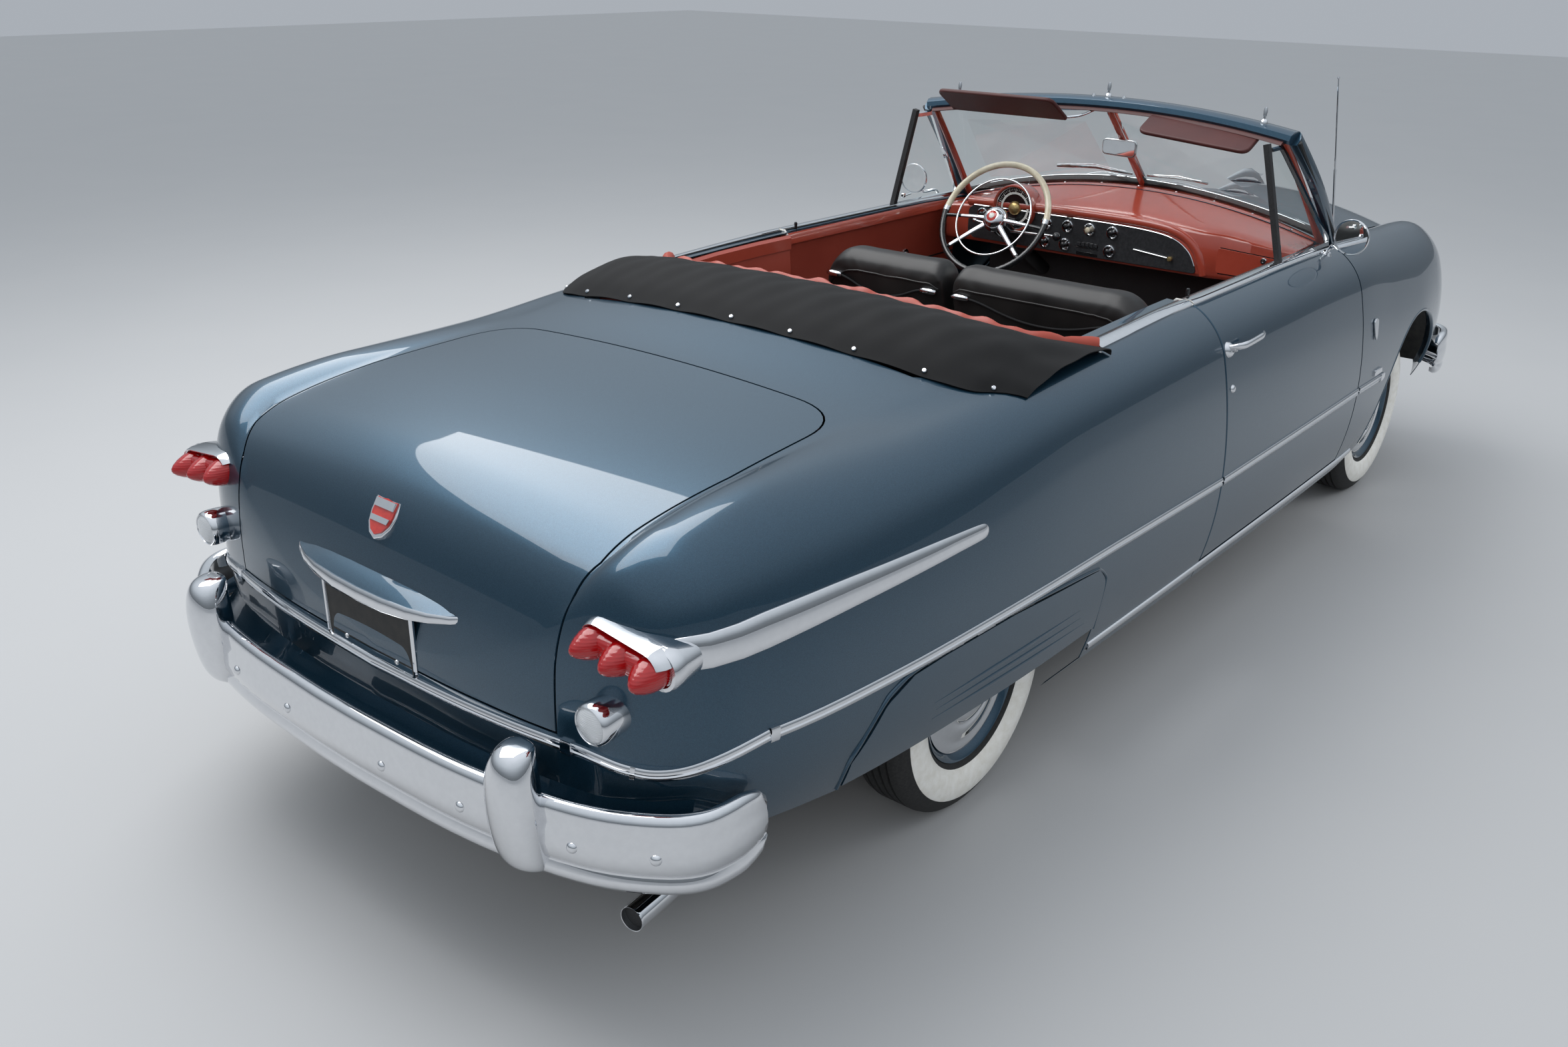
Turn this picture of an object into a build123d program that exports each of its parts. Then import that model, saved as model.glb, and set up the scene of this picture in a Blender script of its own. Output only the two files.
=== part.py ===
from build123d import *
import os
from math import cos, hypot, radians, sin

# Two-door convertible, millimetres. +X forward, +Y to the car's left, +Z up, Z = 0 on the ground,
# X = 0 halfway between the bumper faces.
os.makedirs("parts", exist_ok=True)

# Driving sizes
wheelbase = 2896
rear_axle_x = -1217
front_axle_x = rear_axle_x + wheelbase
half_track = 711
tyre_radius = 330
tyre_width = 172
rim_radius = 190
arch_radius = 410
kingpin_y = 640
axle_z = tyre_radius

skin = 22             # outer panels with their inner flange
door_wall = 95        # whole door, outer skin to trim panel
shut_gap = 5          # round everything that opens
seat_gap = 0.3        # between curved pieces that sit on each other
tall, far_y = 2000, 1100   # above and outside the whole body

door_front_x = 972
door_rear_x = -170
door_bottom_z = 348
hood_rear_x = 1092
hood_lip_z = 800
lid_front_x = -1500
lid_bottom_z = 640
lid_half = 590
cabin_rear_x = -1230
cabin_half = 715
floor_z = 305
floor_thick = 12

bumper_low = 400
bumper_high = 560

# Cross-sections of the body, each a row of: x, centre height, panel edge (y, z), crest (y, z),
# shoulder (y, z), widest (y, z), sill (y, z). The edge is the valley beside the hood and the lid, and the
# crest is the top of the fender.
rear_stations = [
    (-2356, 745, 300, 727, 345, 712, 378, 672, 390, 610, 370, 500),
    (-2318, 880, 520, 850, 575, 842, 635, 775, 650, 655, 610, 480),
    (-2262, 978, 585, 951, 680, 962, 748, 862, 765, 660, 715, 465),
    (-2150, 1030, 598, 1003, 705, 1024, 818, 905, 848, 655, 795, 430),
    (-1900, 1058, 600, 1036, 708, 1045, 845, 912, 890, 640, 835, 395),
    (-1500, 1082, 600, 1055, 708, 1046, 860, 925, 912, 620, 862, 350),
    (-1050, 1135, 660, 1082, 750, 1066, 873, 948, 921, 610, 870, 300),
    (-600, 1134, 695, 1092, 780, 1074, 877, 956, 922, 605, 871, 291),
    (door_rear_x, 1130, 715, 1098, 795, 1078, 878, 960, 922, 602, 872, 288),
]
cabin_stations = [
    (door_rear_x, 1130, 715, 1098, 795, 1078, 878, 960, 922, 602, 872, 288),
    (400, 1130, 715, 1098, 795, 1078, 879, 960, 923, 600, 873, 288),
    (door_front_x, 1130, 712, 1094, 790, 1070, 876, 945, 921, 600, 870, 290),
]
front_stations = [
    (door_front_x, 1192, 702, 1087, 786, 1068, 876, 945, 921, 600, 870, 290),
    (1350, 1165, 660, 1056, 752, 1048, 868, 910, 916, 605, 862, 320),
    (1679, 1135, 632, 1020, 740, 1026, 856, 885, 906, 615, 850, 350),
    (2000, 1095, 607, 986, 728, 1004, 832, 868, 872, 630, 815, 380),
    (2200, 1045, 590, 940, 705, 966, 796, 850, 832, 640, 775, 400),
    (2310, 985, 565, 888, 670, 902, 750, 815, 785, 650, 730, 420),
    (2355, 925, 530, 842, 610, 831, 690, 762, 725, 655, 670, 440),
    (2375, 885, 480, 818, 550, 800, 620, 742, 650, 655, 600, 448),
]
station_step = 110    # measured along the surface, so the ends get more sections


def surface_run(start, end):
    """How far the body's surface runs between two stations, near enough to space sections by."""
    return hypot(end[0] - start[0], (end[1] - start[1]) / 2, end[8] - start[8])


def faired(stations, step):
    """The same stations with more between them, on a curve through each column that never overshoots."""
    spans = [surface_run(start, end) for start, end in zip(stations, stations[1:])]
    steepness = [[(b - a) / span for a, b in zip(start, end)]
                 for start, end, span in zip(stations, stations[1:], spans)]
    slopes = [steepness[0]]
    for before, after in zip(steepness, steepness[1:]):
        slopes.append([2 * a * b / (a + b) if a * b > 0 else 0 for a, b in zip(before, after)])
    slopes.append(steepness[-1])
    rows = []
    for start, end, span, slope_in, slope_out in zip(stations, stations[1:], spans, slopes, slopes[1:]):
        pieces = max(2, round(span / step))
        for piece in range(pieces):
            t = piece / pieces
            rise = t * t * (3 - 2 * t)
            rows.append(tuple(a + rise * (b - a) + span * t * (1 - t) * ((1 - t) * m - t * n)
                              for a, b, m, n in zip(start, end, slope_in, slope_out)))
    return rows + [stations[-1]]


def across(x):
    """A plane across the car: its own axes run along +Y and +Z."""
    return Plane(origin=(x, 0, 0), x_dir=(0, 1, 0), z_dir=(1, 0, 0))


def along(y):
    """A plane along the car: its own axes run along +X and +Z, and it faces -Y."""
    return Plane(origin=(0, y, 0), x_dir=(1, 0, 0), z_dir=(0, -1, 0))


def half_section(station, inset):
    """The left half of one body section as a face: five tangent arcs, closed at the sill and the centre."""
    (x, centre_z, edge_y, edge_z, crest_y, crest_z, side_y, side_z,
     wide_y, wide_z, sill_y, sill_z) = station
    floor_drop = 3 * inset
    top = (0, centre_z - inset)
    edge = (edge_y - 0.3 * inset, edge_z - inset)
    crest = (crest_y - 0.35 * inset, crest_z - 0.95 * inset)
    shoulder = (side_y - 0.8 * inset, side_z - 0.5 * inset)
    widest = (wide_y - inset, wide_z)
    sill = (sill_y - inset, sill_z - floor_drop)
    with BuildSketch(across(x)) as face:
        with BuildLine():
            TangentArc(top, edge, tangent=(1, 0))
            side = TangentArc(widest, shoulder, tangent=(0, 1))
            haunch = TangentArc(shoulder, crest, tangent=side % 1)
            TangentArc(crest, edge, tangent=haunch % 1)
            TangentArc(widest, sill, tangent=(0, -1))
            Polyline(sill, (0, sill_z - floor_drop), top)
        make_face()
    return face.sketch.face()


def half_body(stations, inset):
    """Left half of the body between two stations, as one solid of narrow ruled bands."""
    sections = [half_section(station, inset) for station in stations]
    with BuildPart() as half:
        loft(sections, ruled=True)
    return half.part


def half_shell(stations, wall, rear_closed=False, front_closed=False):
    """Left half of the body as a wall, open underneath, and at each end unless that is closed."""
    rear_x, front_x = stations[0][0], stations[-1][0]
    outside, inside = half_body(stations, 0), half_body(stations, wall)
    with BuildPart() as hollow:
        add(inside)
        if rear_closed:
            add(box_between((rear_x - 1, -50, 0), (rear_x + wall, far_y, tall)), mode=Mode.SUBTRACT)
        if front_closed:
            add(box_between((front_x - wall, -50, 0), (front_x + 1, far_y, tall)), mode=Mode.SUBTRACT)
    with BuildPart() as shell:
        add(outside)
        add(hollow.part, mode=Mode.SUBTRACT)
    return shell.part


def prism_down(points, z_low, z_high):
    """A plan outline given height."""
    with BuildPart() as block:
        with BuildSketch(Plane.XY.offset(z_low)):
            with BuildLine():
                Polyline(*points, close=True)
            make_face()
        extrude(amount=z_high - z_low)
    return block.part


def box_between(low, high):
    """A plain block from one corner to the other."""
    with BuildPart() as block:
        with Locations([tuple((a + b) / 2 for a, b in zip(low, high))]):
            Box(*(b - a for a, b in zip(low, high)))
    return block.part


def both_sides(half):
    """A piece that crosses the centre line, from its left half."""
    with BuildPart() as whole:
        add(half)
        mirror(about=Plane.XZ)
    return whole.part


def write(solid, label):
    """Names a finished piece and writes its file."""
    solid.label = label
    export_step(solid, f"parts/{label}.step")


def write_pair(left, name):
    """Writes a left piece and its mirror image as two pieces."""
    write(left, f"{name}_left")
    with BuildPart() as right:
        add(left)
        mirror(about=Plane.XZ, mode=Mode.REPLACE)
    write(right.part, f"{name}_right")


# Body solids that the panels are cut from
front_rows = faired(front_stations, station_step)
rear_rows = faired(rear_stations, station_step)
front_shell = half_shell(front_rows, skin, front_closed=True)
rear_shell = half_shell(rear_rows, skin, rear_closed=True)
cabin_shell = half_shell(cabin_stations, door_wall)
cabin_outside = half_body(cabin_stations, 0)
with BuildPart() as front_solid:
    add(half_body(front_rows, 0))
    mirror(about=Plane.XZ)
front_outside = front_solid.part
with BuildPart() as rear_solid:
    add(half_body(rear_rows, 0))
    mirror(about=Plane.XZ)
rear_outside = rear_solid.part
sill_shell = half_shell(cabin_stations, 90)

# Plans of the hood and the trunk lid, along the panel edge of the sections; both pass the centre line a little
past_centre = -10
hood_rear_half = 650  # straight back from the next point, so that the corner swings clear
hood_line = [(x, edge_y - 12) for x, centre, edge_y, *rest in front_stations if x > hood_rear_x]
hood_plan = [(hood_rear_x, past_centre), (hood_rear_x, hood_rear_half)] + hood_line
hood_plan += [(2450, 470), (2450, past_centre)]
lid_corner = 150
lid_rear_half = 545
lid_plan = [(lid_front_x, past_centre), (lid_front_x, lid_half - 20), (-1900, lid_half), (-2240, lid_half - 8),
            (-2330, lid_rear_half), (-2500, lid_rear_half - 10), (-2500, past_centre)]


def plan_prism(plan, grow, z_low, corner=0):
    """The volume over a plan outline, grown all round by the gap where asked, with a rounded corner."""
    with BuildPart() as block:
        with BuildSketch(Plane.XY.offset(z_low)) as outline:
            with BuildLine():
                Polyline(*plan, close=True)
            make_face()
            if corner:
                fillet(outline.vertices().sort_by(Axis.X)[-2:].sort_by(Axis.Y)[-1], corner)
            if grow:
                offset(amount=grow, kind=Kind.INTERSECTION)
        extrude(amount=tall - z_low)
    return block.part


lid_opening = plan_prism(lid_plan, shut_gap, 0, lid_corner)


# Hood
with BuildPart() as hood_half:
    add(front_shell)
    add(plan_prism(hood_plan, 0, hood_lip_z), mode=Mode.INTERSECT)
write(both_sides(hood_half.part), "hood")

# Headlamps: a deep case, a stepped rim and a domed lens, on the ends of the fenders
lamp_y = 655
lamp_z = 745
lamp_radius = 88
lamp_back_x = 2275
# Run forward from the back of the case, and radius
lamp_profile = [(0, 0), (0, lamp_radius), (100, lamp_radius), (108, lamp_radius + 8),
                (116, lamp_radius + 8), (122, lamp_radius), (122, lamp_radius - 6), (131, lamp_radius - 32),
                (137, lamp_radius - 60), (139, 0)]
with BuildPart() as lamps:
    with BuildSketch(along(lamp_y)):
        with BuildLine():
            Polyline(*[(lamp_back_x + run, lamp_z + r) for run, r in lamp_profile], close=True)
        make_face()
    revolve(axis=Axis((0, lamp_y, lamp_z), (1, 0, 0)))
    mirror(about=Plane.XZ)
write(lamps.part, "headlamps")

# Front fenders, open at the wheel and at the nose, where the grille panel sits
grille_back_x = front_stations[-1][0] - skin
grille_half = 556
with BuildPart() as fender:
    add(front_shell)
    add(plan_prism(hood_plan, shut_gap, hood_lip_z - shut_gap), mode=Mode.SUBTRACT)
    add(box_between((0, -50, 0), (door_front_x + 0.01, far_y, tall)), mode=Mode.SUBTRACT)
    add(box_between((door_front_x - 1, -50, 700), (hood_rear_x + 0.01, 640, tall)), mode=Mode.SUBTRACT)
    add(box_between((grille_back_x, -50, 400), (2500, grille_half + seat_gap, hood_lip_z - 5)),
        mode=Mode.SUBTRACT)
    with Locations(Location((front_axle_x, 700, axle_z + 15), (90, 0, 0))):
        Cylinder(arch_radius, 500, mode=Mode.SUBTRACT)
    with Locations(Location((lamp_back_x - seat_gap, lamp_y, lamp_z), (0, 90, 0))):
        Cylinder(lamp_radius + seat_gap, 200, align=(Align.CENTER, Align.CENTER, Align.MIN),
                 mode=Mode.SUBTRACT)
    add(box_between((front_axle_x - arch_radius, 450, 0), (front_axle_x + arch_radius, far_y, axle_z + 15)),
        mode=Mode.SUBTRACT)
fender_solid = fender.part.solids().sort_by(SortBy.VOLUME)[-1]
with BuildPart() as fender_left:
    add(fender_solid)
write_pair(fender_left.part, "front_fender")

# Cowl: the panel between hood and windshield, with the firewall under it
firewall_x = 1060
with BuildPart() as firewall:
    add(box_between((firewall_x, 0, floor_z), (firewall_x + 20, 640, tall)))
    add(front_outside, mode=Mode.INTERSECT)
with BuildPart() as cowl_half:
    add(front_shell)
    add(box_between((door_front_x, -50, 980), (hood_rear_x - shut_gap, 640, tall)), mode=Mode.INTERSECT)
    add(firewall.part)
write(both_sides(cowl_half.part), "cowl")

# Doors
with BuildPart() as door:
    add(cabin_shell)
    add(box_between((door_rear_x + shut_gap, 100, door_bottom_z), (door_front_x - shut_gap, far_y, tall)),
        mode=Mode.INTERSECT)
    add(box_between((-1000, 0, 0), (2000, cabin_half, tall)), mode=Mode.SUBTRACT)
write_pair(door.part, "door")

# Floor: pan, rockers, seat riser and trunk floor
trunk_floor_z = 520
riser_x = -760
with BuildPart() as floor_half:
    add(sill_shell)
    add(box_between((door_rear_x, 700, 0), (door_front_x, far_y, door_bottom_z - shut_gap)), mode=Mode.INTERSECT)
    add(box_between((riser_x, 0, floor_z), (firewall_x - 0.01, 790, floor_z + floor_thick)))
    add(box_between((riser_x - floor_thick, 0, floor_z), (riser_x, 600, trunk_floor_z + floor_thick)))
    add(box_between((-2290, 0, trunk_floor_z), (riser_x - 1, 600, trunk_floor_z + floor_thick)))
write(both_sides(floor_half.part), "floor")

# Rear lamps: on each fender end three red lobes in a bright case, and a round backup lamp below
tail_y, tail_z = 705, 846
lobe_pitch = 62
lobe_tilt = 7         # the outer lobe is lower
case_back_x, case_front_x = -2215, -2292
lobe_reach = 26
backup_y, backup_z, backup_radius = 615, 658, 43
backup_back_x, backup_face_x = -2260, -2362
with BuildPart() as rear_lamps:
    with BuildSketch(across(case_back_x)) as case:
        with Locations(Location((tail_y, tail_z, 0), (0, 0, -lobe_tilt))):
            SlotOverall(3 * lobe_pitch + 22, 66)
    extrude(amount=case_front_x - case_back_x)
    for lobe in (-1, 0, 1):
        place = (case_front_x, tail_y + lobe * lobe_pitch * cos(radians(lobe_tilt)),
                 tail_z - lobe * lobe_pitch * sin(radians(lobe_tilt)))
        with Locations(Location(place, (0, -90, 0))):
            Cone(28, 12, lobe_reach, align=(Align.CENTER, Align.CENTER, Align.MIN))
    with Locations(Location((backup_back_x, backup_y, backup_z), (0, -90, 0))):
        Cylinder(backup_radius, backup_back_x - backup_face_x, align=(Align.CENTER, Align.CENTER, Align.MIN))
    with Locations(Location((backup_face_x, backup_y, backup_z), (0, -90, 0))):
        Cone(backup_radius - 4, 20, 10, align=(Align.CENTER, Align.CENTER, Align.MIN))
    mirror(about=Plane.XZ)
write(rear_lamps.part, "rear_lamps")

# Fender skirts fill the rear wheel openings down to the skirt line
skirt_low = 400
skirt_outline = [(-1845, 300), (-1845, 466), (-1766, 580), (-1680, 618), (-1568, 622), (-1306, 617),
                 (-898, 588), (-853, 545), (-853, 300)]


def skirt_prism(z_low):
    """The opening that a skirt fills, as a volume across the left side of the car."""
    with BuildPart() as block:
        with BuildSketch(along(700)):
            with BuildLine():
                Polyline(*[(x, max(z, z_low)) for x, z in skirt_outline], close=True)
            make_face()
        extrude(amount=-400)
    return block.part


with BuildPart() as skirt:
    add(rear_shell)
    add(skirt_prism(skirt_low), mode=Mode.INTERSECT)
    mirror(about=Plane.XZ)
write(skirt.part, "fender_skirts")

# Quarter panels
cabin_cut = [(0, -10), (0, 690), (-1060, 690), (-1150, 660), (cabin_rear_x, 560), (cabin_rear_x, -10)]
with BuildPart() as quarter:
    add(rear_shell)
    add(box_between((-2500, -50, 0), (cabin_rear_x, lid_half + 12, tall)), mode=Mode.SUBTRACT)
    add(lid_opening, mode=Mode.SUBTRACT)
    add(prism_down(cabin_cut, 0, tall), mode=Mode.SUBTRACT)
    add(skirt_prism(0), mode=Mode.SUBTRACT)
    add(rear_lamps.part, mode=Mode.SUBTRACT)
quarter_solid = quarter.part.solids().sort_by(SortBy.VOLUME)[-1]
with BuildPart() as quarter_left:
    add(quarter_solid)
write_pair(quarter_left.part, "quarter_panel")

# Deck panel in front of the lid
with BuildPart() as deck_half:
    add(rear_shell)
    add(box_between((-1950, -50, 900), (cabin_rear_x, lid_half + 12, tall)), mode=Mode.INTERSECT)
    add(lid_opening, mode=Mode.SUBTRACT)
deck_solid = deck_half.part.solids().sort_by(Axis.X)[-1]
write(both_sides(deck_solid), "deck_panel")

# Trunk lid, with the plate bracket under its curved lamp hood
plate_x, plate_z = -2366, 696
plate_hole_y, plate_hole_z = 177.8, 120.6
# Sections of the lamp hood: distance from the middle, root x, lip x, top z, lip z
lamp_hood = [(0, -2300, -2384, 806, 770), (150, -2300, -2378, 806, 774), (240, -2295, -2352, 804, 780),
             (288, -2290, -2312, 800, 788)]
with BuildPart() as lid_half_part:
    sections = []
    for y, root, lip, top, lip_z in lamp_hood:
        with BuildSketch(along(y)) as rib:
            with BuildLine():
                Polyline((root, top), ((root + lip) / 2, top - 6), (lip, lip_z + 6), (lip, lip_z),
                         (root, lip_z - 14), close=True)
            make_face()
        sections.append(rib.sketch.face())
    loft(sections, ruled=True)
    add(rear_shell)
    add(plan_prism(lid_plan, 0, lid_bottom_z, lid_corner), mode=Mode.INTERSECT)
with BuildPart() as lid_part:
    add(lid_half_part.part)
    mirror(about=Plane.XZ)
    add(box_between((plate_x, -160, plate_z - 82), (plate_x + 4, 160, plate_z + 82)))
    for side in (1, -1):
        add(box_between((plate_x + 4, side * 115 - 12, plate_z - 40), (-2345, side * 115 + 12, plate_z)))
    with BuildSketch(Plane(origin=(plate_x - 1, 0, plate_z), x_dir=(0, -1, 0), z_dir=(-1, 0, 0))):
        with GridLocations(plate_hole_y, plate_hole_z, 2, 2):
            Circle(3.5)
    extrude(amount=-6, mode=Mode.SUBTRACT)
write(lid_part.part, "trunk_lid")

# Rear panel below the lid
with BuildPart() as rear_half:
    add(rear_shell)
    add(box_between((-2500, -50, 0), (-2150, lid_half + 12, lid_bottom_z - shut_gap)), mode=Mode.INTERSECT)
    add(rear_lamps.part, mode=Mode.SUBTRACT)
write(both_sides(rear_half.part), "rear_panel")

# Grille: a panel behind one wide bar with two bullet-shaped ends
grille_z = 640
with BuildPart() as grille:
    add(box_between((grille_back_x, -grille_half, 445), (grille_back_x + 12, grille_half, hood_lip_z - 8)))
    with BuildSketch(Plane(origin=(grille_back_x + 10, 0, grille_z), x_dir=(0, 1, 0), z_dir=(1, 0, 0))):
        SlotOverall(2 * grille_half, 74)
    extrude(amount=40)
    with BuildSketch(along(330)):
        with BuildLine():
            root, tip = (grille_back_x + 40, grille_z + 68), (grille_back_x + 95, grille_z)
            ThreePointArc(root, (grille_back_x + 82, grille_z + 36), tip)
            Polyline(tip, (grille_back_x + 40, grille_z), root)
        make_face()
    revolve(axis=Axis((0, 330, grille_z), (1, 0, 0)))
    mirror(about=Plane.XZ)
write(grille.part, "grille")


# Bumpers. The bar's section, out and up from its middle line, is crowned with turned-in edges.
bumper_mid = (bumper_low + bumper_high) / 2
bumper_section = [(-16, 72), (-4, 79), (7, 75), (13, 58), (13, 34), (17, 16), (18, -14), (14, -50), (5, -72),
                  (-6, -79), (-18, -74), (-6, -66), (0, -48), (4, -12), (2, 16), (0, 34), (1, 56), (-4, 66)]
# Guards: height, reach beyond the bar's face line, half width
guard_rows = [(388, 8, 50), (430, 34, 66), (500, 47, 66), (575, 50, 58), (630, 40, 46), (652, 18, 32)]
guard_y = 540
guard_base_x = 2444.5
guard_back_x = 2405


def bumper_bar(facing, outline):
    """A pressed bar that wraps round the body: its section swept along a plan line of tangent arcs."""
    with BuildPart() as bar:
        with BuildLine() as path:
            FilletPolyline(*[(facing * x, y, bumper_mid) for x, y in outline], radius=110)
        start = path.wires()[0]
        with BuildSketch(Plane(origin=start @ 0, x_dir=(0, outline[0][1], 0), z_dir=start % 0)):
            with BuildLine():
                Polyline(*bumper_section, close=True)
            make_face()
        sweep()
    return bar.part


def bumper_guard(facing):
    """A guard with a ridge down its face, through a few level sections."""
    sections = []
    for z, reach, half in guard_rows:
        with BuildSketch(Plane.XY.offset(z)) as row:
            with BuildLine():
                face_x = guard_base_x + reach
                Polyline(*[(facing * x, guard_y + w) for x, w in (
                    (guard_back_x, -half), (face_x - 26, -half), (face_x - 5, -0.5 * half), (face_x, 0),
                    (face_x - 5, 0.5 * half), (face_x - 26, half), (guard_back_x, half))], close=True)
            make_face()
        sections.append(row.sketch.face())
    with BuildPart() as guard:
        loft(sections, ruled=True)
    return guard.part


# Plan points of each bar's middle line, from one wrapped end to the other
rear_plan = [(2110, 872), (2285, 860), (2392, 705), (2466, 300), (2466, -300), (2392, -705), (2285, -860),
             (2110, -872)]
front_plan = [(2130, 868), (2318, 848), (2412, 705), (2466, 300), (2466, -300), (2412, -705), (2318, -848),
              (2130, -868)]
with BuildPart() as bumper_rear:
    add(bumper_bar(-1, rear_plan))
    for side in (1, -1):
        add(box_between((-2460, side * 420 - 30, 440), (-2240, side * 420 + 30, 468)))
    add(bumper_guard(-1))
    mirror(about=Plane.XZ)
write(bumper_rear.part, "bumper_rear")

with BuildPart() as bumper_front:
    add(bumper_bar(1, front_plan))
    for side in (1, -1):
        add(box_between((2260, side * 390 - 30, 402), (2460, side * 390 + 30, 418)))
    add(bumper_guard(1))
    mirror(about=Plane.XZ)
write(bumper_front.part, "bumper_front")

# Wheels and tyres
tyre_side = tyre_width / 2


def tyre_solid(x, y):
    """A tyre about its own axle, with rounded shoulders."""
    with BuildPart() as tyre:
        with BuildSketch(across(x)) as section:
            with BuildLine():
                low, high = axle_z + rim_radius, axle_z + tyre_radius
                mid = axle_z + 255
                Polyline((y - 55, low), (y + 55, low))
                ThreePointArc((y + 55, low), (y + tyre_side, mid), (y + 62, high - 6))
                Polyline((y + 62, high - 6), (y + 50, high), (y - 50, high), (y - 62, high - 6))
                ThreePointArc((y - 62, high - 6), (y - tyre_side, mid), (y - 55, low))
            make_face()
        revolve(axis=Axis((x, 0, axle_z), (0, 1, 0)))
    return tyre.part


def wheel_solid(x, y):
    """Rim, disc and domed cover as one solid; y is the wheel's middle and the cover faces away from the car."""
    out = 1 if y > 0 else -1
    r = rim_radius - seat_gap
    with BuildPart() as wheel:
        with BuildSketch(across(x)):
            with BuildLine():
                Polyline(
                    (y - out * 62, axle_z + r),
                    (y - out * 62, axle_z + r - 12),
                    (y + out * 20, axle_z + r - 12),
                    (y + out * 30, axle_z + 60),
                    (y + out * 30, axle_z),
                    (y + out * 79, axle_z),
                    (y + out * 74, axle_z + 40),
                    (y + out * 62, axle_z + 88),
                    (y + out * 60, axle_z + 110),
                    (y + out * 52, axle_z + 145),
                    (y + out * 55, axle_z + 165),
                    (y + out * 48, axle_z + 176),
                    (y + out * 62, axle_z + r),
                    close=True,
                )
            make_face()
        revolve(axis=Axis((x, 0, axle_z), (0, 1, 0)))
    return wheel.part


corners = [("front_left", front_axle_x, half_track), ("front_right", front_axle_x, -half_track),
           ("rear_left", rear_axle_x, half_track), ("rear_right", rear_axle_x, -half_track)]
for name, x, y in corners:
    write(tyre_solid(x, y), f"tyre_{name}")
    write(wheel_solid(x, y), f"wheel_{name}")

# Steering knuckles with their brake drums; the spindle ends just inside the wheel's disc
kingpin_radius = 22
spindle_end = half_track + 30 - seat_gap
for name, side in (("left", 1), ("right", -1)):
    with BuildPart() as knuckle:
        with Locations(Location((front_axle_x, side * 680, axle_z), (90, 0, 0))):
            Cylinder(135, 70)
        with Locations(Location((front_axle_x, side * (spindle_end - 40), axle_z), (90, 0, 0))):
            Cylinder(20, 80)
        with Locations((front_axle_x, side * kingpin_y, axle_z)):
            Cylinder(kingpin_radius, 240)
        add(box_between((front_axle_x - 30, side * 650 - 20, axle_z - 70),
                        (front_axle_x + 30, side * 650 + 20, axle_z + 70)))
    write(knuckle.part, f"knuckle_{name}")

# Chassis: side rails, crossmembers and the front arms
rail_y = 390
rail_width = 60
rail_side = [(-2250, 440), (-1600, 440), (-1500, 520), (-950, 520), (-790, 300), (1250, 300), (1400, 400),
             (2000, 400), (2180, 440), (2260, 440)]
rail_depth = 100
body_mounts = [(1150, 300, floor_z), (250, 300, floor_z), (-700, 300, floor_z), (-1560, 440, trunk_floor_z),
               (-2180, 440, trunk_floor_z)]
arm_end = kingpin_y - kingpin_radius - seat_gap
spring_y = 520
spring_front_x, spring_front_z = -790, 280
spring_rear_x, spring_rear_z = rear_axle_x - 680, 411
eye_pin = 8
with BuildPart() as chassis:
    for side in (1, -1):
        with BuildSketch(along(side * rail_y)):
            with BuildLine():
                Polyline(*rail_side, *[(x, z - rail_depth) for x, z in reversed(rail_side)], close=True)
            make_face()
        extrude(amount=rail_width / 2, both=True)
    for x, low, high in ((-2200, 350, 430), (-900, 370, 430), (300, 210, 290), (front_axle_x, 305, 395),
                         (2150, 350, 420)):
        add(box_between((x - 60, -rail_y, low), (x + 60, rail_y, high)))
    for side in (1, -1):
        for low in (axle_z - 110, axle_z + 80):
            with BuildSketch(Plane.XY.offset(low)):
                with BuildLine():
                    Polyline((front_axle_x - 110, side * rail_y), (front_axle_x + 110, side * rail_y),
                             (front_axle_x + 35, side * arm_end), (front_axle_x - 35, side * arm_end), close=True)
                make_face()
            extrude(amount=22)
        add(box_between((front_axle_x - 110, side * rail_y - 30, 210),
                        (front_axle_x + 110, side * rail_y + 30, 440)))
        for x, low, high in body_mounts:
            with Locations((x, side * rail_y, low - 1)):
                Cylinder(28, high - seat_gap - low + 1, align=(Align.CENTER, Align.CENTER, Align.MIN))
        for x, z in ((spring_front_x, spring_front_z), (spring_rear_x, spring_rear_z)):
            with Locations(Location((x, side * (spring_y + 30 + rail_y) / 2, z), (90, 0, 0))):
                Cylinder(eye_pin, spring_y + 30 - rail_y)
write(chassis.part, "chassis")

# Engine as one block, with the gearbox behind it
with BuildPart() as engine:
    add(box_between((1250, -220, 440), (1900, 220, 900)))
    add(box_between((1080.5, -110, 440), (1250, 110, 640)))
write(engine.part, "engine")

# Rear axle with leaf springs
with BuildPart() as rear_axle:
    with Locations(Location((rear_axle_x, 0, axle_z), (90, 0, 0))):
        Cylinder(38, 2 * 640)
    with Locations((rear_axle_x, 0, axle_z)):
        Sphere(130)
    for side in (1, -1):
        with Locations(Location((rear_axle_x, side * 665, axle_z), (90, 0, 0))):
            Cylinder(135, 60)
        with Locations(Location((rear_axle_x, side * (spindle_end - 40), axle_z), (90, 0, 0))):
            Cylinder(20, 80)
        with BuildSketch(along(side * spring_y)):
            with BuildLine():
                low = [(spring_rear_x, spring_rear_z - 11), (rear_axle_x, axle_z - 56),
                       (spring_front_x, spring_front_z - 11)]
                high = [(x, z + 22) for x, z in reversed(low)]
                ThreePointArc(*low)
                Line(low[-1], high[0])
                ThreePointArc(*high)
                Line(high[-1], low[0])
            make_face()
        extrude(amount=28, both=True)
        for x, z in ((spring_front_x, spring_front_z), (spring_rear_x, spring_rear_z)):
            with Locations(Location((x, side * spring_y, z), (90, 0, 0))):
                Cylinder(17, 56)
                Cylinder(eye_pin, 60, mode=Mode.SUBTRACT)
write(rear_axle.part, "rear_axle")

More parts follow.
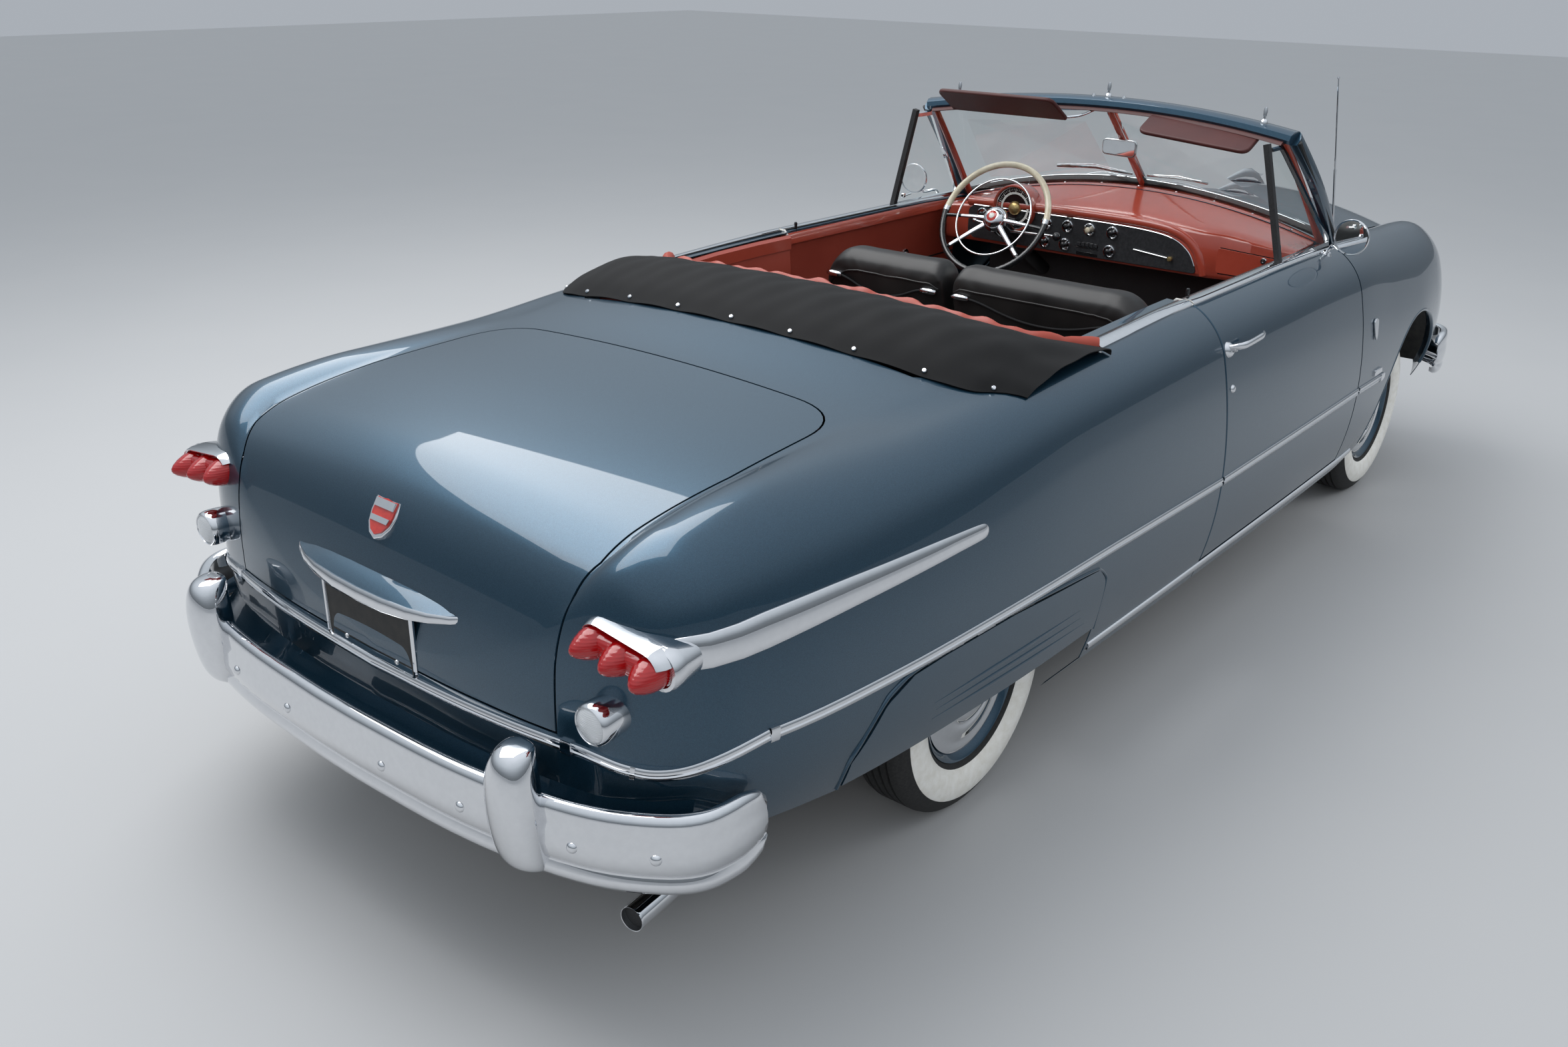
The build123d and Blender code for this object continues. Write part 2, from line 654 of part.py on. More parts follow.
# Fuel tank and exhaust
write(box_between((-2130, -340, 345), (-1560, 340, 519.5)), "fuel_tank")
exhaust_y = -668
with BuildPart() as exhaust:
    with BuildLine() as pipe:
        FilletPolyline((1350, -244.3, 480), (1210, -255, 300), (1000, -300, 170), (-1250, -310, 170),
                       (-1700, -600, 228), (-2262, exhaust_y, 232), radius=60)
    with BuildSketch(Plane(origin=pipe.wires()[0] @ 0, z_dir=pipe.wires()[0] % 0)):
        Circle(24)
    sweep()
    add(box_between((-2110, -655, 334), (-2090, -380, 340)))
    add(box_between((-2110, -655, 245), (-2090, -649, 340)))
write(exhaust.part, "exhaust")

# Windshield: raked frame with two flat panes
header_x, header_z, header_half = 640, 1462, 690
base_x, base_z, base_half = 1007, 1092, 735
header_rise, header_lead = 50, 70
base_rise, base_lead = 107, 55
with BuildPart() as frame:
    for start, end, r in (
        ((base_x, base_half, base_z), (header_x, header_half, header_z), 22),
        ((base_x, -base_half, base_z), (header_x, -header_half, header_z), 22),
        ((base_x + base_lead, 0, base_z + base_rise), (header_x + header_lead, 0, header_z + header_rise), 12),
    ):
        with BuildLine() as edge:
            Line(start, end)
        with BuildSketch(Plane(origin=start, z_dir=edge.line % 0)):
            Circle(r)
        sweep()
        with Locations([start, end]):
            Sphere(r)
    for x, half, z, lead, rise, r in (
        (header_x, header_half, header_z, header_lead, header_rise, 24),
        (base_x, base_half, base_z, base_lead, base_rise, 17),
    ):
        with BuildLine() as bow:
            ThreePointArc((x, half, z), (x + lead, 0, z + rise), (x, -half, z))
        with BuildSketch(Plane(origin=(x, half, z), z_dir=bow.line % 0)):
            Circle(r)
        sweep()
    add(front_outside, mode=Mode.SUBTRACT)
write(frame.part, "windshield_frame")

# Windshield glass: two flat panes between the pillars and the centre strip
with BuildPart() as panes:
    corners_3d = [(base_x - 14, base_half - 34, base_z + 22),
                  (base_x + base_lead - 8, 16, base_z + base_rise + 18),
                  (header_x + header_lead + 12, 16, header_z + header_rise - 26),
                  (header_x + 16, header_half - 34, header_z - 14)]
    glass_plane = Plane(origin=corners_3d[0],
                        x_dir=Vector(*corners_3d[1]) - Vector(*corners_3d[0]),
                        z_dir=(Vector(*corners_3d[1]) - Vector(*corners_3d[0])).cross(
                            Vector(*corners_3d[2]) - Vector(*corners_3d[0])))
    with BuildSketch(glass_plane):
        with BuildLine():
            Polyline(*[tuple(glass_plane.to_local_coords(Vector(*c)))[:2] for c in corners_3d], close=True)
        make_face()
    extrude(amount=6)
    mirror(about=Plane.XZ)
    add(frame.part, mode=Mode.SUBTRACT)
    add(front_outside, mode=Mode.SUBTRACT)
write(panes.part, "windshield_glass")

# Vent windows stand on the doors behind the pillars
vent_outline = [(512, 0), (960, 0), (612, 356), (507, 356)]
vent_bar = 13
vent_plane = Plane(origin=(0, 746, 1094), x_dir=(1, 0, 0), z_dir=(0, -0.970, -0.244))
with BuildPart() as vent:
    with BuildSketch(vent_plane):
        with BuildLine():
            Polyline(*vent_outline, close=True)
        make_face()
    extrude(amount=2.5, both=True)
    with BuildSketch(vent_plane) as ring:
        with BuildLine():
            Polyline(*vent_outline, close=True)
        make_face()
        offset(amount=-vent_bar, kind=Kind.INTERSECTION, mode=Mode.SUBTRACT)
    extrude(amount=8, both=True)
    add(cabin_outside, mode=Mode.SUBTRACT)
write_pair(vent.part, "vent_window")

# Round outside mirrors on a stem from the door top
with BuildPart() as outside_mirror:
    with Locations(Location((812, 862, 1153), (0, 90, 0))):
        Cylinder(58, 22)
    with BuildLine() as stem:
        Line((858, 768, 1060), (812, 855, 1150))
    with BuildSketch(Plane(origin=(858, 768, 1060), z_dir=stem.line % 0)):
        Circle(7)
    sweep()
    add(cabin_outside, mode=Mode.SUBTRACT)
write_pair(outside_mirror.part, "mirror")

# Sun visors under the header and the inside mirror on the centre strip
with BuildPart() as header_fittings:
    for side in (1, -1):
        add(box_between((585, side * 330 - 230, 1466), (645, side * 330 + 230, 1478)))
        add(box_between((640, side * 330 - 8, 1466), (690, side * 330 + 8, 1478)))
    add(box_between((820, -85, 1322), (842, 85, 1380)))
    add(box_between((842, -6, 1345), (884, 6, 1357)))
    add(frame.part, mode=Mode.SUBTRACT)
    add(panes.part, mode=Mode.SUBTRACT)
write(header_fittings.part, "header_fittings")

# Antenna on the right cowl side
antenna_foot = (1078, -714, 1040)
with BuildPart() as antenna:
    with BuildLine() as mast:
        Line(antenna_foot, (1060, -650, 1615))
    with BuildSketch(Plane(origin=antenna_foot, z_dir=mast.line % 0)):
        Circle(4)
    sweep()
    with Locations(antenna_foot):
        Cylinder(16, 48, align=(Align.CENTER, Align.CENTER, Align.MIN))
    add(front_outside, mode=Mode.SUBTRACT)
write(antenna.part, "antenna")


# Boot cover over the folded top, with a tail along the top of each quarter panel
# Sections: y, rear foot (x, z), ridge (x, z), front lip (x, z), underside z
boot_rows = [
    (0, -1251, 1136, -1062, 1190, -880, 1150, 1060),
    (380, -1238, 1112, -1058, 1182, -880, 1142, 1050),
    (640, -1212, 1082, -1040, 1152, -862, 1118, 1042),
    (745, -1206, 1070, -1005, 1112, -720, 1092, 1030),
    (800, -1150, 1050, -950, 1080, -650, 1074, 1020),
]
boot_sections = []
for y, rear_x, rear_z, ridge_x, ridge_z, lip_x, lip_z, under_z in boot_rows:
    with BuildSketch(along(y)) as row:
        with BuildLine():
            Polyline((rear_x, under_z), (rear_x, rear_z), (rear_x + 70, rear_z + 0.62 * (ridge_z - rear_z)),
                     (ridge_x, ridge_z), (lip_x - 60, 0.35 * ridge_z + 0.65 * lip_z), (lip_x, lip_z),
                     (lip_x, under_z), close=True)
        make_face()
    boot_sections.append(row.sketch.face())
with BuildPart() as boot:
    loft(boot_sections, ruled=True)
    mirror(about=Plane.XZ)
    add(rear_outside, mode=Mode.SUBTRACT)
    add(box_between((-1135, -640, 1045), (-885, 640, 1125)))
boot_solid = boot.part.solids().sort_by(SortBy.VOLUME)[-1]
with BuildPart() as boot_cover:
    add(boot_solid)
write(boot_cover.part, "boot_cover")

# Seats
fold_x, fold_z = 118, 650
fold_pin = 9
seat_half = 600
split_y = 96
with BuildPart() as front_seat:
    with BuildSketch(along(-seat_half)) as cushion:
        with BuildLine():
            Polyline((0, 317.3), (480, 317.3), (545, 540), (520, 612), (30, 590), close=True)
        make_face()
        fillet(cushion.vertices().sort_by(Axis.X)[-2:], 26)
    extrude(amount=-2 * seat_half)
    for y in (-seat_half - 5, split_y, seat_half + 5):
        add(box_between((fold_x - 28, y - 5, 560), (fold_x + 28, y + 5, fold_z + 22)))
    with Locations(Location((fold_x, 0, fold_z), (90, 0, 0))):
        Cylinder(fold_pin, 2 * seat_half)
write(front_seat.part, "front_seat")
seat_back_foot = (-20, 605)
seat_back_head = (-110, 1040)
seat_backs = (("left", split_y + 6, seat_half), ("right", -seat_half, split_y - 6))


def behind_seat(z, off):
    """X of a point that stands off the rear face of the seat backs at height z."""
    share = (z - seat_back_foot[1]) / (seat_back_head[1] - seat_back_foot[1])
    return seat_back_foot[0] + share * (seat_back_head[0] - seat_back_foot[0]) - off


for name, y_low, y_high in seat_backs:
    side = 1 if name == "left" else -1
    outer_y, inner_y = (y_high - 60, y_low + 60) if side == 1 else (y_low + 60, y_high - 60)
    with BuildPart() as seat_back:
        with BuildSketch(along(y_low)) as back_side:
            with BuildLine():
                Polyline(seat_back_foot, (130, 655), (30, 1030), (4, 1075), (-64, 1078), seat_back_head,
                         close=True)
            make_face()
            fillet(back_side.vertices().filter_by(lambda v: v.Z > 1000), 36)
        extrude(amount=y_low - y_high)
        with Locations(Location((fold_x, (y_low + y_high) / 2, fold_z), (90, 0, 0))):
            Cylinder(24, y_high - y_low - 0.6)
            Cylinder(fold_pin + 0.05, y_high - y_low, mode=Mode.SUBTRACT)
        for y in (outer_y, inner_y):
            add(box_between((behind_seat(970, 18), y - 12, 958), (behind_seat(970, -10), y + 12, 982)))
    write(seat_back.part, f"seat_back_{name}")

    # The cord behind it hangs from clip to clip
    cord_off = 10
    cord_radius = 4
    span = abs(outer_y - inner_y) - 24
    drops = [(0, 0), (0.07, 0), (0.3, 38), (0.5, 48), (0.7, 38), (0.93, 0), (1, 0)]
    route = [(behind_seat(970 - drop, cord_off), outer_y - side * (12 + share * span), 970 - drop)
             for share, drop in drops]
    with BuildPart() as assist_cord:
        with BuildLine() as cord_line:
            FilletPolyline(*route, radius=30)
        with BuildSketch(Plane(origin=route[0], z_dir=cord_line.wires()[0] % 0)):
            Circle(cord_radius)
        sweep()
    write(assist_cord.part, f"assist_cord_{name}")
with BuildPart() as rear_seat:
    with BuildSketch(along(-590)) as bench_side:
        with BuildLine():
            Polyline((-755, 317.5), (-300, 317.5), (-272, 560), (-290, 592), (-680, 560), (-785, 1010),
                     (-825, 1040), (-900, 1036), (-800, 533), (-755, 533), close=True)
        make_face()
        fillet(bench_side.vertices().filter_by(lambda v: v.Z > 1000 and v.X > -880), 24)
    extrude(amount=-1180)
write(rear_seat.part, "rear_seat")

# Dash, column and wheel
wheel_hub = (666, 380, 1063)
column_tilt = 32
column_radius = 26
dash_front_x = door_front_x - seat_gap
dash_half = 690
# Sections of the dash: x, top at the middle, top at the ends, underside
dash_rows = [(dash_front_x, 1158, 1064, 1000), (900, 1152, 1078, 925), (820, 1130, 1084, 905),
             (792, 1108, 1076, 950)]
panel_x = dash_rows[-1][0]
panel_left, panel_right, panel_low, panel_high = 585, -360, 962, 1088
gauge_y, gauge_z, gauge_radius = 380, 1096, 84
knob_rows = [(1062, (500, 240, 150, 60, -30)), (990, (240, 150, -30))]
with BuildPart() as dash:
    dash_sections = []
    for x, middle, ends, under in dash_rows:
        with BuildSketch(across(x)) as row:
            with BuildLine():
                ThreePointArc((dash_half, ends), (0, middle), (-dash_half, ends))
                Polyline((-dash_half, ends), (-dash_half, under), (dash_half, under), (dash_half, ends))
            make_face()
        dash_sections.append(row.sketch.face())
    loft(dash_sections, ruled=True)
    with BuildSketch(across(panel_x)):
        with Locations(((panel_left + panel_right) / 2, (panel_low + panel_high) / 2)):
            RectangleRounded(panel_left - panel_right, panel_high - panel_low, 40)
    extrude(amount=-5)
    with Locations(Location((panel_x - 24, gauge_y, gauge_z), (0, 90, 0))):
        Cylinder(gauge_radius, 110, align=(Align.CENTER, Align.CENTER, Align.MIN))
        Cylinder(gauge_radius - 10, 14, align=(Align.CENTER, Align.CENTER, Align.MIN), mode=Mode.SUBTRACT)
    for z, places in knob_rows:
        for y in places:
            with Locations(Location((panel_x - 5, y, z), (0, -90, 0))):
                Cylinder(13, 16, align=(Align.CENTER, Align.CENTER, Align.MIN))
    with Locations(Location(wheel_hub, (0, 90 + column_tilt, 0))):
        Cylinder(column_radius + seat_gap, 700, mode=Mode.SUBTRACT)
write(dash.part, "dash")
column_reach = firewall_x - wheel_hub[0] - column_radius * sin(radians(column_tilt)) - seat_gap
with BuildPart() as column:
    with Locations(Location(wheel_hub, (0, 90 + column_tilt, 0))):
        Cylinder(column_radius, column_reach / cos(radians(column_tilt)),
                 align=(Align.CENTER, Align.CENTER, Align.MIN))
        Cylinder(2 * column_radius, seat_gap, align=(Align.CENTER, Align.CENTER, Align.MIN), mode=Mode.SUBTRACT)
write(column.part, "steering_column")

# Steering wheel: round rim, four spokes and a horn ring, in the wheel's own plane, whose y runs down
spoke_turns = (4, 176, 42, 138)
rim_mid, rim_thick, rim_rise = 213, 12, 30
horn_ring_mid, horn_ring_rise = 150, 40
hub_radius, hub_depth = 46, 34
with BuildPart(Plane(origin=wheel_hub, x_dir=(0, 1, 0),
                     z_dir=(-cos(radians(column_tilt)), 0, sin(radians(column_tilt))))) as steering_wheel:
    Cylinder(hub_radius, hub_depth, align=(Align.CENTER, Align.CENTER, Align.MIN))
    with Locations((0, 0, rim_rise)):
        Torus(rim_mid, rim_thick)
    with Locations((0, 0, horn_ring_rise)):
        Torus(horn_ring_mid, 4)
    for turn in spoke_turns:
        with Locations(Location((0, 0, rim_rise - 4), (0, 0, turn))):
            with Locations((rim_mid / 2, 0, 0)):
                Box(rim_mid, 15, 9)
    for turn in spoke_turns:
        with Locations(Location((0, 0, rim_rise - 4), (0, 0, turn))):
            with Locations((horn_ring_mid, 0, 7)):
                Cylinder(3, 16)
write(steering_wheel.part, "steering_wheel")
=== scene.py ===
import math
import bmesh
import bpy
from mathutils import Matrix, Vector
from mathutils.bvhtree import BVHTree


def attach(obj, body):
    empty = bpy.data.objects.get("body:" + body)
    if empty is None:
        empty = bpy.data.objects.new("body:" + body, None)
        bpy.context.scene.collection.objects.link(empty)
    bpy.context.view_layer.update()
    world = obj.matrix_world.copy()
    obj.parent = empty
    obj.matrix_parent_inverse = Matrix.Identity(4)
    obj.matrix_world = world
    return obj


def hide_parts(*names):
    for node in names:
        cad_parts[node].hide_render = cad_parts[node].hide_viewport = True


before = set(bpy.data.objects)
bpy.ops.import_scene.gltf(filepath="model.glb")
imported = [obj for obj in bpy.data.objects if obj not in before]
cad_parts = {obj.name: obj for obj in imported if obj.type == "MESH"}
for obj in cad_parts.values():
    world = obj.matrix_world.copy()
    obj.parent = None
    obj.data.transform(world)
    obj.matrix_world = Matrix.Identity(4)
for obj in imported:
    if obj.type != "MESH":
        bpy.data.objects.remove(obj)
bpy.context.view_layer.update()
print("frame loaded")

# Small helpers that every piece uses


def put(name, bm, look, body, cad=(), bend=40, keepNormals=False):
    # Makes an object of a bmesh, in its place, and ties it to its body of the frame
    if not keepNormals:
        bmesh.ops.recalc_face_normals(bm, faces=bm.faces)
    mesh = bpy.data.meshes.new(name)
    bm.to_mesh(mesh)
    bm.free()
    piece = bpy.data.objects.new(name, mesh)
    bpy.context.scene.collection.objects.link(piece)
    mesh.materials.append(look)
    for face in mesh.polygons:
        face.use_smooth = True
    mesh.set_sharp_from_angle(angle=math.radians(bend))
    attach(piece, body)
    if cad:
        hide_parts(*cad)
    return piece


def refine(piece, kind, **values):
    # One modifier on a piece
    modifier = piece.modifiers.new(kind.lower(), kind)
    for key, value in values.items():
        setattr(modifier, key, value)
    return piece


def rounded(piece, width, segments=2, angle=35):
    return refine(piece, "BEVEL", width=width, segments=segments, limit_method="ANGLE",
                  angle_limit=math.radians(angle), use_clamp_overlap=True)


def subdivided(piece, levels):
    return refine(piece, "SUBSURF", levels=levels, render_levels=levels)


def settled(bm, *steps):
    # Runs modifiers on a bmesh and gives back a new bmesh of the result
    mesh = bpy.data.meshes.new("work")
    bm.to_mesh(mesh)
    bm.free()
    work = bpy.data.objects.new("work", mesh)
    bpy.context.scene.collection.objects.link(work)
    for kind, values in steps:
        modifier = work.modifiers.new(kind.lower(), kind)
        for key, value in values.items():
            setattr(modifier, key, value)
    depsgraph = bpy.context.evaluated_depsgraph_get()
    result = bmesh.new()
    result.from_mesh(work.evaluated_get(depsgraph).to_mesh())
    bpy.data.objects.remove(work)
    bpy.data.meshes.remove(mesh)
    return result


def looseObject(bm, name="cutter"):
    mesh = bpy.data.meshes.new(name)
    bm.to_mesh(mesh)
    bm.free()
    loose = bpy.data.objects.new(name, mesh)
    bpy.context.scene.collection.objects.link(loose)
    return loose


def carved(bm, *cuts):
    # Boolean steps on a bmesh: ("DIFFERENCE" or "INTERSECT", cutter bmesh)
    for operation, cutter in cuts:
        bmesh.ops.recalc_face_normals(cutter, faces=cutter.faces)
        tool = looseObject(cutter)
        bm = settled(bm, ("BOOLEAN", {"operation": operation, "solver": "EXACT", "object": tool}))
        bpy.data.objects.remove(tool)
    bmesh.ops.remove_doubles(bm, verts=bm.verts, dist=0.00005)
    return bm


def block(low, high):
    # A plain box from corner to corner
    bm = bmesh.new()
    bmesh.ops.create_cube(bm, size=1)
    for vert in bm.verts:
        vert.co = Vector([low[i] + (vert.co[i] + 0.5) * (high[i] - low[i]) for i in range(3)])
    return bm


def prism(outline, along, low, high):
    # A flat outline pushed along one axis: along is 0, 1 or 2, and the outline gives the other two in order
    bm = bmesh.new()
    others = [axis for axis in range(3) if axis != along]
    verts = []
    for a, b in outline:
        place = [0, 0, 0]
        place[others[0]], place[others[1]], place[along] = a, b, low
        verts.append(bm.verts.new(place))
    face = bm.faces.new(verts)
    moved = bmesh.ops.extrude_face_region(bm, geom=[face])
    shift = [0, 0, 0]
    shift[along] = high - low
    bmesh.ops.translate(bm, vec=shift, verts=[v for v in moved["geom"] if isinstance(v, bmesh.types.BMVert)])
    bmesh.ops.recalc_face_normals(bm, faces=bm.faces)
    return bm


def drum(centre, axis, radius, depth, segments=48, tip=None):
    # A cylinder or cone about an axis
    bm = bmesh.new()
    bmesh.ops.create_cone(bm, cap_ends=True, segments=segments, radius1=radius,
                          radius2=radius if tip is None else tip, depth=depth)
    turn = Vector((0, 0, 1)).rotation_difference(Vector(axis)).to_matrix().to_4x4()
    bmesh.ops.transform(bm, matrix=Matrix.Translation(centre) @ turn, verts=bm.verts)
    return bm


def turned(profile, centre, axis, segments=64):
    # A profile of (radius, height along the axis) points, spun all the way round
    bm = bmesh.new()
    verts = [bm.verts.new((r, 0, h)) for r, h in profile]
    edges = [bm.edges.new(pair) for pair in zip(verts, verts[1:])]
    bmesh.ops.spin(bm, geom=verts + edges, cent=(0, 0, 0), axis=(0, 0, 1), angle=2 * math.pi,
                   steps=segments, use_merge=True)
    bmesh.ops.remove_doubles(bm, verts=bm.verts, dist=0.00002)
    turn = Vector((0, 0, 1)).rotation_difference(Vector(axis)).to_matrix().to_4x4()
    bmesh.ops.transform(bm, matrix=Matrix.Translation(centre) @ turn, verts=bm.verts)
    bmesh.ops.recalc_face_normals(bm, faces=bm.faces)
    return bm


def joined(*parts):
    # Several bmeshes as one
    whole = bmesh.new()
    for part in parts:
        mesh = bpy.data.meshes.new("work")
        part.to_mesh(mesh)
        part.free()
        whole.from_mesh(mesh)
        bpy.data.meshes.remove(mesh)
    return whole


def bothSides(bm):
    # Adds the mirror image across the centre line
    copied = bmesh.ops.duplicate(bm, geom=bm.verts[:] + bm.edges[:] + bm.faces[:])["geom"]
    verts = [v for v in copied if isinstance(v, bmesh.types.BMVert)]
    bmesh.ops.scale(bm, vec=(1, -1, 1), verts=verts)
    bmesh.ops.reverse_faces(bm, faces=[f for f in copied if isinstance(f, bmesh.types.BMFace)])
    return bm


def otherSide(bm):
    # Turns a left piece into a right one
    bmesh.ops.scale(bm, vec=(1, -1, 1), verts=bm.verts)
    bmesh.ops.reverse_faces(bm, faces=bm.faces)
    return bm


def bar(points, profile, closed=False, normals=None, taper=None):
    # Sweeps a flat profile of (across, up) points along a line; normals gives the up direction at each point
    bm = bmesh.new()
    rings = []
    count = len(points)
    for i, point in enumerate(points):
        before = points[i - 1] if i or closed else points[i]
        after = points[(i + 1) % count] if i < count - 1 or closed else points[i]
        ahead = (Vector(after) - Vector(before)).normalized()
        up = Vector(normals[i]) if normals else Vector((0, 0, 1))
        side = ahead.cross(up).normalized()
        up = side.cross(ahead).normalized()
        size = taper[i] if taper else 1
        rings.append([bm.verts.new(Vector(point) + side * a * size + up * b * size) for a, b in profile])
    pairs = list(zip(rings, rings[1:])) + ([(rings[-1], rings[0])] if closed else [])
    for one, two in pairs:
        for k in range(len(profile)):
            m = (k + 1) % len(profile)
            bm.faces.new((one[k], one[m], two[m], two[k]))
    if not closed:
        bm.faces.new(rings[0])
        bm.faces.new(list(reversed(rings[-1])))
    bmesh.ops.recalc_face_normals(bm, faces=bm.faces)
    return bm


def ringProfile(width, height, sides=8):
    return [(width / 2 * math.cos(2 * math.pi * k / sides), height / 2 * math.sin(2 * math.pi * k / sides))
            for k in range(sides)]


def smoothLine(points, steps):
    # A curve through listed points
    out = []
    for i in range(len(points) - 1):
        p0, p1, p2, p3 = (Vector(points[max(i - 1, 0)]), Vector(points[i]), Vector(points[i + 1]),
                          Vector(points[min(i + 2, len(points) - 1)]))
        for k in range(steps):
            t = k / steps
            out.append(0.5 * (2 * p1 + (p2 - p0) * t + (2 * p0 - 5 * p1 + 4 * p2 - p3) * t ** 2
                              + (3 * p1 - p0 - 3 * p2 + p3) * t ** 3))
    out.append(Vector(points[-1]))
    return out


# Camera, floor and light

view = {"place": (-3.742, -2.260, 2.004), "right": (0.64214, -0.76650, 0.01189),
        "up": (0.29512, 0.26158, 0.91896), "lens": 31.016, "sensor": 36}


def addCamera():
    data = bpy.data.cameras.new("camera")
    data.lens = view["lens"]
    data.sensor_width = view["sensor"]
    data.sensor_fit = "HORIZONTAL"
    camera = bpy.data.objects.new("camera", data)
    bpy.context.scene.collection.objects.link(camera)
    right, up = Vector(view["right"]).normalized(), Vector(view["up"]).normalized()
    back = right.cross(up).normalized()
    up = back.cross(right)
    camera.matrix_world = Matrix.Translation(view["place"]) @ Matrix((right, up, back)).transposed().to_4x4()
    bpy.context.scene.camera = camera


addCamera()

studio = {"floorHalf": 30, "floorGrey": 0.46, "worldStrength": 0.90, "backdrop": (0.40, 0.43, 0.47),
          "sky": [(0.0, (0.17, 0.19, 0.21)), (0.50, (0.17, 0.19, 0.21)), (0.55, (0.24, 0.27, 0.30)),
                  (0.72, (0.62, 0.68, 0.74)), (1.0, (1.00, 1.06, 1.14))],
          "lamps": [((-1.0, 2.5, 5.4), (0.2, 0.0, 0.6), 6.5, 4.2, 300, True),
                    ((-6.0, -4.0, 3.4), (-0.8, 0.0, 0.7), 3.0, 2.2, 60, False),
                    ((4.5, -4.5, 3.6), (0.6, 0.0, 0.7), 3.0, 2.2, 60, False)]}


def floorLook():
    look = bpy.data.materials.new("studioFloor")
    look.use_nodes = True
    nodes, links = look.node_tree.nodes, look.node_tree.links
    shader = nodes["Principled BSDF"]
    noise = nodes.new("ShaderNodeTexNoise")
    noise.inputs["Scale"].default_value = 1.4
    ramp = nodes.new("ShaderNodeValToRGB")
    grey = studio["floorGrey"]
    ramp.color_ramp.elements[0].color = (grey * 0.96, grey * 0.965, grey * 0.97, 1)
    ramp.color_ramp.elements[1].color = (grey, grey, grey, 1)
    place = nodes.new("ShaderNodeTexCoord")
    links.new(place.outputs["Object"], noise.inputs["Vector"])
    links.new(noise.outputs["Fac"], ramp.inputs["Fac"])
    links.new(ramp.outputs["Color"], shader.inputs["Base Color"])
    shader.inputs["Roughness"].default_value = 0.75
    return look


def addStudio():
    bm = bmesh.new()
    bmesh.ops.create_grid(bm, x_segments=8, y_segments=8, size=studio["floorHalf"])
    mesh = bpy.data.meshes.new("studioFloor")
    bm.to_mesh(mesh)
    bm.free()
    floor = bpy.data.objects.new("studioFloor", mesh)
    mesh.materials.append(floorLook())
    bpy.context.scene.collection.objects.link(floor)
    for number, (place, aim, width, depth, power, mirrored) in enumerate(studio["lamps"]):
        data = bpy.data.lights.new(f"lamp{number}", "AREA")
        data.shape = "RECTANGLE"
        data.size, data.size_y, data.energy = width, depth, power
        lamp = bpy.data.objects.new(f"lamp{number}", data)
        lamp.location = place
        lamp.rotation_euler = (Vector(aim) - Vector(place)).to_track_quat("-Z", "Y").to_euler()
        lamp.visible_glossy = mirrored
        bpy.context.scene.collection.objects.link(lamp)
    world = bpy.data.worlds.new("studio")
    world.use_nodes = True
    nodes, links = world.node_tree.nodes, world.node_tree.links
    coords, split, ramp = (nodes.new(kind) for kind in ("ShaderNodeTexCoord", "ShaderNodeSeparateXYZ",
                                                        "ShaderNodeValToRGB"))
    span = nodes.new("ShaderNodeMapRange")
    span.inputs["From Min"].default_value = -1
    for number, (stop, colour) in enumerate(studio["sky"]):
        if number > 1:
            ramp.color_ramp.elements.new(stop)
        ramp.color_ramp.elements[number].position = stop
        ramp.color_ramp.elements[number].color = (*colour, 1)
    links.new(coords.outputs["Generated"], split.inputs["Vector"])
    links.new(split.outputs["Z"], span.inputs["Value"])
    links.new(span.outputs["Result"], ramp.inputs["Fac"])
    links.new(ramp.outputs["Color"], nodes["Background"].inputs["Color"])
    nodes["Background"].inputs["Strength"].default_value = studio["worldStrength"]
    # The camera itself sees a pale even backdrop
    backdrop, rays, mix = (nodes.new(kind) for kind in ("ShaderNodeBackground", "ShaderNodeLightPath",
                                                        "ShaderNodeMixShader"))
    backdrop.inputs["Color"].default_value = (*studio["backdrop"], 1)
    links.new(rays.outputs["Is Camera Ray"], mix.inputs["Fac"])
    links.new(nodes["Background"].outputs["Background"], mix.inputs[1])
    links.new(backdrop.outputs["Background"], mix.inputs[2])
    links.new(mix.outputs["Shader"], nodes["World Output"].inputs["Surface"])
    bpy.context.scene.world = world
    bpy.context.scene.view_settings.view_transform = "Standard"


addStudio()
print("camera and studio set")

# Finishes. Each function makes one real finish with its own fine detail.


def finish(name, colour, rough, **sockets):
    look = bpy.data.materials.new(name)
    look.use_nodes = True
    shader = look.node_tree.nodes["Principled BSDF"]
    shader.inputs["Base Color"].default_value = (*colour, 1)
    shader.inputs["Roughness"].default_value = rough
    for key, value in sockets.items():
        shader.inputs[key.replace("_", " ")].default_value = value
    look.diffuse_color = (*colour, 1)
    return look


def addNode(look, kind, **values):
    node = look.node_tree.nodes.new(kind)
    for key, value in values.items():
        if key in node.inputs:
            node.inputs[key].default_value = value
        else:
            setattr(node, key, value)
    return node


def placeOn(look, node, stretch=(1, 1, 1)):
    # Object coordinates, stretched, into a texture node
    coords = addNode(look, "ShaderNodeTexCoord")
    mapping = addNode(look, "ShaderNodeMapping")
    mapping.inputs["Scale"].default_value = stretch
    look.node_tree.links.new(coords.outputs["Object"], mapping.inputs["Vector"])
    look.node_tree.links.new(mapping.outputs["Vector"], node.inputs["Vector"])


def tint(look, node, output, colours, stops=None):
    # Colours a surface by a texture
    ramp = addNode(look, "ShaderNodeValToRGB")
    while len(ramp.color_ramp.elements) < len(colours):
        ramp.color_ramp.elements.new(0.5)
    for i, colour in enumerate(colours):
        ramp.color_ramp.elements[i].position = stops[i] if stops else i / (len(colours) - 1)
        ramp.color_ramp.elements[i].color = (*colour, 1)
    links = look.node_tree.links
    links.new(node.outputs[output], ramp.inputs["Fac"])
    links.new(ramp.outputs["Color"], look.node_tree.nodes["Principled BSDF"].inputs["Base Color"])


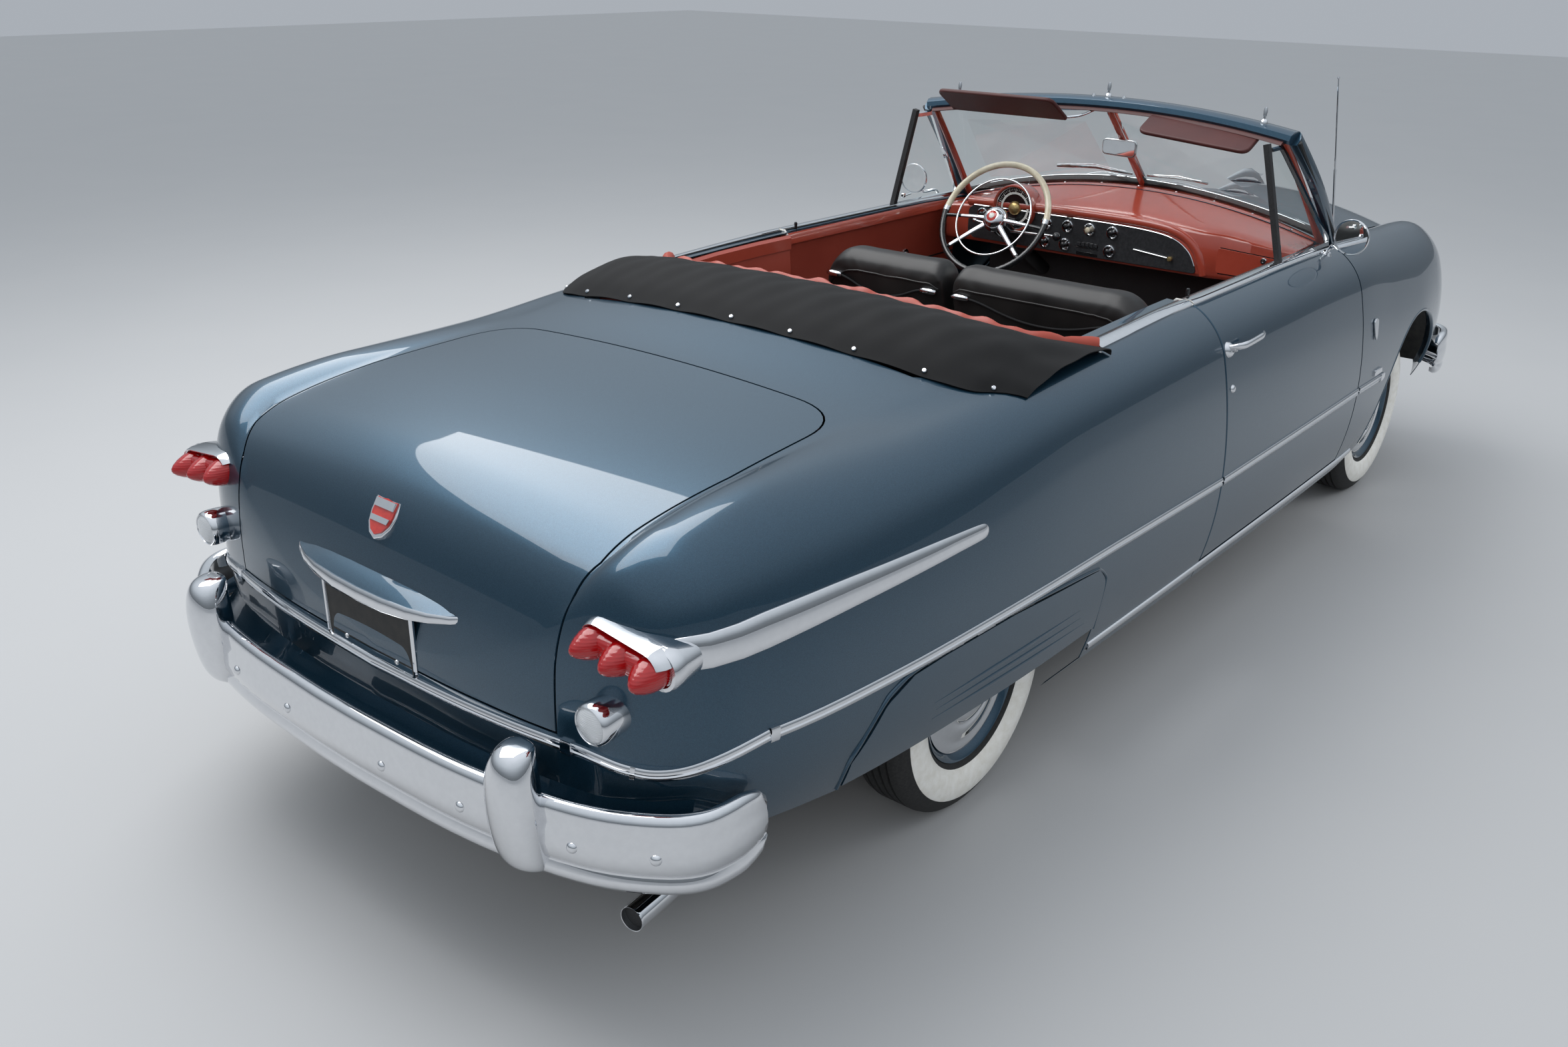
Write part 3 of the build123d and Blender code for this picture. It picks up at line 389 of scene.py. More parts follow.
def roughen(look, node, output, low, high):
    # Roughness that follows a texture
    span = addNode(look, "ShaderNodeMapRange")
    span.inputs["To Min"].default_value = low
    span.inputs["To Max"].default_value = high
    links = look.node_tree.links
    links.new(node.outputs[output], span.inputs["Value"])
    links.new(span.outputs["Result"], look.node_tree.nodes["Principled BSDF"].inputs["Roughness"])


def emboss(look, node, output, strength, depth=0.001):
    bump = addNode(look, "ShaderNodeBump")
    bump.inputs["Strength"].default_value = strength
    bump.inputs["Distance"].default_value = depth
    links = look.node_tree.links
    links.new(node.outputs[output], bump.inputs["Height"])
    links.new(bump.outputs["Normal"], look.node_tree.nodes["Principled BSDF"].inputs["Normal"])
    return bump


def speckled(name, colours, rough, scale, strength=0.1, depth=0.0005, detail=4, stretch=(1, 1, 1), **sockets):
    # The common case: a fine noise that shifts colour, roughness and height a little
    look = finish(name, colours[0], rough[0], **sockets)
    noise = addNode(look, "ShaderNodeTexNoise", Scale=scale, Detail=detail, Roughness=0.6)
    placeOn(look, noise, stretch)
    tint(look, noise, "Fac", colours, [0.35, 0.65] if len(colours) == 2 else None)
    roughen(look, noise, "Fac", rough[0], rough[1])
    emboss(look, noise, "Fac", strength, depth)
    return look


def paintLook(name, deep, light, metallic=0.75):
    # Metallic paint under clear lacquer: flakes in the colour, a faint ripple in the height
    look = finish(name, deep, 0.34, Metallic=metallic, Coat_Weight=1.0, Coat_Roughness=0.025)
    flakes = addNode(look, "ShaderNodeTexVoronoi", Scale=1400)
    placeOn(look, flakes)
    tint(look, flakes, "Distance", [light, deep], [0.0, 0.55])
    ripple = addNode(look, "ShaderNodeTexNoise", Scale=14, Detail=2)
    placeOn(look, ripple)
    emboss(look, ripple, "Fac", 0.012, 0.002)
    return look


def vinylLook(name, colours, rough, grain=420, strength=0.25):
    # Coated cloth with a pebble grain and worn, slightly duller patches
    look = finish(name, colours[0], rough[0], Specular_IOR_Level=0.45)
    patches = addNode(look, "ShaderNodeTexNoise", Scale=5, Detail=3)
    placeOn(look, patches)
    tint(look, patches, "Fac", colours, [0.35, 0.7])
    roughen(look, patches, "Fac", rough[0], rough[1])
    pebbles = addNode(look, "ShaderNodeTexVoronoi", Scale=grain)
    placeOn(look, pebbles)
    emboss(look, pebbles, "Distance", strength, 0.0004)
    return look


def clothLook(name, colours, rough, weave=520):
    # Woven cloth: two crossed bands of thread
    look = finish(name, colours[0], rough[0], Sheen_Weight=0.02, Sheen_Roughness=0.5, Specular_IOR_Level=0.2)
    threads = addNode(look, "ShaderNodeTexWave", Scale=weave, Distortion=0.6, Detail=1, wave_type="BANDS",
                      bands_direction="DIAGONAL")
    placeOn(look, threads)
    patches = addNode(look, "ShaderNodeTexNoise", Scale=9, Detail=4)
    placeOn(look, patches)
    tint(look, patches, "Fac", colours, [0.3, 0.7])
    roughen(look, patches, "Fac", rough[0], rough[1])
    emboss(look, threads, "Fac", 0.2, 0.0004)
    return look


def lensLook(name, colour, scale, stretch):
    # Moulded lens with fine ribs, lit through from behind by its own colour
    look = finish(name, colour, 0.06, Transmission_Weight=0.35, IOR=1.49, Coat_Weight=0.6, Coat_Roughness=0.02)
    ribs = addNode(look, "ShaderNodeTexWave", Scale=scale, Distortion=0.0, wave_type="BANDS", bands_direction="Z")
    placeOn(look, ribs, stretch)
    emboss(look, ribs, "Fac", 0.35, 0.001)
    return look


looks = {
    "paint": paintLook("bodyPaint", (0.010, 0.044, 0.078), (0.055, 0.135, 0.205)),
    "chrome": speckled("brightChrome", [(0.74, 0.75, 0.77), (0.77, 0.78, 0.80)], (0.025, 0.045), 60,
                       strength=0.001, Metallic=1.0),
    "dullChrome": speckled("frameChrome", [(0.55, 0.56, 0.57), (0.70, 0.71, 0.72)], (0.12, 0.26), 90,
                           strength=0.02, Metallic=1.0),
    "rubber": speckled("blackRubber", [(0.012, 0.012, 0.013), (0.026, 0.026, 0.027)], (0.55, 0.75), 220,
                       strength=0.2),
    "tread": speckled("tyreRubber", [(0.014, 0.014, 0.014), (0.030, 0.029, 0.028)], (0.7, 0.9), 160, strength=0.3),
    "whiteWall": speckled("whiteWall", [(0.80, 0.77, 0.70), (0.90, 0.88, 0.83)], (0.4, 0.55), 40, strength=0.05),
    "redPaint": speckled("dashPaint", [(0.400, 0.062, 0.036), (0.415, 0.066, 0.039)], (0.17, 0.21), 30,
                         strength=0.002, Coat_Weight=0.8, Coat_Roughness=0.05),
    "redVinyl": vinylLook("redVinyl", [(0.330, 0.050, 0.030), (0.365, 0.060, 0.036)], (0.38, 0.48), strength=0.1),
    "blackVinyl": vinylLook("blackVinyl", [(0.010, 0.0095, 0.0095), (0.022, 0.020, 0.019)], (0.36, 0.52),
                            grain=330),
    "bootCloth": clothLook("bootCloth", [(0.0045, 0.0045, 0.005), (0.0095, 0.0095, 0.010)], (0.66, 0.86)),
    "carpet": speckled("darkCarpet", [(0.012, 0.012, 0.014), (0.040, 0.036, 0.036)], (0.9, 1.0), 700,
                       strength=0.9, depth=0.003, Sheen_Weight=0.4),
    "charcoal": speckled("gaugePanel", [(0.020, 0.021, 0.023), (0.034, 0.035, 0.038)], (0.32, 0.45), 120,
                         strength=0.06),
    "ivory": speckled("ivoryPlastic", [(0.66, 0.57, 0.40), (0.76, 0.69, 0.53)], (0.18, 0.30), 26, strength=0.02,
                      Coat_Weight=0.4),
    "blackGloss": speckled("blackGloss", [(0.006, 0.006, 0.007), (0.014, 0.014, 0.015)], (0.10, 0.18), 40,
                           strength=0.01, Coat_Weight=0.5),
    "redLens": lensLook("redLens", (0.52, 0.006, 0.008), 60, (1, 1, 1)),
    "clearLens": lensLook("clearLens", (0.82, 0.84, 0.86), 90, (1, 1, 1)),
    "mirror": speckled("mirrorFace", [(0.86, 0.87, 0.88), (0.90, 0.91, 0.92)], (0.01, 0.03), 40, strength=0.0,
                       Metallic=1.0),
    "glass": speckled("windowGlass", [(0.92, 0.955, 0.945), (0.95, 0.975, 0.965)], (0.0, 0.012), 3, strength=0.0,
                      Transmission_Weight=1.0, IOR=1.12),
    "frameBlack": speckled("frameBlack", [(0.012, 0.012, 0.012), (0.035, 0.033, 0.030)], (0.5, 0.75), 30,
                           strength=0.15),
    "iron": speckled("blockIron", [(0.030, 0.055, 0.075), (0.055, 0.085, 0.105)], (0.5, 0.7), 50, strength=0.25),
    "steel": speckled("pipeSteel", [(0.16, 0.13, 0.11), (0.34, 0.32, 0.30)], (0.35, 0.6), 35, strength=0.15,
                      Metallic=0.8),
    "gold": speckled("dialGold", [(0.60, 0.42, 0.16), (0.74, 0.56, 0.26)], (0.25, 0.4), 80, strength=0.03,
                     Metallic=0.9),
    "whitePaint": speckled("dialWhite", [(0.72, 0.71, 0.66), (0.82, 0.81, 0.77)], (0.35, 0.5), 60, strength=0.02),
    "redEnamel": speckled("redEnamel", [(0.42, 0.02, 0.015), (0.52, 0.035, 0.02)], (0.12, 0.2), 60,
                          strength=0.02, Coat_Weight=0.8),
    "cord": clothLook("assistCord", [(0.010, 0.010, 0.011), (0.020, 0.020, 0.021)], (0.55, 0.75), weave=900),
    "visorVinyl": vinylLook("visorVinyl", [(0.055, 0.012, 0.011), (0.085, 0.020, 0.017)], (0.45, 0.6)),
}
print("finishes made")

# The painted body: one smooth surface through a few cross-sections, cut into its panels
# Sections: x, centre height, panel edge (y, z), crest (y, z), shoulder (y, z), widest (y, z), sill (y, z)

sections = [
    (-2.370, 0.665, 0.000, 0.664, 0.000, 0.655, 0.000, 0.640, 0.000, 0.600, 0.000, 0.490),
    (-2.366, 0.695, 0.160, 0.688, 0.180, 0.680, 0.197, 0.655, 0.205, 0.605, 0.195, 0.495),
    (-2.356, 0.745, 0.300, 0.727, 0.345, 0.712, 0.378, 0.672, 0.390, 0.610, 0.370, 0.500),
    (-2.318, 0.880, 0.520, 0.850, 0.575, 0.842, 0.635, 0.775, 0.650, 0.655, 0.610, 0.480),
    (-2.262, 0.978, 0.585, 0.951, 0.680, 0.962, 0.748, 0.862, 0.765, 0.660, 0.715, 0.465),
    (-2.150, 1.030, 0.598, 1.003, 0.705, 1.024, 0.818, 0.905, 0.848, 0.655, 0.795, 0.430),
    (-1.900, 1.058, 0.600, 1.036, 0.708, 1.045, 0.845, 0.912, 0.890, 0.640, 0.835, 0.395),
    (-1.500, 1.082, 0.600, 1.055, 0.708, 1.046, 0.860, 0.925, 0.912, 0.620, 0.862, 0.350),
    (-1.050, 1.135, 0.660, 1.082, 0.750, 1.066, 0.873, 0.948, 0.921, 0.610, 0.870, 0.300),
    (-0.600, 1.134, 0.695, 1.092, 0.780, 1.074, 0.877, 0.956, 0.922, 0.605, 0.871, 0.291),
    (-0.170, 1.130, 0.715, 1.098, 0.795, 1.078, 0.878, 0.960, 0.922, 0.602, 0.872, 0.288),
    (0.400, 1.130, 0.715, 1.098, 0.795, 1.078, 0.879, 0.960, 0.923, 0.600, 0.873, 0.288),
    (0.972, 1.192, 0.702, 1.087, 0.786, 1.068, 0.876, 0.945, 0.921, 0.600, 0.870, 0.290),
    (1.350, 1.165, 0.660, 1.056, 0.752, 1.048, 0.868, 0.910, 0.916, 0.605, 0.862, 0.320),
    (1.679, 1.135, 0.632, 1.020, 0.740, 1.026, 0.856, 0.885, 0.906, 0.615, 0.850, 0.350),
    (2.000, 1.095, 0.607, 0.986, 0.728, 1.004, 0.832, 0.868, 0.872, 0.630, 0.815, 0.380),
    (2.200, 1.045, 0.590, 0.940, 0.705, 0.966, 0.796, 0.850, 0.832, 0.640, 0.775, 0.400),
    (2.310, 0.985, 0.565, 0.888, 0.670, 0.902, 0.750, 0.815, 0.785, 0.650, 0.730, 0.420),
    (2.355, 0.925, 0.530, 0.842, 0.610, 0.831, 0.690, 0.762, 0.725, 0.655, 0.670, 0.440),
    (2.385, 0.860, 0.440, 0.800, 0.500, 0.780, 0.560, 0.728, 0.590, 0.655, 0.540, 0.455),
    (2.398, 0.800, 0.260, 0.770, 0.300, 0.755, 0.335, 0.715, 0.350, 0.655, 0.325, 0.465),
    (2.403, 0.760, 0.000, 0.752, 0.000, 0.742, 0.000, 0.715, 0.000, 0.655, 0.000, 0.470),
]


def stationPlaces():
    # Distance run along the body from the tail, by which the sections are spaced
    places = [0.0]
    for a, b in zip(sections, sections[1:]):
        places.append(places[-1] + math.dist((a[0], a[1] / 2, a[8]), (b[0], b[1] / 2, b[8])))
    return places


stations = stationPlaces()


def fairSlopes():
    # Slopes of each column that never overshoot
    steep = [[(q - p) / (t1 - t0) for p, q in zip(a, b)]
             for a, b, t0, t1 in zip(sections, sections[1:], stations, stations[1:])]
    slopes = [steep[0]]
    for before, after in zip(steep, steep[1:]):
        slopes.append([2 * p * q / (p + q) if p * q > 0 else 0 for p, q in zip(before, after)])
    return slopes + [steep[-1]]


slopes = fairSlopes()


def sectionAt(place):
    # The section at a distance run along the body
    i = min(max(sum(1 for s in stations if s <= place) - 1, 0), len(stations) - 2)
    span = stations[i + 1] - stations[i]
    t = min(max((place - stations[i]) / span, 0), 1)
    rise = t * t * (3 - 2 * t)
    return [a + rise * (b - a) + span * t * (1 - t) * ((1 - t) * m - t * n)
            for a, b, m, n in zip(sections[i], sections[i + 1], slopes[i], slopes[i + 1])]


def placeAt(x):
    # The distance run at which the body reaches x
    low, high = 0.0, stations[-1]
    for step in range(40):
        middle = (low + high) / 2
        low, high = (middle, high) if sectionAt(middle)[0] < x else (low, middle)
    return (low + high) / 2


def arcPoint(start, end, tangent, share):
    # A point on the arc that leaves start along the tangent and reaches end, and the direction there
    dx, dy = end[0] - start[0], end[1] - start[1]
    chord = math.hypot(dx, dy)
    if chord < 1e-6:
        return start, tangent
    turn = math.atan2(tangent[0] * dy - tangent[1] * dx, tangent[0] * dx + tangent[1] * dy)
    if abs(turn) < 1e-4:
        return (start[0] + dx * share, start[1] + dy * share), (dx / chord, dy / chord)
    radius = chord / (2 * math.sin(turn))
    swept = 2 * turn * share
    ahead, aside = radius * math.sin(swept), radius * (1 - math.cos(swept))
    point = (start[0] + tangent[0] * ahead - tangent[1] * aside, start[1] + tangent[1] * ahead + tangent[0] * aside)
    c, s = math.cos(swept), math.sin(swept)
    return point, (tangent[0] * c - tangent[1] * s, tangent[0] * s + tangent[1] * c)


arcSteps = {"roof": 22, "catwalk": 7, "haunch": 12, "side": 16, "under": 14}


def halfRing(row):
    # Points of one half section from the centre line down to the sill
    x, centre, edgeY, edgeZ, crestY, crestZ, sideY, sideZ, wideY, wideZ, sillY, sillZ = row
    top, edge, crest = (0, centre), (edgeY, edgeZ), (crestY, crestZ)
    shoulder, widest, sill = (sideY, sideZ), (wideY, wideZ), (sillY, sillZ)
    if wideY < 0.001:
        knots = [top, edge, crest, shoulder, widest, sill]
        points = []
        for count, a, b in zip(arcSteps.values(), knots, knots[1:]):
            points += [(a[0] + (b[0] - a[0]) * k / count, a[1] + (b[1] - a[1]) * k / count) for k in range(count)]
        return points + [sill]
    bend = arcPoint(widest, shoulder, (0, 1), 1)[1]
    over = arcPoint(shoulder, crest, bend, 1)[1]
    roof = [arcPoint(top, edge, (1, 0), k / arcSteps["roof"])[0] for k in range(arcSteps["roof"])]
    catwalk = [arcPoint(crest, edge, over, k / arcSteps["catwalk"])[0] for k in range(arcSteps["catwalk"], 0, -1)]
    haunch = [arcPoint(shoulder, crest, bend, k / arcSteps["haunch"])[0] for k in range(arcSteps["haunch"], 0, -1)]
    side = [arcPoint(widest, shoulder, (0, 1), k / arcSteps["side"])[0] for k in range(arcSteps["side"], 0, -1)]
    under = [arcPoint(widest, sill, (0, -1), k / arcSteps["under"])[0] for k in range(arcSteps["under"] + 1)]
    return roof + catwalk + haunch + side + under


def shellBetween(rearX, frontX, wall, step=0.02):
    # The body's skin between two places, right across the car, as a wall that goes inwards
    low = 0.0 if rearX is None else placeAt(rearX)
    high = stations[-1] if frontX is None else placeAt(frontX)
    rows = max(2, round((high - low) / step))
    ring = len(halfRing(sections[5]))
    bm = bmesh.new()
    bmesh.ops.create_grid(bm, x_segments=rows, y_segments=2 * ring - 2, size=0.5)
    columns = {}
    for vert in bm.verts:
        i, j = round((vert.co.x + 0.5) * rows), round((vert.co.y + 0.5) * (2 * ring - 2))
        if i not in columns:
            row = sectionAt(low + (high - low) * i / rows)
            columns[i] = (row[0], halfRing(row))
        x, points = columns[i]
        y, z = points[abs(j - ring + 1)]
        vert.co = Vector((x, y if j >= ring - 1 else -y, z))
    bmesh.ops.remove_doubles(bm, verts=bm.verts, dist=0.0001)
    bmesh.ops.recalc_face_normals(bm, faces=bm.faces)
    upper = max(bm.faces, key=lambda face: face.calc_center_median().z)
    if upper.normal.z < 0:
        bmesh.ops.reverse_faces(bm, faces=bm.faces)
    return settled(bm, ("SOLIDIFY", {"thickness": wall, "offset": -1, "use_even_offset": True}))


def sidePoint(x, z, off=0.0):
    # A point on the left side of the body at a place and height, and the outward direction there
    row = sectionAt(placeAt(x))
    points = halfRing(row)[arcSteps["roof"]:]
    for (y0, z0), (y1, z1) in zip(points, points[1:]):
        if z1 <= z <= z0:
            t = (z0 - z) / max(z0 - z1, 1e-9)
            out = Vector((0, z0 - z1, y1 - y0)).normalized()
            return Vector((x, y0 + (y1 - y0) * t, z)) + out * off, out
    return Vector((x, points[-1][0], z)), Vector((0, 1, 0))


def topPoint(x, y, off=0.0):
    # A point on top of the body, left side, and the outward direction there
    points = halfRing(sectionAt(placeAt(x)))
    for (y0, z0), (y1, z1) in zip(points, points[1:]):
        if y0 <= y <= y1:
            t = (y - y0) / max(y1 - y0, 1e-9)
            out = Vector((0, z0 - z1, y1 - y0)).normalized()
            return Vector((x, y, z0 + (z1 - z0) * t)) + out * off, out
    return Vector((x, y, points[-1][1])), Vector((0, 0, 1))


# Outlines of what opens, in plan or from the side, as in the CAD part
gaps = {"shut": 0.005, "sheet": 0.003}
hoodLine = [(1.092, 0.650), (1.350, 0.648), (1.679, 0.620), (2.000, 0.595), (2.200, 0.578), (2.310, 0.553),
            (2.450, 0.470)]
lidLine = [(-1.500, 0.570), (-1.900, 0.590), (-2.240, 0.582), (-2.330, 0.545), (-2.500, 0.535)]
skirtLine = [(-1.845, 0.300), (-1.845, 0.466), (-1.766, 0.580), (-1.680, 0.618), (-1.568, 0.622), (-1.306, 0.617),
             (-0.898, 0.588), (-0.853, 0.545), (-0.853, 0.300)]
cabinLine = [(0.0, 0.690), (-1.060, 0.690), (-1.150, 0.660), (-1.230, 0.560)]


def mirrored(line):
    return line + [(x, -y) for x, y in reversed(line)]


def grown(outline, gap):
    # A closed outline moved outwards by a gap
    area = sum(a[0] * b[1] - b[0] * a[1] for a, b in zip(outline, outline[1:] + outline[:1]))
    turn = gap if area > 0 else -gap
    out = []
    for before, point, after in zip(outline[-1:] + outline[:-1], outline, outline[1:] + outline[:1]):
        one = Vector((point[1] - before[1], before[0] - point[0])).normalized()
        two = Vector((after[1] - point[1], point[0] - after[0])).normalized()
        shift = (one + two) / max(1 + one.dot(two), 0.2) * turn
        out.append((point[0] + shift.x, point[1] + shift.y))
    return out


def roundedCorners(outline, radii, steps=6):
    # Rounds chosen corners of an outline: radii is {index: radius}
    out = []
    for i, point in enumerate(outline):
        if i not in radii:
            out.append(point)
            continue
        here = Vector(point)
        one, two = Vector(outline[i - 1]) - here, Vector(outline[(i + 1) % len(outline)]) - here
        half = one.angle(two) / 2
        reach = min(radii[i] / math.tan(half), one.length * 0.9, two.length * 0.9)
        start, end = here + one.normalized() * reach, here + two.normalized() * reach
        for k in range(steps + 1):
            t = k / steps
            out.append(tuple((1 - t) ** 2 * start + 2 * t * (1 - t) * here + t * t * end))
    return out


hoodPlan = roundedCorners(mirrored(hoodLine), {0: 0.05, len(hoodLine) * 2 - 1: 0.05})
lidPlan = roundedCorners(mirrored(lidLine), {0: 0.15, len(lidLine) * 2 - 1: 0.15}, steps=10)


def archCut(y0, y1, radius):
    # The front wheel opening: a half circle with straight sides down
    x, z = 1.679, 0.345
    outline = [(x + radius * math.cos(math.pi * k / 40), z + radius * math.sin(math.pi * k / 40)) for k in range(41)]
    return prism([(x + radius, 0.1)] + outline + [(x - radius, 0.1)], 1, y0, y1)


bodyFront = {"wall": 0.003, "grilleHalf": 0.556, "grilleLow": 0.445, "grilleTop": 0.795}


def makeBodyFront():
    bm = shellBetween(0.972, None, bodyFront["wall"])
    bm = carved(bm, ("DIFFERENCE", prism(grown(hoodPlan, gaps["shut"]), 2, 0.795, 2)),
                ("DIFFERENCE", block((2.330, -bodyFront["grilleHalf"], bodyFront["grilleLow"]),
                                     (2.6, bodyFront["grilleHalf"], bodyFront["grilleTop"]))),
                ("DIFFERENCE", archCut(0.45, 1.1, 0.410)), ("DIFFERENCE", archCut(-1.1, -0.45, 0.410)))
    put("bodyFront", bm, looks["paint"], "body",
        ["front_fender_left", "front_fender_right", "cowl"])


def makeHood():
    bm = shellBetween(0.980, None, gaps["sheet"])
    bm = carved(bm, ("INTERSECT", prism(hoodPlan, 2, 0.800, 2)))
    put("hoodPanel", bm, looks["paint"], "hood", ["hood"])


def makeBodyRear():
    bm = shellBetween(None, -0.1725, gaps["sheet"])
    skirtOpening = roundedCorners([(x, z) for x, z in skirtLine], {2: 0.05, 7: 0.05})
    bm = carved(bm, ("DIFFERENCE", prism(grown(lidPlan, gaps["shut"]), 2, 0.635, 2)),
                ("DIFFERENCE", prism(mirrored(cabinLine), 2, 0.9, 2)),
                ("DIFFERENCE", prism(skirtOpening, 1, 0.5, 1.1)), ("DIFFERENCE", prism(skirtOpening, 1, -1.1, -0.5)))
    put("bodyRear", bm, looks["paint"], "body",
        ["quarter_panel_left", "quarter_panel_right", "deck_panel", "rear_panel"])


def makeLid():
    bm = shellBetween(None, -1.4, gaps["sheet"])
    bm = carved(bm, ("INTERSECT", prism(lidPlan, 2, 0.640, 2)))
    put("trunkLidPanel", bm, looks["paint"], "trunk_lid", ["trunk_lid"])


def makeSkirts():
    bm = shellBetween(-1.95, -0.7, 0.004)
    outline = [(x, max(z, 0.4)) for x, z in grown(skirtLine, -0.003)]
    outline = roundedCorners(outline, {2: 0.05, 7: 0.05})
    bm = carved(bm, ("INTERSECT", joined(prism(outline, 1, 0.5, 1.1), prism(outline, 1, -1.1, -0.5))))
    for vert in bm.verts:
        vert.co.y += 0.004 if vert.co.y > 0 else -0.004
    put("fenderSkirts", bm, looks["paint"], "body", ["fender_skirts"])


doorShape = {"rear": -0.165, "front": 0.967, "low": 0.348, "ledge": 0.735, "innerLow": 0.790,
             "step": 0.03}


def makeDoors():
    for side in ("left", "right"):
        rows = round((doorShape["front"] - doorShape["rear"]) / doorShape["step"])
        bm = bmesh.new()
        rings = []
        for i in range(rows + 1):
            x = doorShape["rear"] + (doorShape["front"] - doorShape["rear"]) * i / rows
            outer = [(y, z) for y, z in halfRing(sectionAt(placeAt(x)))[arcSteps["roof"]:] if z > doorShape["low"]]
            outer.append((sidePoint(x, doorShape["low"])[0].y, doorShape["low"]))
            inner = [(doorShape["innerLow"], doorShape["low"]), (doorShape["innerLow"], 0.40), (0.772, 0.6),
                     (0.745, 0.98), (doorShape["ledge"] - 0.008, 1.05)]
            rings.append([bm.verts.new((x, y, z)) for y, z in outer + inner])
        for one, two in zip(rings, rings[1:]):
            for k in range(len(one)):
                m = (k + 1) % len(one)
                bm.faces.new((one[k], one[m], two[m], two[k]))
        bm.faces.new(rings[0])
        bm.faces.new(list(reversed(rings[-1])))
        if side == "right":
            otherSide(bm)
        door = put(f"{side}Door", bm, looks["paint"], f"door_{side}", [f"door_{side}"])
        rounded(door, 0.003, 2, 50)


makeBodyFront()
makeHood()
makeBodyRear()
makeLid()
makeSkirts()
makeDoors()
print("body panels made")

# Wheels and tyres

wheelPlaces = {"front_left": (1.679, 0.711), "front_right": (1.679, -0.711), "rear_left": (-1.217, 0.711),
               "rear_right": (-1.217, -0.711)}
tyreShape = {"treadGrooves": (-0.036, -0.012, 0.012, 0.036), "axleHeight": 0.330,
             "carcass": [(0.190, -0.055), (0.200, -0.063), (0.225, -0.080), (0.255, -0.086), (0.285, -0.081),
                         (0.305, -0.071), (0.318, -0.062), (0.3255, -0.054)],
             "outerShoulder": [(0.3255, 0.054), (0.318, 0.062), (0.305, 0.071), (0.288, 0.080)],
             "whiteBand": [(0.288, 0.080), (0.284, 0.0825), (0.255, 0.086), (0.232, 0.0845), (0.214, 0.078),
                           (0.208, 0.0725)],
             "bead": [(0.208, 0.0725), (0.200, 0.068), (0.190, 0.055)]}


def makeTyre(name, x, y):
    # Bias-ply section: rounded shoulders, straight grooves, a white band outside
    out = 1 if y > 0 else -1
    black = list(tyreShape["carcass"])
    for groove in tyreShape["treadGrooves"]:
        black += [(0.3285, groove - 0.004), (0.322, groove - 0.003), (0.322, groove + 0.003),
                  (0.3285, groove + 0.004)]
    black += tyreShape["outerShoulder"]
    bm = turned(black, (x, y, tyreShape["axleHeight"]), (0, out, 0), 72)
    put(f"tyre_{name}_black", bm, looks["tread"], f"wheel_{name}", [f"tyre_{name}"], bend=50)
    white = tyreShape["whiteBand"]
    put(f"tyre_{name}_white", turned(white, (x, y, 0.330), (0, out, 0), 72), looks["whiteWall"], f"wheel_{name}")
    inner = tyreShape["bead"]
    put(f"tyre_{name}_bead", turned(inner, (x, y, 0.330), (0, out, 0), 72), looks["tread"], f"wheel_{name}")


wheelSection = {"rim": [(0.150, -0.030), (0.168, -0.055), (0.178, -0.058), (0.190, -0.062), (0.1915, -0.056),
                        (0.176, -0.040), (0.172, 0.020), (0.178, 0.048), (0.190, 0.058), (0.1955, 0.063),
                        (0.194, 0.0655), (0.186, 0.062), (0.178, 0.052), (0.170, 0.046)],
                "disc": [(0.172, 0.020), (0.120, 0.030), (0.060, 0.026), (0.0, 0.026)],
                "cover": [(0.171, 0.047), (0.174, 0.050), (0.1735, 0.053), (0.168, 0.0545), (0.158, 0.055),
                          (0.150, 0.052), (0.140, 0.053), (0.126, 0.057), (0.112, 0.060), (0.104, 0.060),
                          (0.098, 0.057), (0.092, 0.0575), (0.088, 0.062), (0.082, 0.067), (0.066, 0.071),
                          (0.044, 0.0735), (0.036, 0.0735), (0.033, 0.0755), (0.022, 0.0785), (0.0, 0.0800)]}


def makeWheel(name, x, y):
    # Painted rim with a bright cover: stepped, domed in the middle, with fine ribs round it
    out = 1 if y > 0 else -1
    rim = wheelSection["rim"]
    put(f"wheel_{name}_rim", turned(rim, (x, y, 0.330), (0, out, 0), 72), looks["paint"], f"wheel_{name}",
        [f"wheel_{name}"])
    disc = wheelSection["disc"]
    put(f"wheel_{name}_disc", turned(disc, (x, y, 0.330), (0, out, 0), 48), looks["frameBlack"], f"wheel_{name}")
    cover = wheelSection["cover"]
    put(f"wheel_{name}_cover", turned(cover, (x, y, 0.330), (0, out, 0), 96), looks["chrome"], f"wheel_{name}",
        bend=60)


for name, (x, y) in wheelPlaces.items():
    makeTyre(name, x, y)
    makeWheel(name, x, y)
print("wheels made")


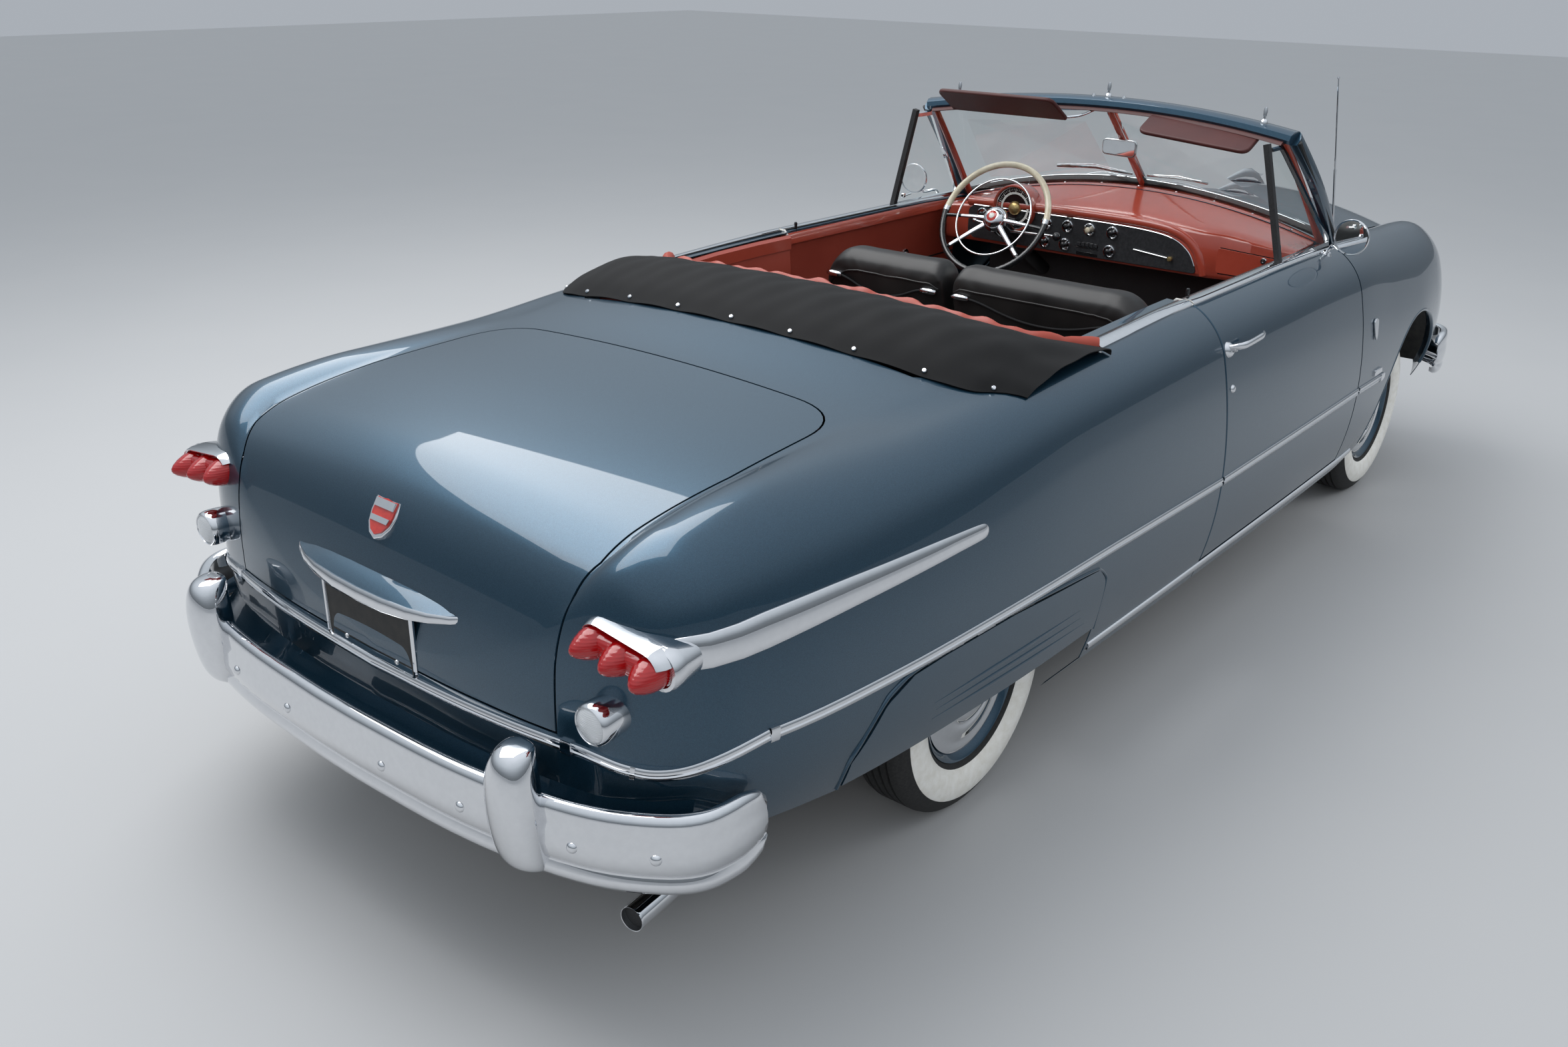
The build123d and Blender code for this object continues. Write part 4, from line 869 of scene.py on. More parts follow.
# Bumpers: a pressed bar with a crown, wrapped round the body, and guards
bumperShape = {
    "rear": [(-2.112, 0.868), (-2.200, 0.868), (-2.268, 0.850), (-2.325, 0.795), (-2.385, 0.690), (-2.428, 0.540),
             (-2.456, 0.350), (-2.468, 0.120)],
    "front": [(2.132, 0.866), (2.220, 0.864), (2.300, 0.842), (2.358, 0.785), (2.405, 0.690), (2.436, 0.540),
              (2.458, 0.350), (2.468, 0.120)],
    "section": [(-0.016, 0.074), (-0.004, 0.080), (0.007, 0.076), (0.013, 0.058), (0.012, 0.034), (0.016, 0.018),
                (0.018, -0.012), (0.016, -0.038), (0.008, -0.049), (0.008, -0.055), (0.015, -0.063),
                (0.013, -0.080), (0.004, -0.092), (-0.006, -0.096), (-0.018, -0.092), (-0.016, -0.088),
                (-0.005, -0.090), (0.001, -0.084), (0.008, -0.076), (0.009, -0.066), (0.003, -0.056),
                (0.004, -0.048), (0.011, -0.036), (0.014, -0.012), (0.012, 0.014), (0.008, 0.032),
                (0.009, 0.058), (0.004, 0.072), (-0.004, 0.075), (-0.015, 0.070)],
    "middle": 0.480,
    "guardRows": [(0.388, 0.004, 0.048), (0.396, 0.022, 0.060), (0.430, 0.036, 0.066), (0.500, 0.048, 0.066),
                  (0.570, 0.052, 0.060), (0.620, 0.046, 0.050), (0.646, 0.032, 0.040), (0.654, 0.010, 0.030)],
    "guardPlace": 0.540, "bolts": (0.15, 0.42, 0.66, 0.80),
    "boltShape": [(0.0, 0.007), (0.006, 0.0062), (0.0105, 0.003), (0.012, -0.001), (0.0, -0.004)]}


def makeBumper(end):
    facing = -1 if end == "rear" else 1
    half = bumperShape[end]
    plan = [(x, y) for x, y in half] + [(half[-1][0] + facing * 0.002, 0)] + [(x, -y) for x, y in reversed(half)]
    if facing == 1:
        plan = [(x, -y) for x, y in plan]
    path = smoothLine([(x, y, bumperShape["middle"]) for x, y in plan], 4)
    count = len(path)
    taper = [min(1, 0.62 + 0.38 * math.sqrt(min(i, count - 1 - i) / 3)) for i in range(count)]
    put(f"{end}BumperBar", bar(path, bumperShape["section"], taper=taper), looks["chrome"], "body",
                [f"bumper_{end}"], bend=70)
    guards = []
    for side in (1, -1):
        y = side * bumperShape["guardPlace"]
        base = facing * 2.4425
        bm = bmesh.new()
        rings = []
        for z, reach, half in bumperShape["guardRows"]:
            front = base + facing * reach
            back = base - facing * 0.045
            ring = [(back, -half), (front - facing * 0.030, -half), (front - facing * 0.008, -0.6 * half), (front, 0),
                    (front - facing * 0.008, 0.6 * half), (front - facing * 0.030, half), (back, half)]
            rings.append([bm.verts.new((x, y + w, z)) for x, w in ring])
        for one, two in zip(rings, rings[1:]):
            for k in range(len(one)):
                m = (k + 1) % len(one)
                bm.faces.new((one[k], one[m], two[m], two[k]))
        bm.faces.new(rings[0])
        bm.faces.new(list(reversed(rings[-1])))
        guards.append(bm)
    subdivided(put(f"{end}BumperGuards", joined(*guards), looks["chrome"], "body", bend=80), 2)
    bolts = []
    for side in (1, -1):
        for y in bumperShape["bolts"]:
            near = min(path, key=lambda p: abs(p.y - side * y))
            at = path.index(near)
            ahead = (path[min(at + 1, count - 1)] - path[max(at - 1, 0)]).normalized()
            out = ahead.cross(Vector((0, 0, 1)))
            bolts.append(turned(bumperShape["boltShape"], near + out * 0.017 + Vector((0, 0, -0.006)), out, 20))
    put(f"{end}BumperBolts", joined(*bolts), looks["chrome"], "body")
    brackets = [block((min(facing * 2.24, facing * 2.45), side * (0.42 if end == "rear" else 0.39) - 0.03,
                       0.440 if end == "rear" else 0.402),
                      (max(facing * 2.24, facing * 2.45), side * (0.42 if end == "rear" else 0.39) + 0.03,
                       0.468 if end == "rear" else 0.418)) for side in (1, -1)]
    rounded(put(f"{end}BumperBrackets", joined(*brackets), looks["frameBlack"], "body"), 0.003)


makeBumper("rear")
makeBumper("front")

# Windshield: pillars, header bow, sill strip, centre strip, two flat panes
shield = {"base": (1.007, 0.735, 1.092), "baseMiddle": (1.062, 1.199), "head": (0.640, 0.690, 1.462),
          "headMiddle": (0.710, 1.512), "pillarSteps": 10,
          "headSection": [(-0.034, -0.006), (-0.030, 0.010), (-0.014, 0.020), (0.012, 0.022), (0.028, 0.012),
                          (0.032, -0.004), (0.022, -0.016), (-0.026, -0.018)],
          "pillarSection": [(-0.014, -0.026), (-0.018, 0.0), (-0.010, 0.022), (0.004, 0.028), (0.015, 0.018),
                            (0.017, -0.010), (0.010, -0.026)]}


def bow(corner, middle, lift=0.0, steps=24):
    # A shallow arc across the car through its two corners and its middle
    x, half, z = corner
    return [Vector((x + (middle[0] - x) * (1 - t * t), t * half, z + (middle[1] - z) * (1 - t * t) + lift))
            for t in [2 * k / steps - 1 for k in range(steps + 1)]]


def makeWindshield():
    head, base = Vector(shield["head"]), Vector(shield["base"])
    top = shield["headSection"]
    put("headerBow", bar(bow(shield["head"], shield["headMiddle"]), top), looks["paint"], "body",
        ["windshield_frame"])
    pillars = []
    section = shield["pillarSection"]
    for side in (1, -1):
        line = []
        for k in range(shield["pillarSteps"] + 1):
            t = k / shield["pillarSteps"]
            spot = base.lerp(head, t) + Vector((0.010, 0.012, 0)) * math.sin(math.pi * t)
            line.append(Vector((spot.x, side * spot.y, spot.z)))
        line = [Vector((base.x + 0.030, side * (base.y + 0.004), base.z - 0.030))] + line
        pillars.append(bar(line, section, normals=[(1, 0, 0.9)] * len(line)))
    put("pillars", joined(*pillars), looks["paint"], "body")
    foot = bow(shield["base"], shield["baseMiddle"], 0.004, 32)
    put("sillGasket", bar(foot, ringProfile(0.040, 0.026, 10)), looks["rubber"], "body")
    trim = [p + Vector((0.012, 0, 0.010)) for p in foot]
    put("sillStrip", bar(trim, ringProfile(0.014, 0.010, 8)), looks["chrome"], "body")
    centre = [Vector((shield["baseMiddle"][0], 0, shield["baseMiddle"][1])),
              Vector((shield["headMiddle"][0], 0, shield["headMiddle"][1]))]
    put("centreStripOutside", bar([p + Vector((0.010, 0, 0.008)) for p in centre], ringProfile(0.022, 0.010, 8),
                                  normals=[(1, 0, 1)] * 2), looks["chrome"], "body")
    put("centreStripInside", bar([p + Vector((-0.006, 0, -0.006)) for p in centre], ringProfile(0.024, 0.016, 8),
                                 normals=[(1, 0, 1)] * 2), looks["redPaint"], "body")
    panes = []
    for side in (1, -1):
        corners = [Vector((0.993, 0.706, 1.112)), Vector((1.056, 0.010, 1.212)), Vector((0.718, 0.010, 1.490)),
                   Vector((0.654, 0.664, 1.450))]
        corners = [Vector((c.x, side * c.y, c.z)) for c in corners]
        out = (corners[1] - corners[0]).cross(corners[2] - corners[0]).normalized() * 0.0055
        bm = bmesh.new()
        one = [bm.verts.new(c) for c in corners]
        two = [bm.verts.new(c + out) for c in corners]
        bm.faces.new(one)
        bm.faces.new(list(reversed(two)))
        for k in range(4):
            m = (k + 1) % 4
            bm.faces.new((one[k], two[k], two[m], one[m]))
        bmesh.ops.recalc_face_normals(bm, faces=bm.faces)
        panes.append(bm)
    put("windshieldPanes", joined(*panes), looks["glass"], "body", ["windshield_glass"], bend=20)


makeWindshield()

# Vent windows, outside mirrors, antenna, sun visors and inside mirror
vent = {"outline": [(0.512, 0.004), (0.945, 0.004), (0.612, 0.352), (0.507, 0.352)], "lean": 0.244,
        "frameSection": [(-0.007, -0.007), (-0.007, 0.007), (0.007, 0.007), (0.007, -0.007)],
        "postSection": [(-0.010, -0.009), (-0.010, 0.009), (0.010, 0.009), (0.010, -0.009)],
        "latchShape": [(0.0, 0.010), (0.008, 0.009), (0.009, 0.0), (0.0, -0.004)]}


def ventPoint(x, rise, side, off=0.0):
    return Vector((x, side * (0.746 - vent["lean"] * rise + off * 0.97), 1.094 + 0.970 * rise + off * 0.244))


def makeVent(side, sign):
    corners = [ventPoint(x, h, sign) for x, h in vent["outline"]]
    frameLine = []
    for one, two in zip(corners, corners[1:] + corners[:1]):
        frameLine += [one.lerp(two, t) for t in (0.04, 0.35, 0.65, 0.96)]
    out = (0, sign * 0.97, 0.244)
    put(f"{side}VentFrame", bar(frameLine, vent["frameSection"], closed=True, normals=[out] * len(frameLine)),
        looks["chrome"], f"door_{side}", [f"vent_window_{side}"])
    post = [ventPoint(0.505, 0.0, sign), ventPoint(0.500, 0.372, sign)]
    put(f"{side}VentPost", bar(post, vent["postSection"], normals=[out] * 2), looks["rubber"], f"door_{side}")
    bm = bmesh.new()
    glass = [bm.verts.new(c) for c in corners]
    bm.faces.new(glass)
    bm = settled(bm, ("SOLIDIFY", {"thickness": 0.005, "offset": 0}))
    put(f"{side}VentPane", bm, looks["glass"], f"door_{side}", bend=20)
    latch = joined(turned(vent["latchShape"], ventPoint(0.535, 0.045, sign, -0.012), (0, -sign, 0), 20),
                   bar([ventPoint(0.535, 0.045, sign, -0.016), ventPoint(0.572, 0.050, sign, -0.020)],
                       ringProfile(0.012, 0.008, 8)))
    put(f"{side}VentLatch", latch, looks["chrome"], f"door_{side}")


mirrorShape = {"shell": [(0.0, 0.026), (0.018, 0.0245), (0.036, 0.018), (0.050, 0.008), (0.057, -0.002),
                         (0.0585, -0.010), (0.0565, -0.0125), (0.053, -0.0115), (0.053, -0.009), (0.0, -0.0085)]}


def makeMirror(side, sign):
    centre = Vector((0.812, sign * 0.862, 1.153))
    shell = mirrorShape["shell"]
    head = put(f"{side}MirrorHead", turned(shell, centre, (1, sign * 0.10, 0), 48), looks["chrome"],
               f"door_{side}", [f"mirror_{side}"], bend=50)
    face = turned([(0.0, -0.0095), (0.0525, -0.0095)], centre, (1, sign * 0.10, 0), 48)
    put(f"{side}MirrorFace", face, looks["mirror"], f"door_{side}")
    foot = topPoint(0.858, 0.772)[0]
    foot.y *= sign
    stem = smoothLine([foot, foot + Vector((-0.004, sign * 0.020, 0.030)),
                       centre + Vector((0.012, -sign * 0.030, -0.050)),
                       centre + Vector((0.016, -sign * 0.004, -0.012))], 6)
    put(f"{side}MirrorStem", bar(stem, ringProfile(0.016, 0.012, 10)), looks["chrome"], f"door_{side}")
    base = drum(foot + Vector((0, 0, 0.002)), (0, sign * 0.35, 1), 0.021, 0.010, 24, tip=0.014)
    put(f"{side}MirrorBase", base, looks["chrome"], f"door_{side}")
    return head


for side, sign in (("left", 1), ("right", -1)):
    makeVent(side, sign)
    makeMirror(side, sign)


antennaShape = {"tip": [(0.0, 0.006), (0.0035, 0.005), (0.0045, 0.0), (0.0, -0.004)],
                "base": [(0.0, 0.060), (0.006, 0.058), (0.008, 0.040), (0.014, 0.024), (0.017, 0.008), (0.018, 0.0),
                         (0.0, -0.004)]}


def makeAntenna():
    foot, tip = Vector((1.078, -0.714, 1.080)), Vector((1.060, -0.650, 1.615))
    parts = [bar([foot, foot.lerp(tip, 0.45)], ringProfile(0.0078, 0.0078, 8)),
             bar([foot.lerp(tip, 0.45), tip], ringProfile(0.0050, 0.0050, 8)),
             turned(antennaShape["tip"], tip, (0, 0, 1), 12)]
    base = turned(antennaShape["base"], Vector((1.078, -0.714, 1.060)), (0, -0.3, 1), 24)
    put("antennaMast", joined(*parts, base), looks["chrome"], "body", ["antenna"])


makeAntenna()


visors = {"left": (0.110, 0.580, 0.632, 1.458, 0.140, 31, (0, 0)),
          "right": (-0.575, -0.180, 0.6625, 1.470, 0.104, -24, (0.063, 0.076))}


insideMirror = {"outline": [(-0.067, 1.318), (0.067, 1.324), (0.067, 1.380), (-0.067, 1.380)],
                "arm": [(0.838, 0, 1.351), (0.862, 0, 1.352), (0.884, 0, 1.351)]}


def makeHeaderFittings():
    # Two sun visors on rods, the left one tipped up, and the mirror on the centre strip
    for name, (low, high, x, z, depth, tilt, slope) in visors.items():
        outline = roundedCorners([(0.006, low), (-depth, low), (-depth, high), (0.006, high)],
                                 {0: 0.012, 1: 0.034, 2: 0.034, 3: 0.012}, 5)
        bm = prism(outline, 2, -0.007, 0.007)
        bmesh.ops.transform(bm, matrix=Matrix.Translation((x, 0, z)) @ Matrix.Rotation(math.radians(tilt), 4, "Y"),
                            verts=bm.verts)
        middle = (low + high) / 2
        for vert in bm.verts:
            aside = vert.co.y - middle
            vert.co += Vector((aside * slope[0], 0, aside * slope[1]))
        rounded(put(f"{name}Visor", bm, looks["visorVinyl"], "body",
                    ["header_fittings"] if name == "left" else [], bend=50), 0.005, 3)
        inner, outer = (low, high) if name == "left" else (high, low)
        ends = [(x + (y - middle) * slope[0], y, z + (y - middle) * slope[1]) for y in (inner, middle, outer)]
        rod = smoothLine([(0.690, inner * 0.35, 1.488), (ends[0][0] + 0.012, inner, ends[0][2] + 0.003), ends[1],
                          (ends[2][0] + 0.004, outer, ends[2][2]),
                          (ends[2][0] + 0.020, outer * 1.06, ends[2][2] + 0.010)], 4)
        put(f"{name}VisorRod", bar(rod, ringProfile(0.008, 0.008)), looks["chrome"], "body")
    outline = roundedCorners(insideMirror["outline"], {i: 0.020 for i in range(4)}, 5)
    rounded(put("insideMirror", prism(outline, 0, 0.826, 0.838), looks["dullChrome"], "body", bend=50),
            0.004, 3)
    put("insideMirrorFace", prism(grown(outline, -0.006), 0, 0.8252, 0.8262), looks["mirror"], "body")
    arm = smoothLine(insideMirror["arm"], 4)
    put("insideMirrorArm", bar(arm, ringProfile(0.012, 0.012)), looks["chrome"], "body")


makeHeaderFittings()
print("windshield and fittings made")


# Bright strips, lamps, handles and badges on the body


def onSide(line, steps=8, off=0.0):
    # Points on the left side along (x, z) corners, with their outward directions
    spots, outs = [], []
    for spot in smoothLine([(x, 0, z) for x, z in line], steps):
        point, out = sidePoint(spot.x, spot.z, off)
        spots.append(point)
        outs.append(out)
    return spots, outs


def tailX(y, z):
    # How far back the tail reaches at a distance from the middle and a height
    low, high = 0.0, placeAt(-1.9)
    for step in range(26):
        middle = (low + high) / 2
        reach = 0.0
        points = halfRing(sectionAt(middle))[arcSteps["roof"]:]
        for (y0, z0), (y1, z1) in zip(points, points[1:]):
            if z1 <= z <= z0:
                reach = y0 + (y1 - y0) * (z0 - z) / max(z0 - z1, 1e-9)
                break
        low, high = (middle, high) if reach < y else (low, middle)
    return sectionAt((low + high) / 2)[0]


def onTail(line, steps=6):
    # Points on the tail along (y, z) corners, with their outward directions
    spots, outs = [], []
    for spot in smoothLine([(0, y, z) for y, z in line], steps):
        y, z = max(spot.y, 0.0), spot.z
        here = Vector((tailX(y, z), y, z))
        beside = Vector((tailX(y + 0.01, z), y + 0.01, z))
        above = Vector((tailX(y, z + 0.01), y, z + 0.01))
        out = (beside - here).cross(above - here).normalized()
        spots.append(here)
        outs.append(out if out.x < 0 else -out)
    return spots, outs


strips = {"side": [(-0.0125, -0.001), (-0.0125, 0.0035), (-0.0105, 0.0050), (-0.004, 0.0060), (-0.0015, 0.0036),
                   (0.0005, 0.0036), (0.003, 0.0066), (0.0095, 0.0058), (0.0125, 0.0030), (0.0125, -0.001)],
          "rocker": [(-0.012, -0.001), (-0.011, 0.004), (-0.004, 0.0075), (0.005, 0.0075), (0.011, 0.004),
                     (0.012, -0.001)],
          "belt": [(-0.019, -0.002), (-0.018, 0.004), (-0.010, 0.0080), (0.007, 0.0085), (0.017, 0.0045),
                   (0.019, -0.002)],
          "sleeve": [(-0.0155, -0.001), (-0.0155, 0.006), (-0.010, 0.0085), (0.010, 0.0085), (0.0155, 0.006),
                     (0.0155, -0.001)],
          "sideLine": [(-2.093, 0.648), (-1.654, 0.637), (-0.856, 0.625), (-0.155, 0.606), (0.989, 0.606),
                       (1.251, 0.600)],
          "tailLine": [(0.0, 0.606), (0.300, 0.611), (0.560, 0.616), (0.640, 0.611), (0.695, 0.602), (0.745, 0.598),
                       (0.800, 0.611), (0.8625, 0.648)],
          "rockerLine": [(-0.845, 0.333), (-0.170, 0.330), (0.430, 0.330), (1.140, 0.330)]}


def heightOn(line, x):
    for (x0, z0), (x1, z1) in zip(line, line[1:]):
        if x0 <= x <= x1:
            return z0 + (z1 - z0) * (x - x0) / (x1 - x0)
    return line[-1][1]


def sideRun(line, start, end, step=0.06):
    count = max(2, round((end - start) / step))
    return [(start + (end - start) * k / count, heightOn(line, start + (end - start) * k / count))
            for k in range(count + 1)]


def sideStrip(line, start, end, profile, taper=None):
    spots, outs = onSide(sideRun(line, start, end), 1)
    sizes = [taper(p.x) for p in spots] if taper else None
    return bar(spots, profile, normals=outs, taper=sizes)


def makeSideStrips():
    run = strips["sideLine"]
    put("quarterStrips", bothSides(sideStrip(run, -2.080, -0.1745, strips["side"])), looks["chrome"], "body")
    for side in ("left", "right"):
        bm = sideStrip(run, -0.1625, 0.9635, strips["side"])
        if side == "right":
            otherSide(bm)
        put(f"{side}DoorStrip", bm, looks["chrome"], f"door_{side}")
    front = joined(sideStrip(run, 0.9755, 1.210, strips["side"]),
                   sideStrip(run, 1.205, 1.252, strips["sleeve"], lambda x: 1.0 if x < 1.23 else 0.75))
    put("fenderStrips", bothSides(front), looks["chrome"], "body")
    spots, outs = onTail(strips["tailLine"])
    put("tailStrip", bothSides(bar(spots, strips["side"], normals=outs)), looks["chrome"], "body")
    sleeves = []
    for at in (12, 25):
        sleeves.append(bar(spots[at:at + 2], strips["sleeve"], normals=outs[at:at + 2]))
    sleeves.append(sideStrip(run, -2.092, -2.072, strips["sleeve"]))
    put("stripSleeves", bothSides(joined(*sleeves)), looks["chrome"], "body")
    put("rockerStrips", bothSides(sideStrip(strips["rockerLine"], -0.845, 1.140, strips["rocker"])), looks["chrome"],
        "body")


spear = {"rows": [(-2.262, 0.838, 0.78), (-2.235, 0.846, 0.92), (-2.080, 0.856, 0.97), (-1.900, 0.857, 0.86),
                  (-1.750, 0.854, 0.75), (-1.600, 0.851, 0.64), (-1.500, 0.849, 0.555), (-1.430, 0.8475, 0.49),
                  (-1.408, 0.847, 0.43), (-1.399, 0.847, 0.33), (-1.394, 0.847, 0.18)],
         "profile": [(-0.0355, -0.004), (-0.0355, 0.0030), (-0.0330, 0.0048), (-0.018, 0.0080), (0.0, 0.0092),
                     (0.018, 0.0080), (0.0335, 0.0048), (0.0355, 0.0030), (0.0355, -0.004)]}


def makeSpears():
    spots, outs = onSide([(x, z) for x, z, size in spear["rows"]], 3)
    sizes = []
    for one, two in zip(spear["rows"], spear["rows"][1:]):
        sizes += [one[2] + (two[2] - one[2]) * k / 3 for k in range(3)]
    sizes.append(spear["rows"][-1][2])
    put("rearSpears", bothSides(bar(spots, spear["profile"], normals=outs, taper=sizes)), looks["chrome"], "body",
        bend=50)


tailLamp = {"middle": (0.705, 0.846), "pitch": 0.066, "tilt": -7, "back": -2.215, "face": -2.292, "half": 0.112,
            "tall": 0.038, "lens": [(0.0352, -0.004), (0.0352, 0.006), (0.0334, 0.020), (0.0290, 0.038),
                                    (0.0218, 0.054), (0.0130, 0.067), (0.0054, 0.0735), (0.0, 0.0750)],
            "backup": (0.668, 0.712), "backupX": -2.300, "case": [(0.0, -0.034), (0.038, -0.032), (0.041, 0.006),
                                                                  (0.0430, 0.030), (0.0430, 0.048), (0.0405, 0.059),
                                                                  (0.0370, 0.0625), (0.0350, 0.0600), (0.0345, 0.054),
                                                                  (0.0, 0.053)],
            "glass": [(0.0350, 0.0585), (0.0300, 0.0635), (0.0200, 0.0675), (0.0, 0.0690)],
            "screwShape": [(0.0, 0.004), (0.004, 0.0035), (0.0055, 0.0), (0.0, -0.002)]}


def slotRing(x, half, tall, count=12):
    # A level slot with round ends, about the middle of the tail lamp, leaning outwards and down
    y0, z0 = tailLamp["middle"]
    turn = math.radians(tailLamp["tilt"])
    ring = []
    for end in (1, -1):
        for k in range(count + 1):
            angle = math.pi * (k / count - 0.5) + (0 if end == 1 else math.pi)
            u, w = end * (half - tall) + tall * math.cos(angle), tall * math.sin(angle)
            ring.append(Vector((x, y0 + u * math.cos(turn) - w * math.sin(turn),
                                z0 + u * math.sin(turn) + w * math.cos(turn))))
    return ring


def ringSolid(rings, capped=True):
    # Skin over closed rings of equal count
    bm = bmesh.new()
    made = [[bm.verts.new(p) for p in ring] for ring in rings]
    count = len(made[0])
    for one, two in zip(made, made[1:]):
        for k in range(count):
            bm.faces.new((one[k], one[(k + 1) % count], two[(k + 1) % count], two[k]))
    if capped:
        bm.faces.new(made[0])
        bm.faces.new(list(reversed(made[-1])))
    bmesh.ops.recalc_face_normals(bm, faces=bm.faces)
    return bm


def makeTailLamps():
    half, tall, face = tailLamp["half"], tailLamp["tall"], tailLamp["face"]
    case = ringSolid([slotRing(tailLamp["back"], half - 0.004, tall - 0.004),
                      slotRing(face + 0.030, half + 0.004, tall + 0.004),
                      slotRing(face + 0.006, half + 0.006, tall + 0.005), slotRing(face, half + 0.003, tall + 0.002),
                      slotRing(face - 0.001, half - 0.004, tall - 0.005),
                      slotRing(face + 0.004, half - 0.007, tall - 0.008)])
    brow = []
    for x, size in ((face + 0.012, 1.0), (face - 0.012, 0.97), (face - 0.026, 0.90), (face - 0.028, 0.88)):
        ring = slotRing(x, half * size, tall * 1.16 * size)
        brow.append(ring)
    shade = ringSolid(brow, False)
    middle = Vector((0, *tailLamp["middle"]))
    gone = [v for v in shade.verts if v.co.z < middle.z + 0.018 - (v.co.y - middle.y) * 0.12]
    bmesh.ops.delete(shade, geom=gone, context="VERTS")
    shade = settled(shade, ("SOLIDIFY", {"thickness": 0.003, "offset": -1}))
    put("tailLampCases", bothSides(joined(case, shade)), looks["chrome"], "body", ["rear_lamps"],
        bend=45)
    lenses = [ringSolid([slotRing(face + 0.006, half - 0.010, tall - 0.010),
                         slotRing(face - 0.020, half * 0.86, tall * 0.70),
                         slotRing(face - 0.031, half * 0.80, tall * 0.56),
                         slotRing(face - 0.036, half * 0.74, tall * 0.34)])]
    screws = []
    for k in (-1, 0, 1):
        turn = math.radians(tailLamp["tilt"])
        spot = Vector((face + 0.002, middle.y + k * tailLamp["pitch"] * math.cos(turn),
                       middle.z + k * tailLamp["pitch"] * math.sin(turn)))
        lenses.append(turned(tailLamp["lens"], spot, (-1, 0.16 * k, -0.10), 32))
        if k:
            screws.append(turned(tailLamp["screwShape"], spot + Vector((-0.006, -k * tailLamp["pitch"] / 2, 0.020)),
                                 (-1, 0, 0.3), 12))
    put("tailLenses", bothSides(joined(*lenses)), looks["redLens"], "body")
    put("tailScrews", bothSides(joined(*screws)), looks["chrome"], "body")
    y, z = tailLamp["backup"]
    put("backupCases", bothSides(turned(tailLamp["case"], (tailLamp["backupX"], y, z), (-1, 0, 0), 48)),
        looks["chrome"], "body")
    put("backupLenses", bothSides(turned(tailLamp["glass"], (tailLamp["backupX"], y, z), (-1, 0, 0), 48)),
        looks["clearLens"], "body")


lampHood = {"rows": [(0.0, -2.300, -2.386, 0.808, 0.768), (0.085, -2.300, -2.3845, 0.808, 0.769),
                     (0.160, -2.300, -2.379, 0.807, 0.773), (0.214, -2.298, -2.368, 0.806, 0.777),
                     (0.262, -2.295, -2.350, 0.804, 0.781), (0.295, -2.292, -2.328, 0.801, 0.785),
                     (0.314, -2.288, -2.304, 0.797, 0.789)],
            "plateX": -2.366, "plate": (0.151, 0.074), "plateZ": 0.694,
            "lipSection": [(-0.004, -0.015), (-0.008, -0.004), (-0.006, 0.010), (-0.001, 0.016), (0.004, 0.014),
                           (0.006, 0.000), (0.003, -0.015)],
            "frameSection": [(-0.004, -0.004), (-0.005, 0.001), (-0.002, 0.004), (0.003, 0.004), (0.005, 0.0),
                             (0.005, -0.004)],
            "screwShape": [(0.0, 0.004), (0.005, 0.003), (0.0065, 0.0), (0.0, -0.003)]}


def makeLampHood():
    rings = []
    for y, root, lip, top, low in lampHood["rows"]:
        rings.append([Vector((root, y, top)), Vector((root * 0.6 + lip * 0.4, y, top - 0.001)),
                      Vector((root * 0.25 + lip * 0.75, y, top - 0.010)), Vector((lip, y, low + 0.010)),
                      Vector((lip + 0.001, y, low)), Vector((root, y, low - 0.010))])
    whole = [[Vector((p.x, -p.y, p.z)) for p in ring] for ring in reversed(rings[1:])] + rings
    put("plateLampHood", ringSolid(whole), looks["paint"], "trunk_lid", bend=35)
    lip = [Vector((x, y, z + 0.001)) for y, root, x, top, z in lampHood["rows"][:-1]]
    line = [Vector((p.x, -p.y, p.z)) for p in reversed(lip[1:])] + lip
    sizes = [0.45 + 0.55 * min(1, 1.6 * (1 - abs(p.y) / 0.285)) for p in line]
    put("plateLampLip", bar(line, lampHood["lipSection"], taper=sizes), looks["chrome"], "trunk_lid")
    wide, high = lampHood["plate"]
    x, z = lampHood["plateX"], lampHood["plateZ"]
    outline = roundedCorners([(-wide, z - high), (wide, z - high), (wide, z + high), (-wide, z + high)],
                             {0: 0.012, 1: 0.012, 2: 0.012, 3: 0.012}, 4)
    plate = prism(outline, 0, x - 0.0015, x)
    rounded(put("blankPlate", plate, looks["frameBlack"], "trunk_lid"), 0.0006, 1)
    edge = [Vector((x - 0.0015, y, zz)) for y, zz in grown(outline, 0.003)]
    frameBar = bar(edge, lampHood["frameSection"], closed=True, normals=[(-1, 0, 0)] * len(edge))
    put("plateFrame", frameBar, looks["chrome"], "trunk_lid")
    screws = [turned(lampHood["screwShape"], (x - 0.0015, side * 0.0889, z + up * 0.0603), (-1, 0, 0), 16)
              for side in (1, -1) for up in (1, -1)]
    put("plateScrews", joined(*screws), looks["dullChrome"], "trunk_lid")
    legs = [block((x + 0.001, side * 0.115 - 0.012, z - 0.038), (-2.340, side * 0.115 + 0.012, z + 0.002))
            for side in (1, -1)]
    rounded(put("plateLegs", joined(*legs), looks["frameBlack"], "trunk_lid"), 0.001, 1)


badge = {"height": 0.908, "lean": 34, "outline": [(0.0, 0.050), (0.024, 0.046), (0.041, 0.048), (0.043, 0.008),
                                                  (0.037, -0.018), (0.022, -0.038), (0.0, -0.048)],
         "upperBar": [(-0.032, 0.018), (0.032, 0.018), (0.0325, 0.036), (-0.0325, 0.036)],
         "lowerBar": [(-0.028, -0.012), (0.028, -0.012), (0.031, 0.000), (-0.031, 0.000)]}


def shieldOutline(size):
    half = [(y * size, z * size) for y, z in badge["outline"]]
    return half + [(-y, z) for y, z in reversed(half[1:-1])]


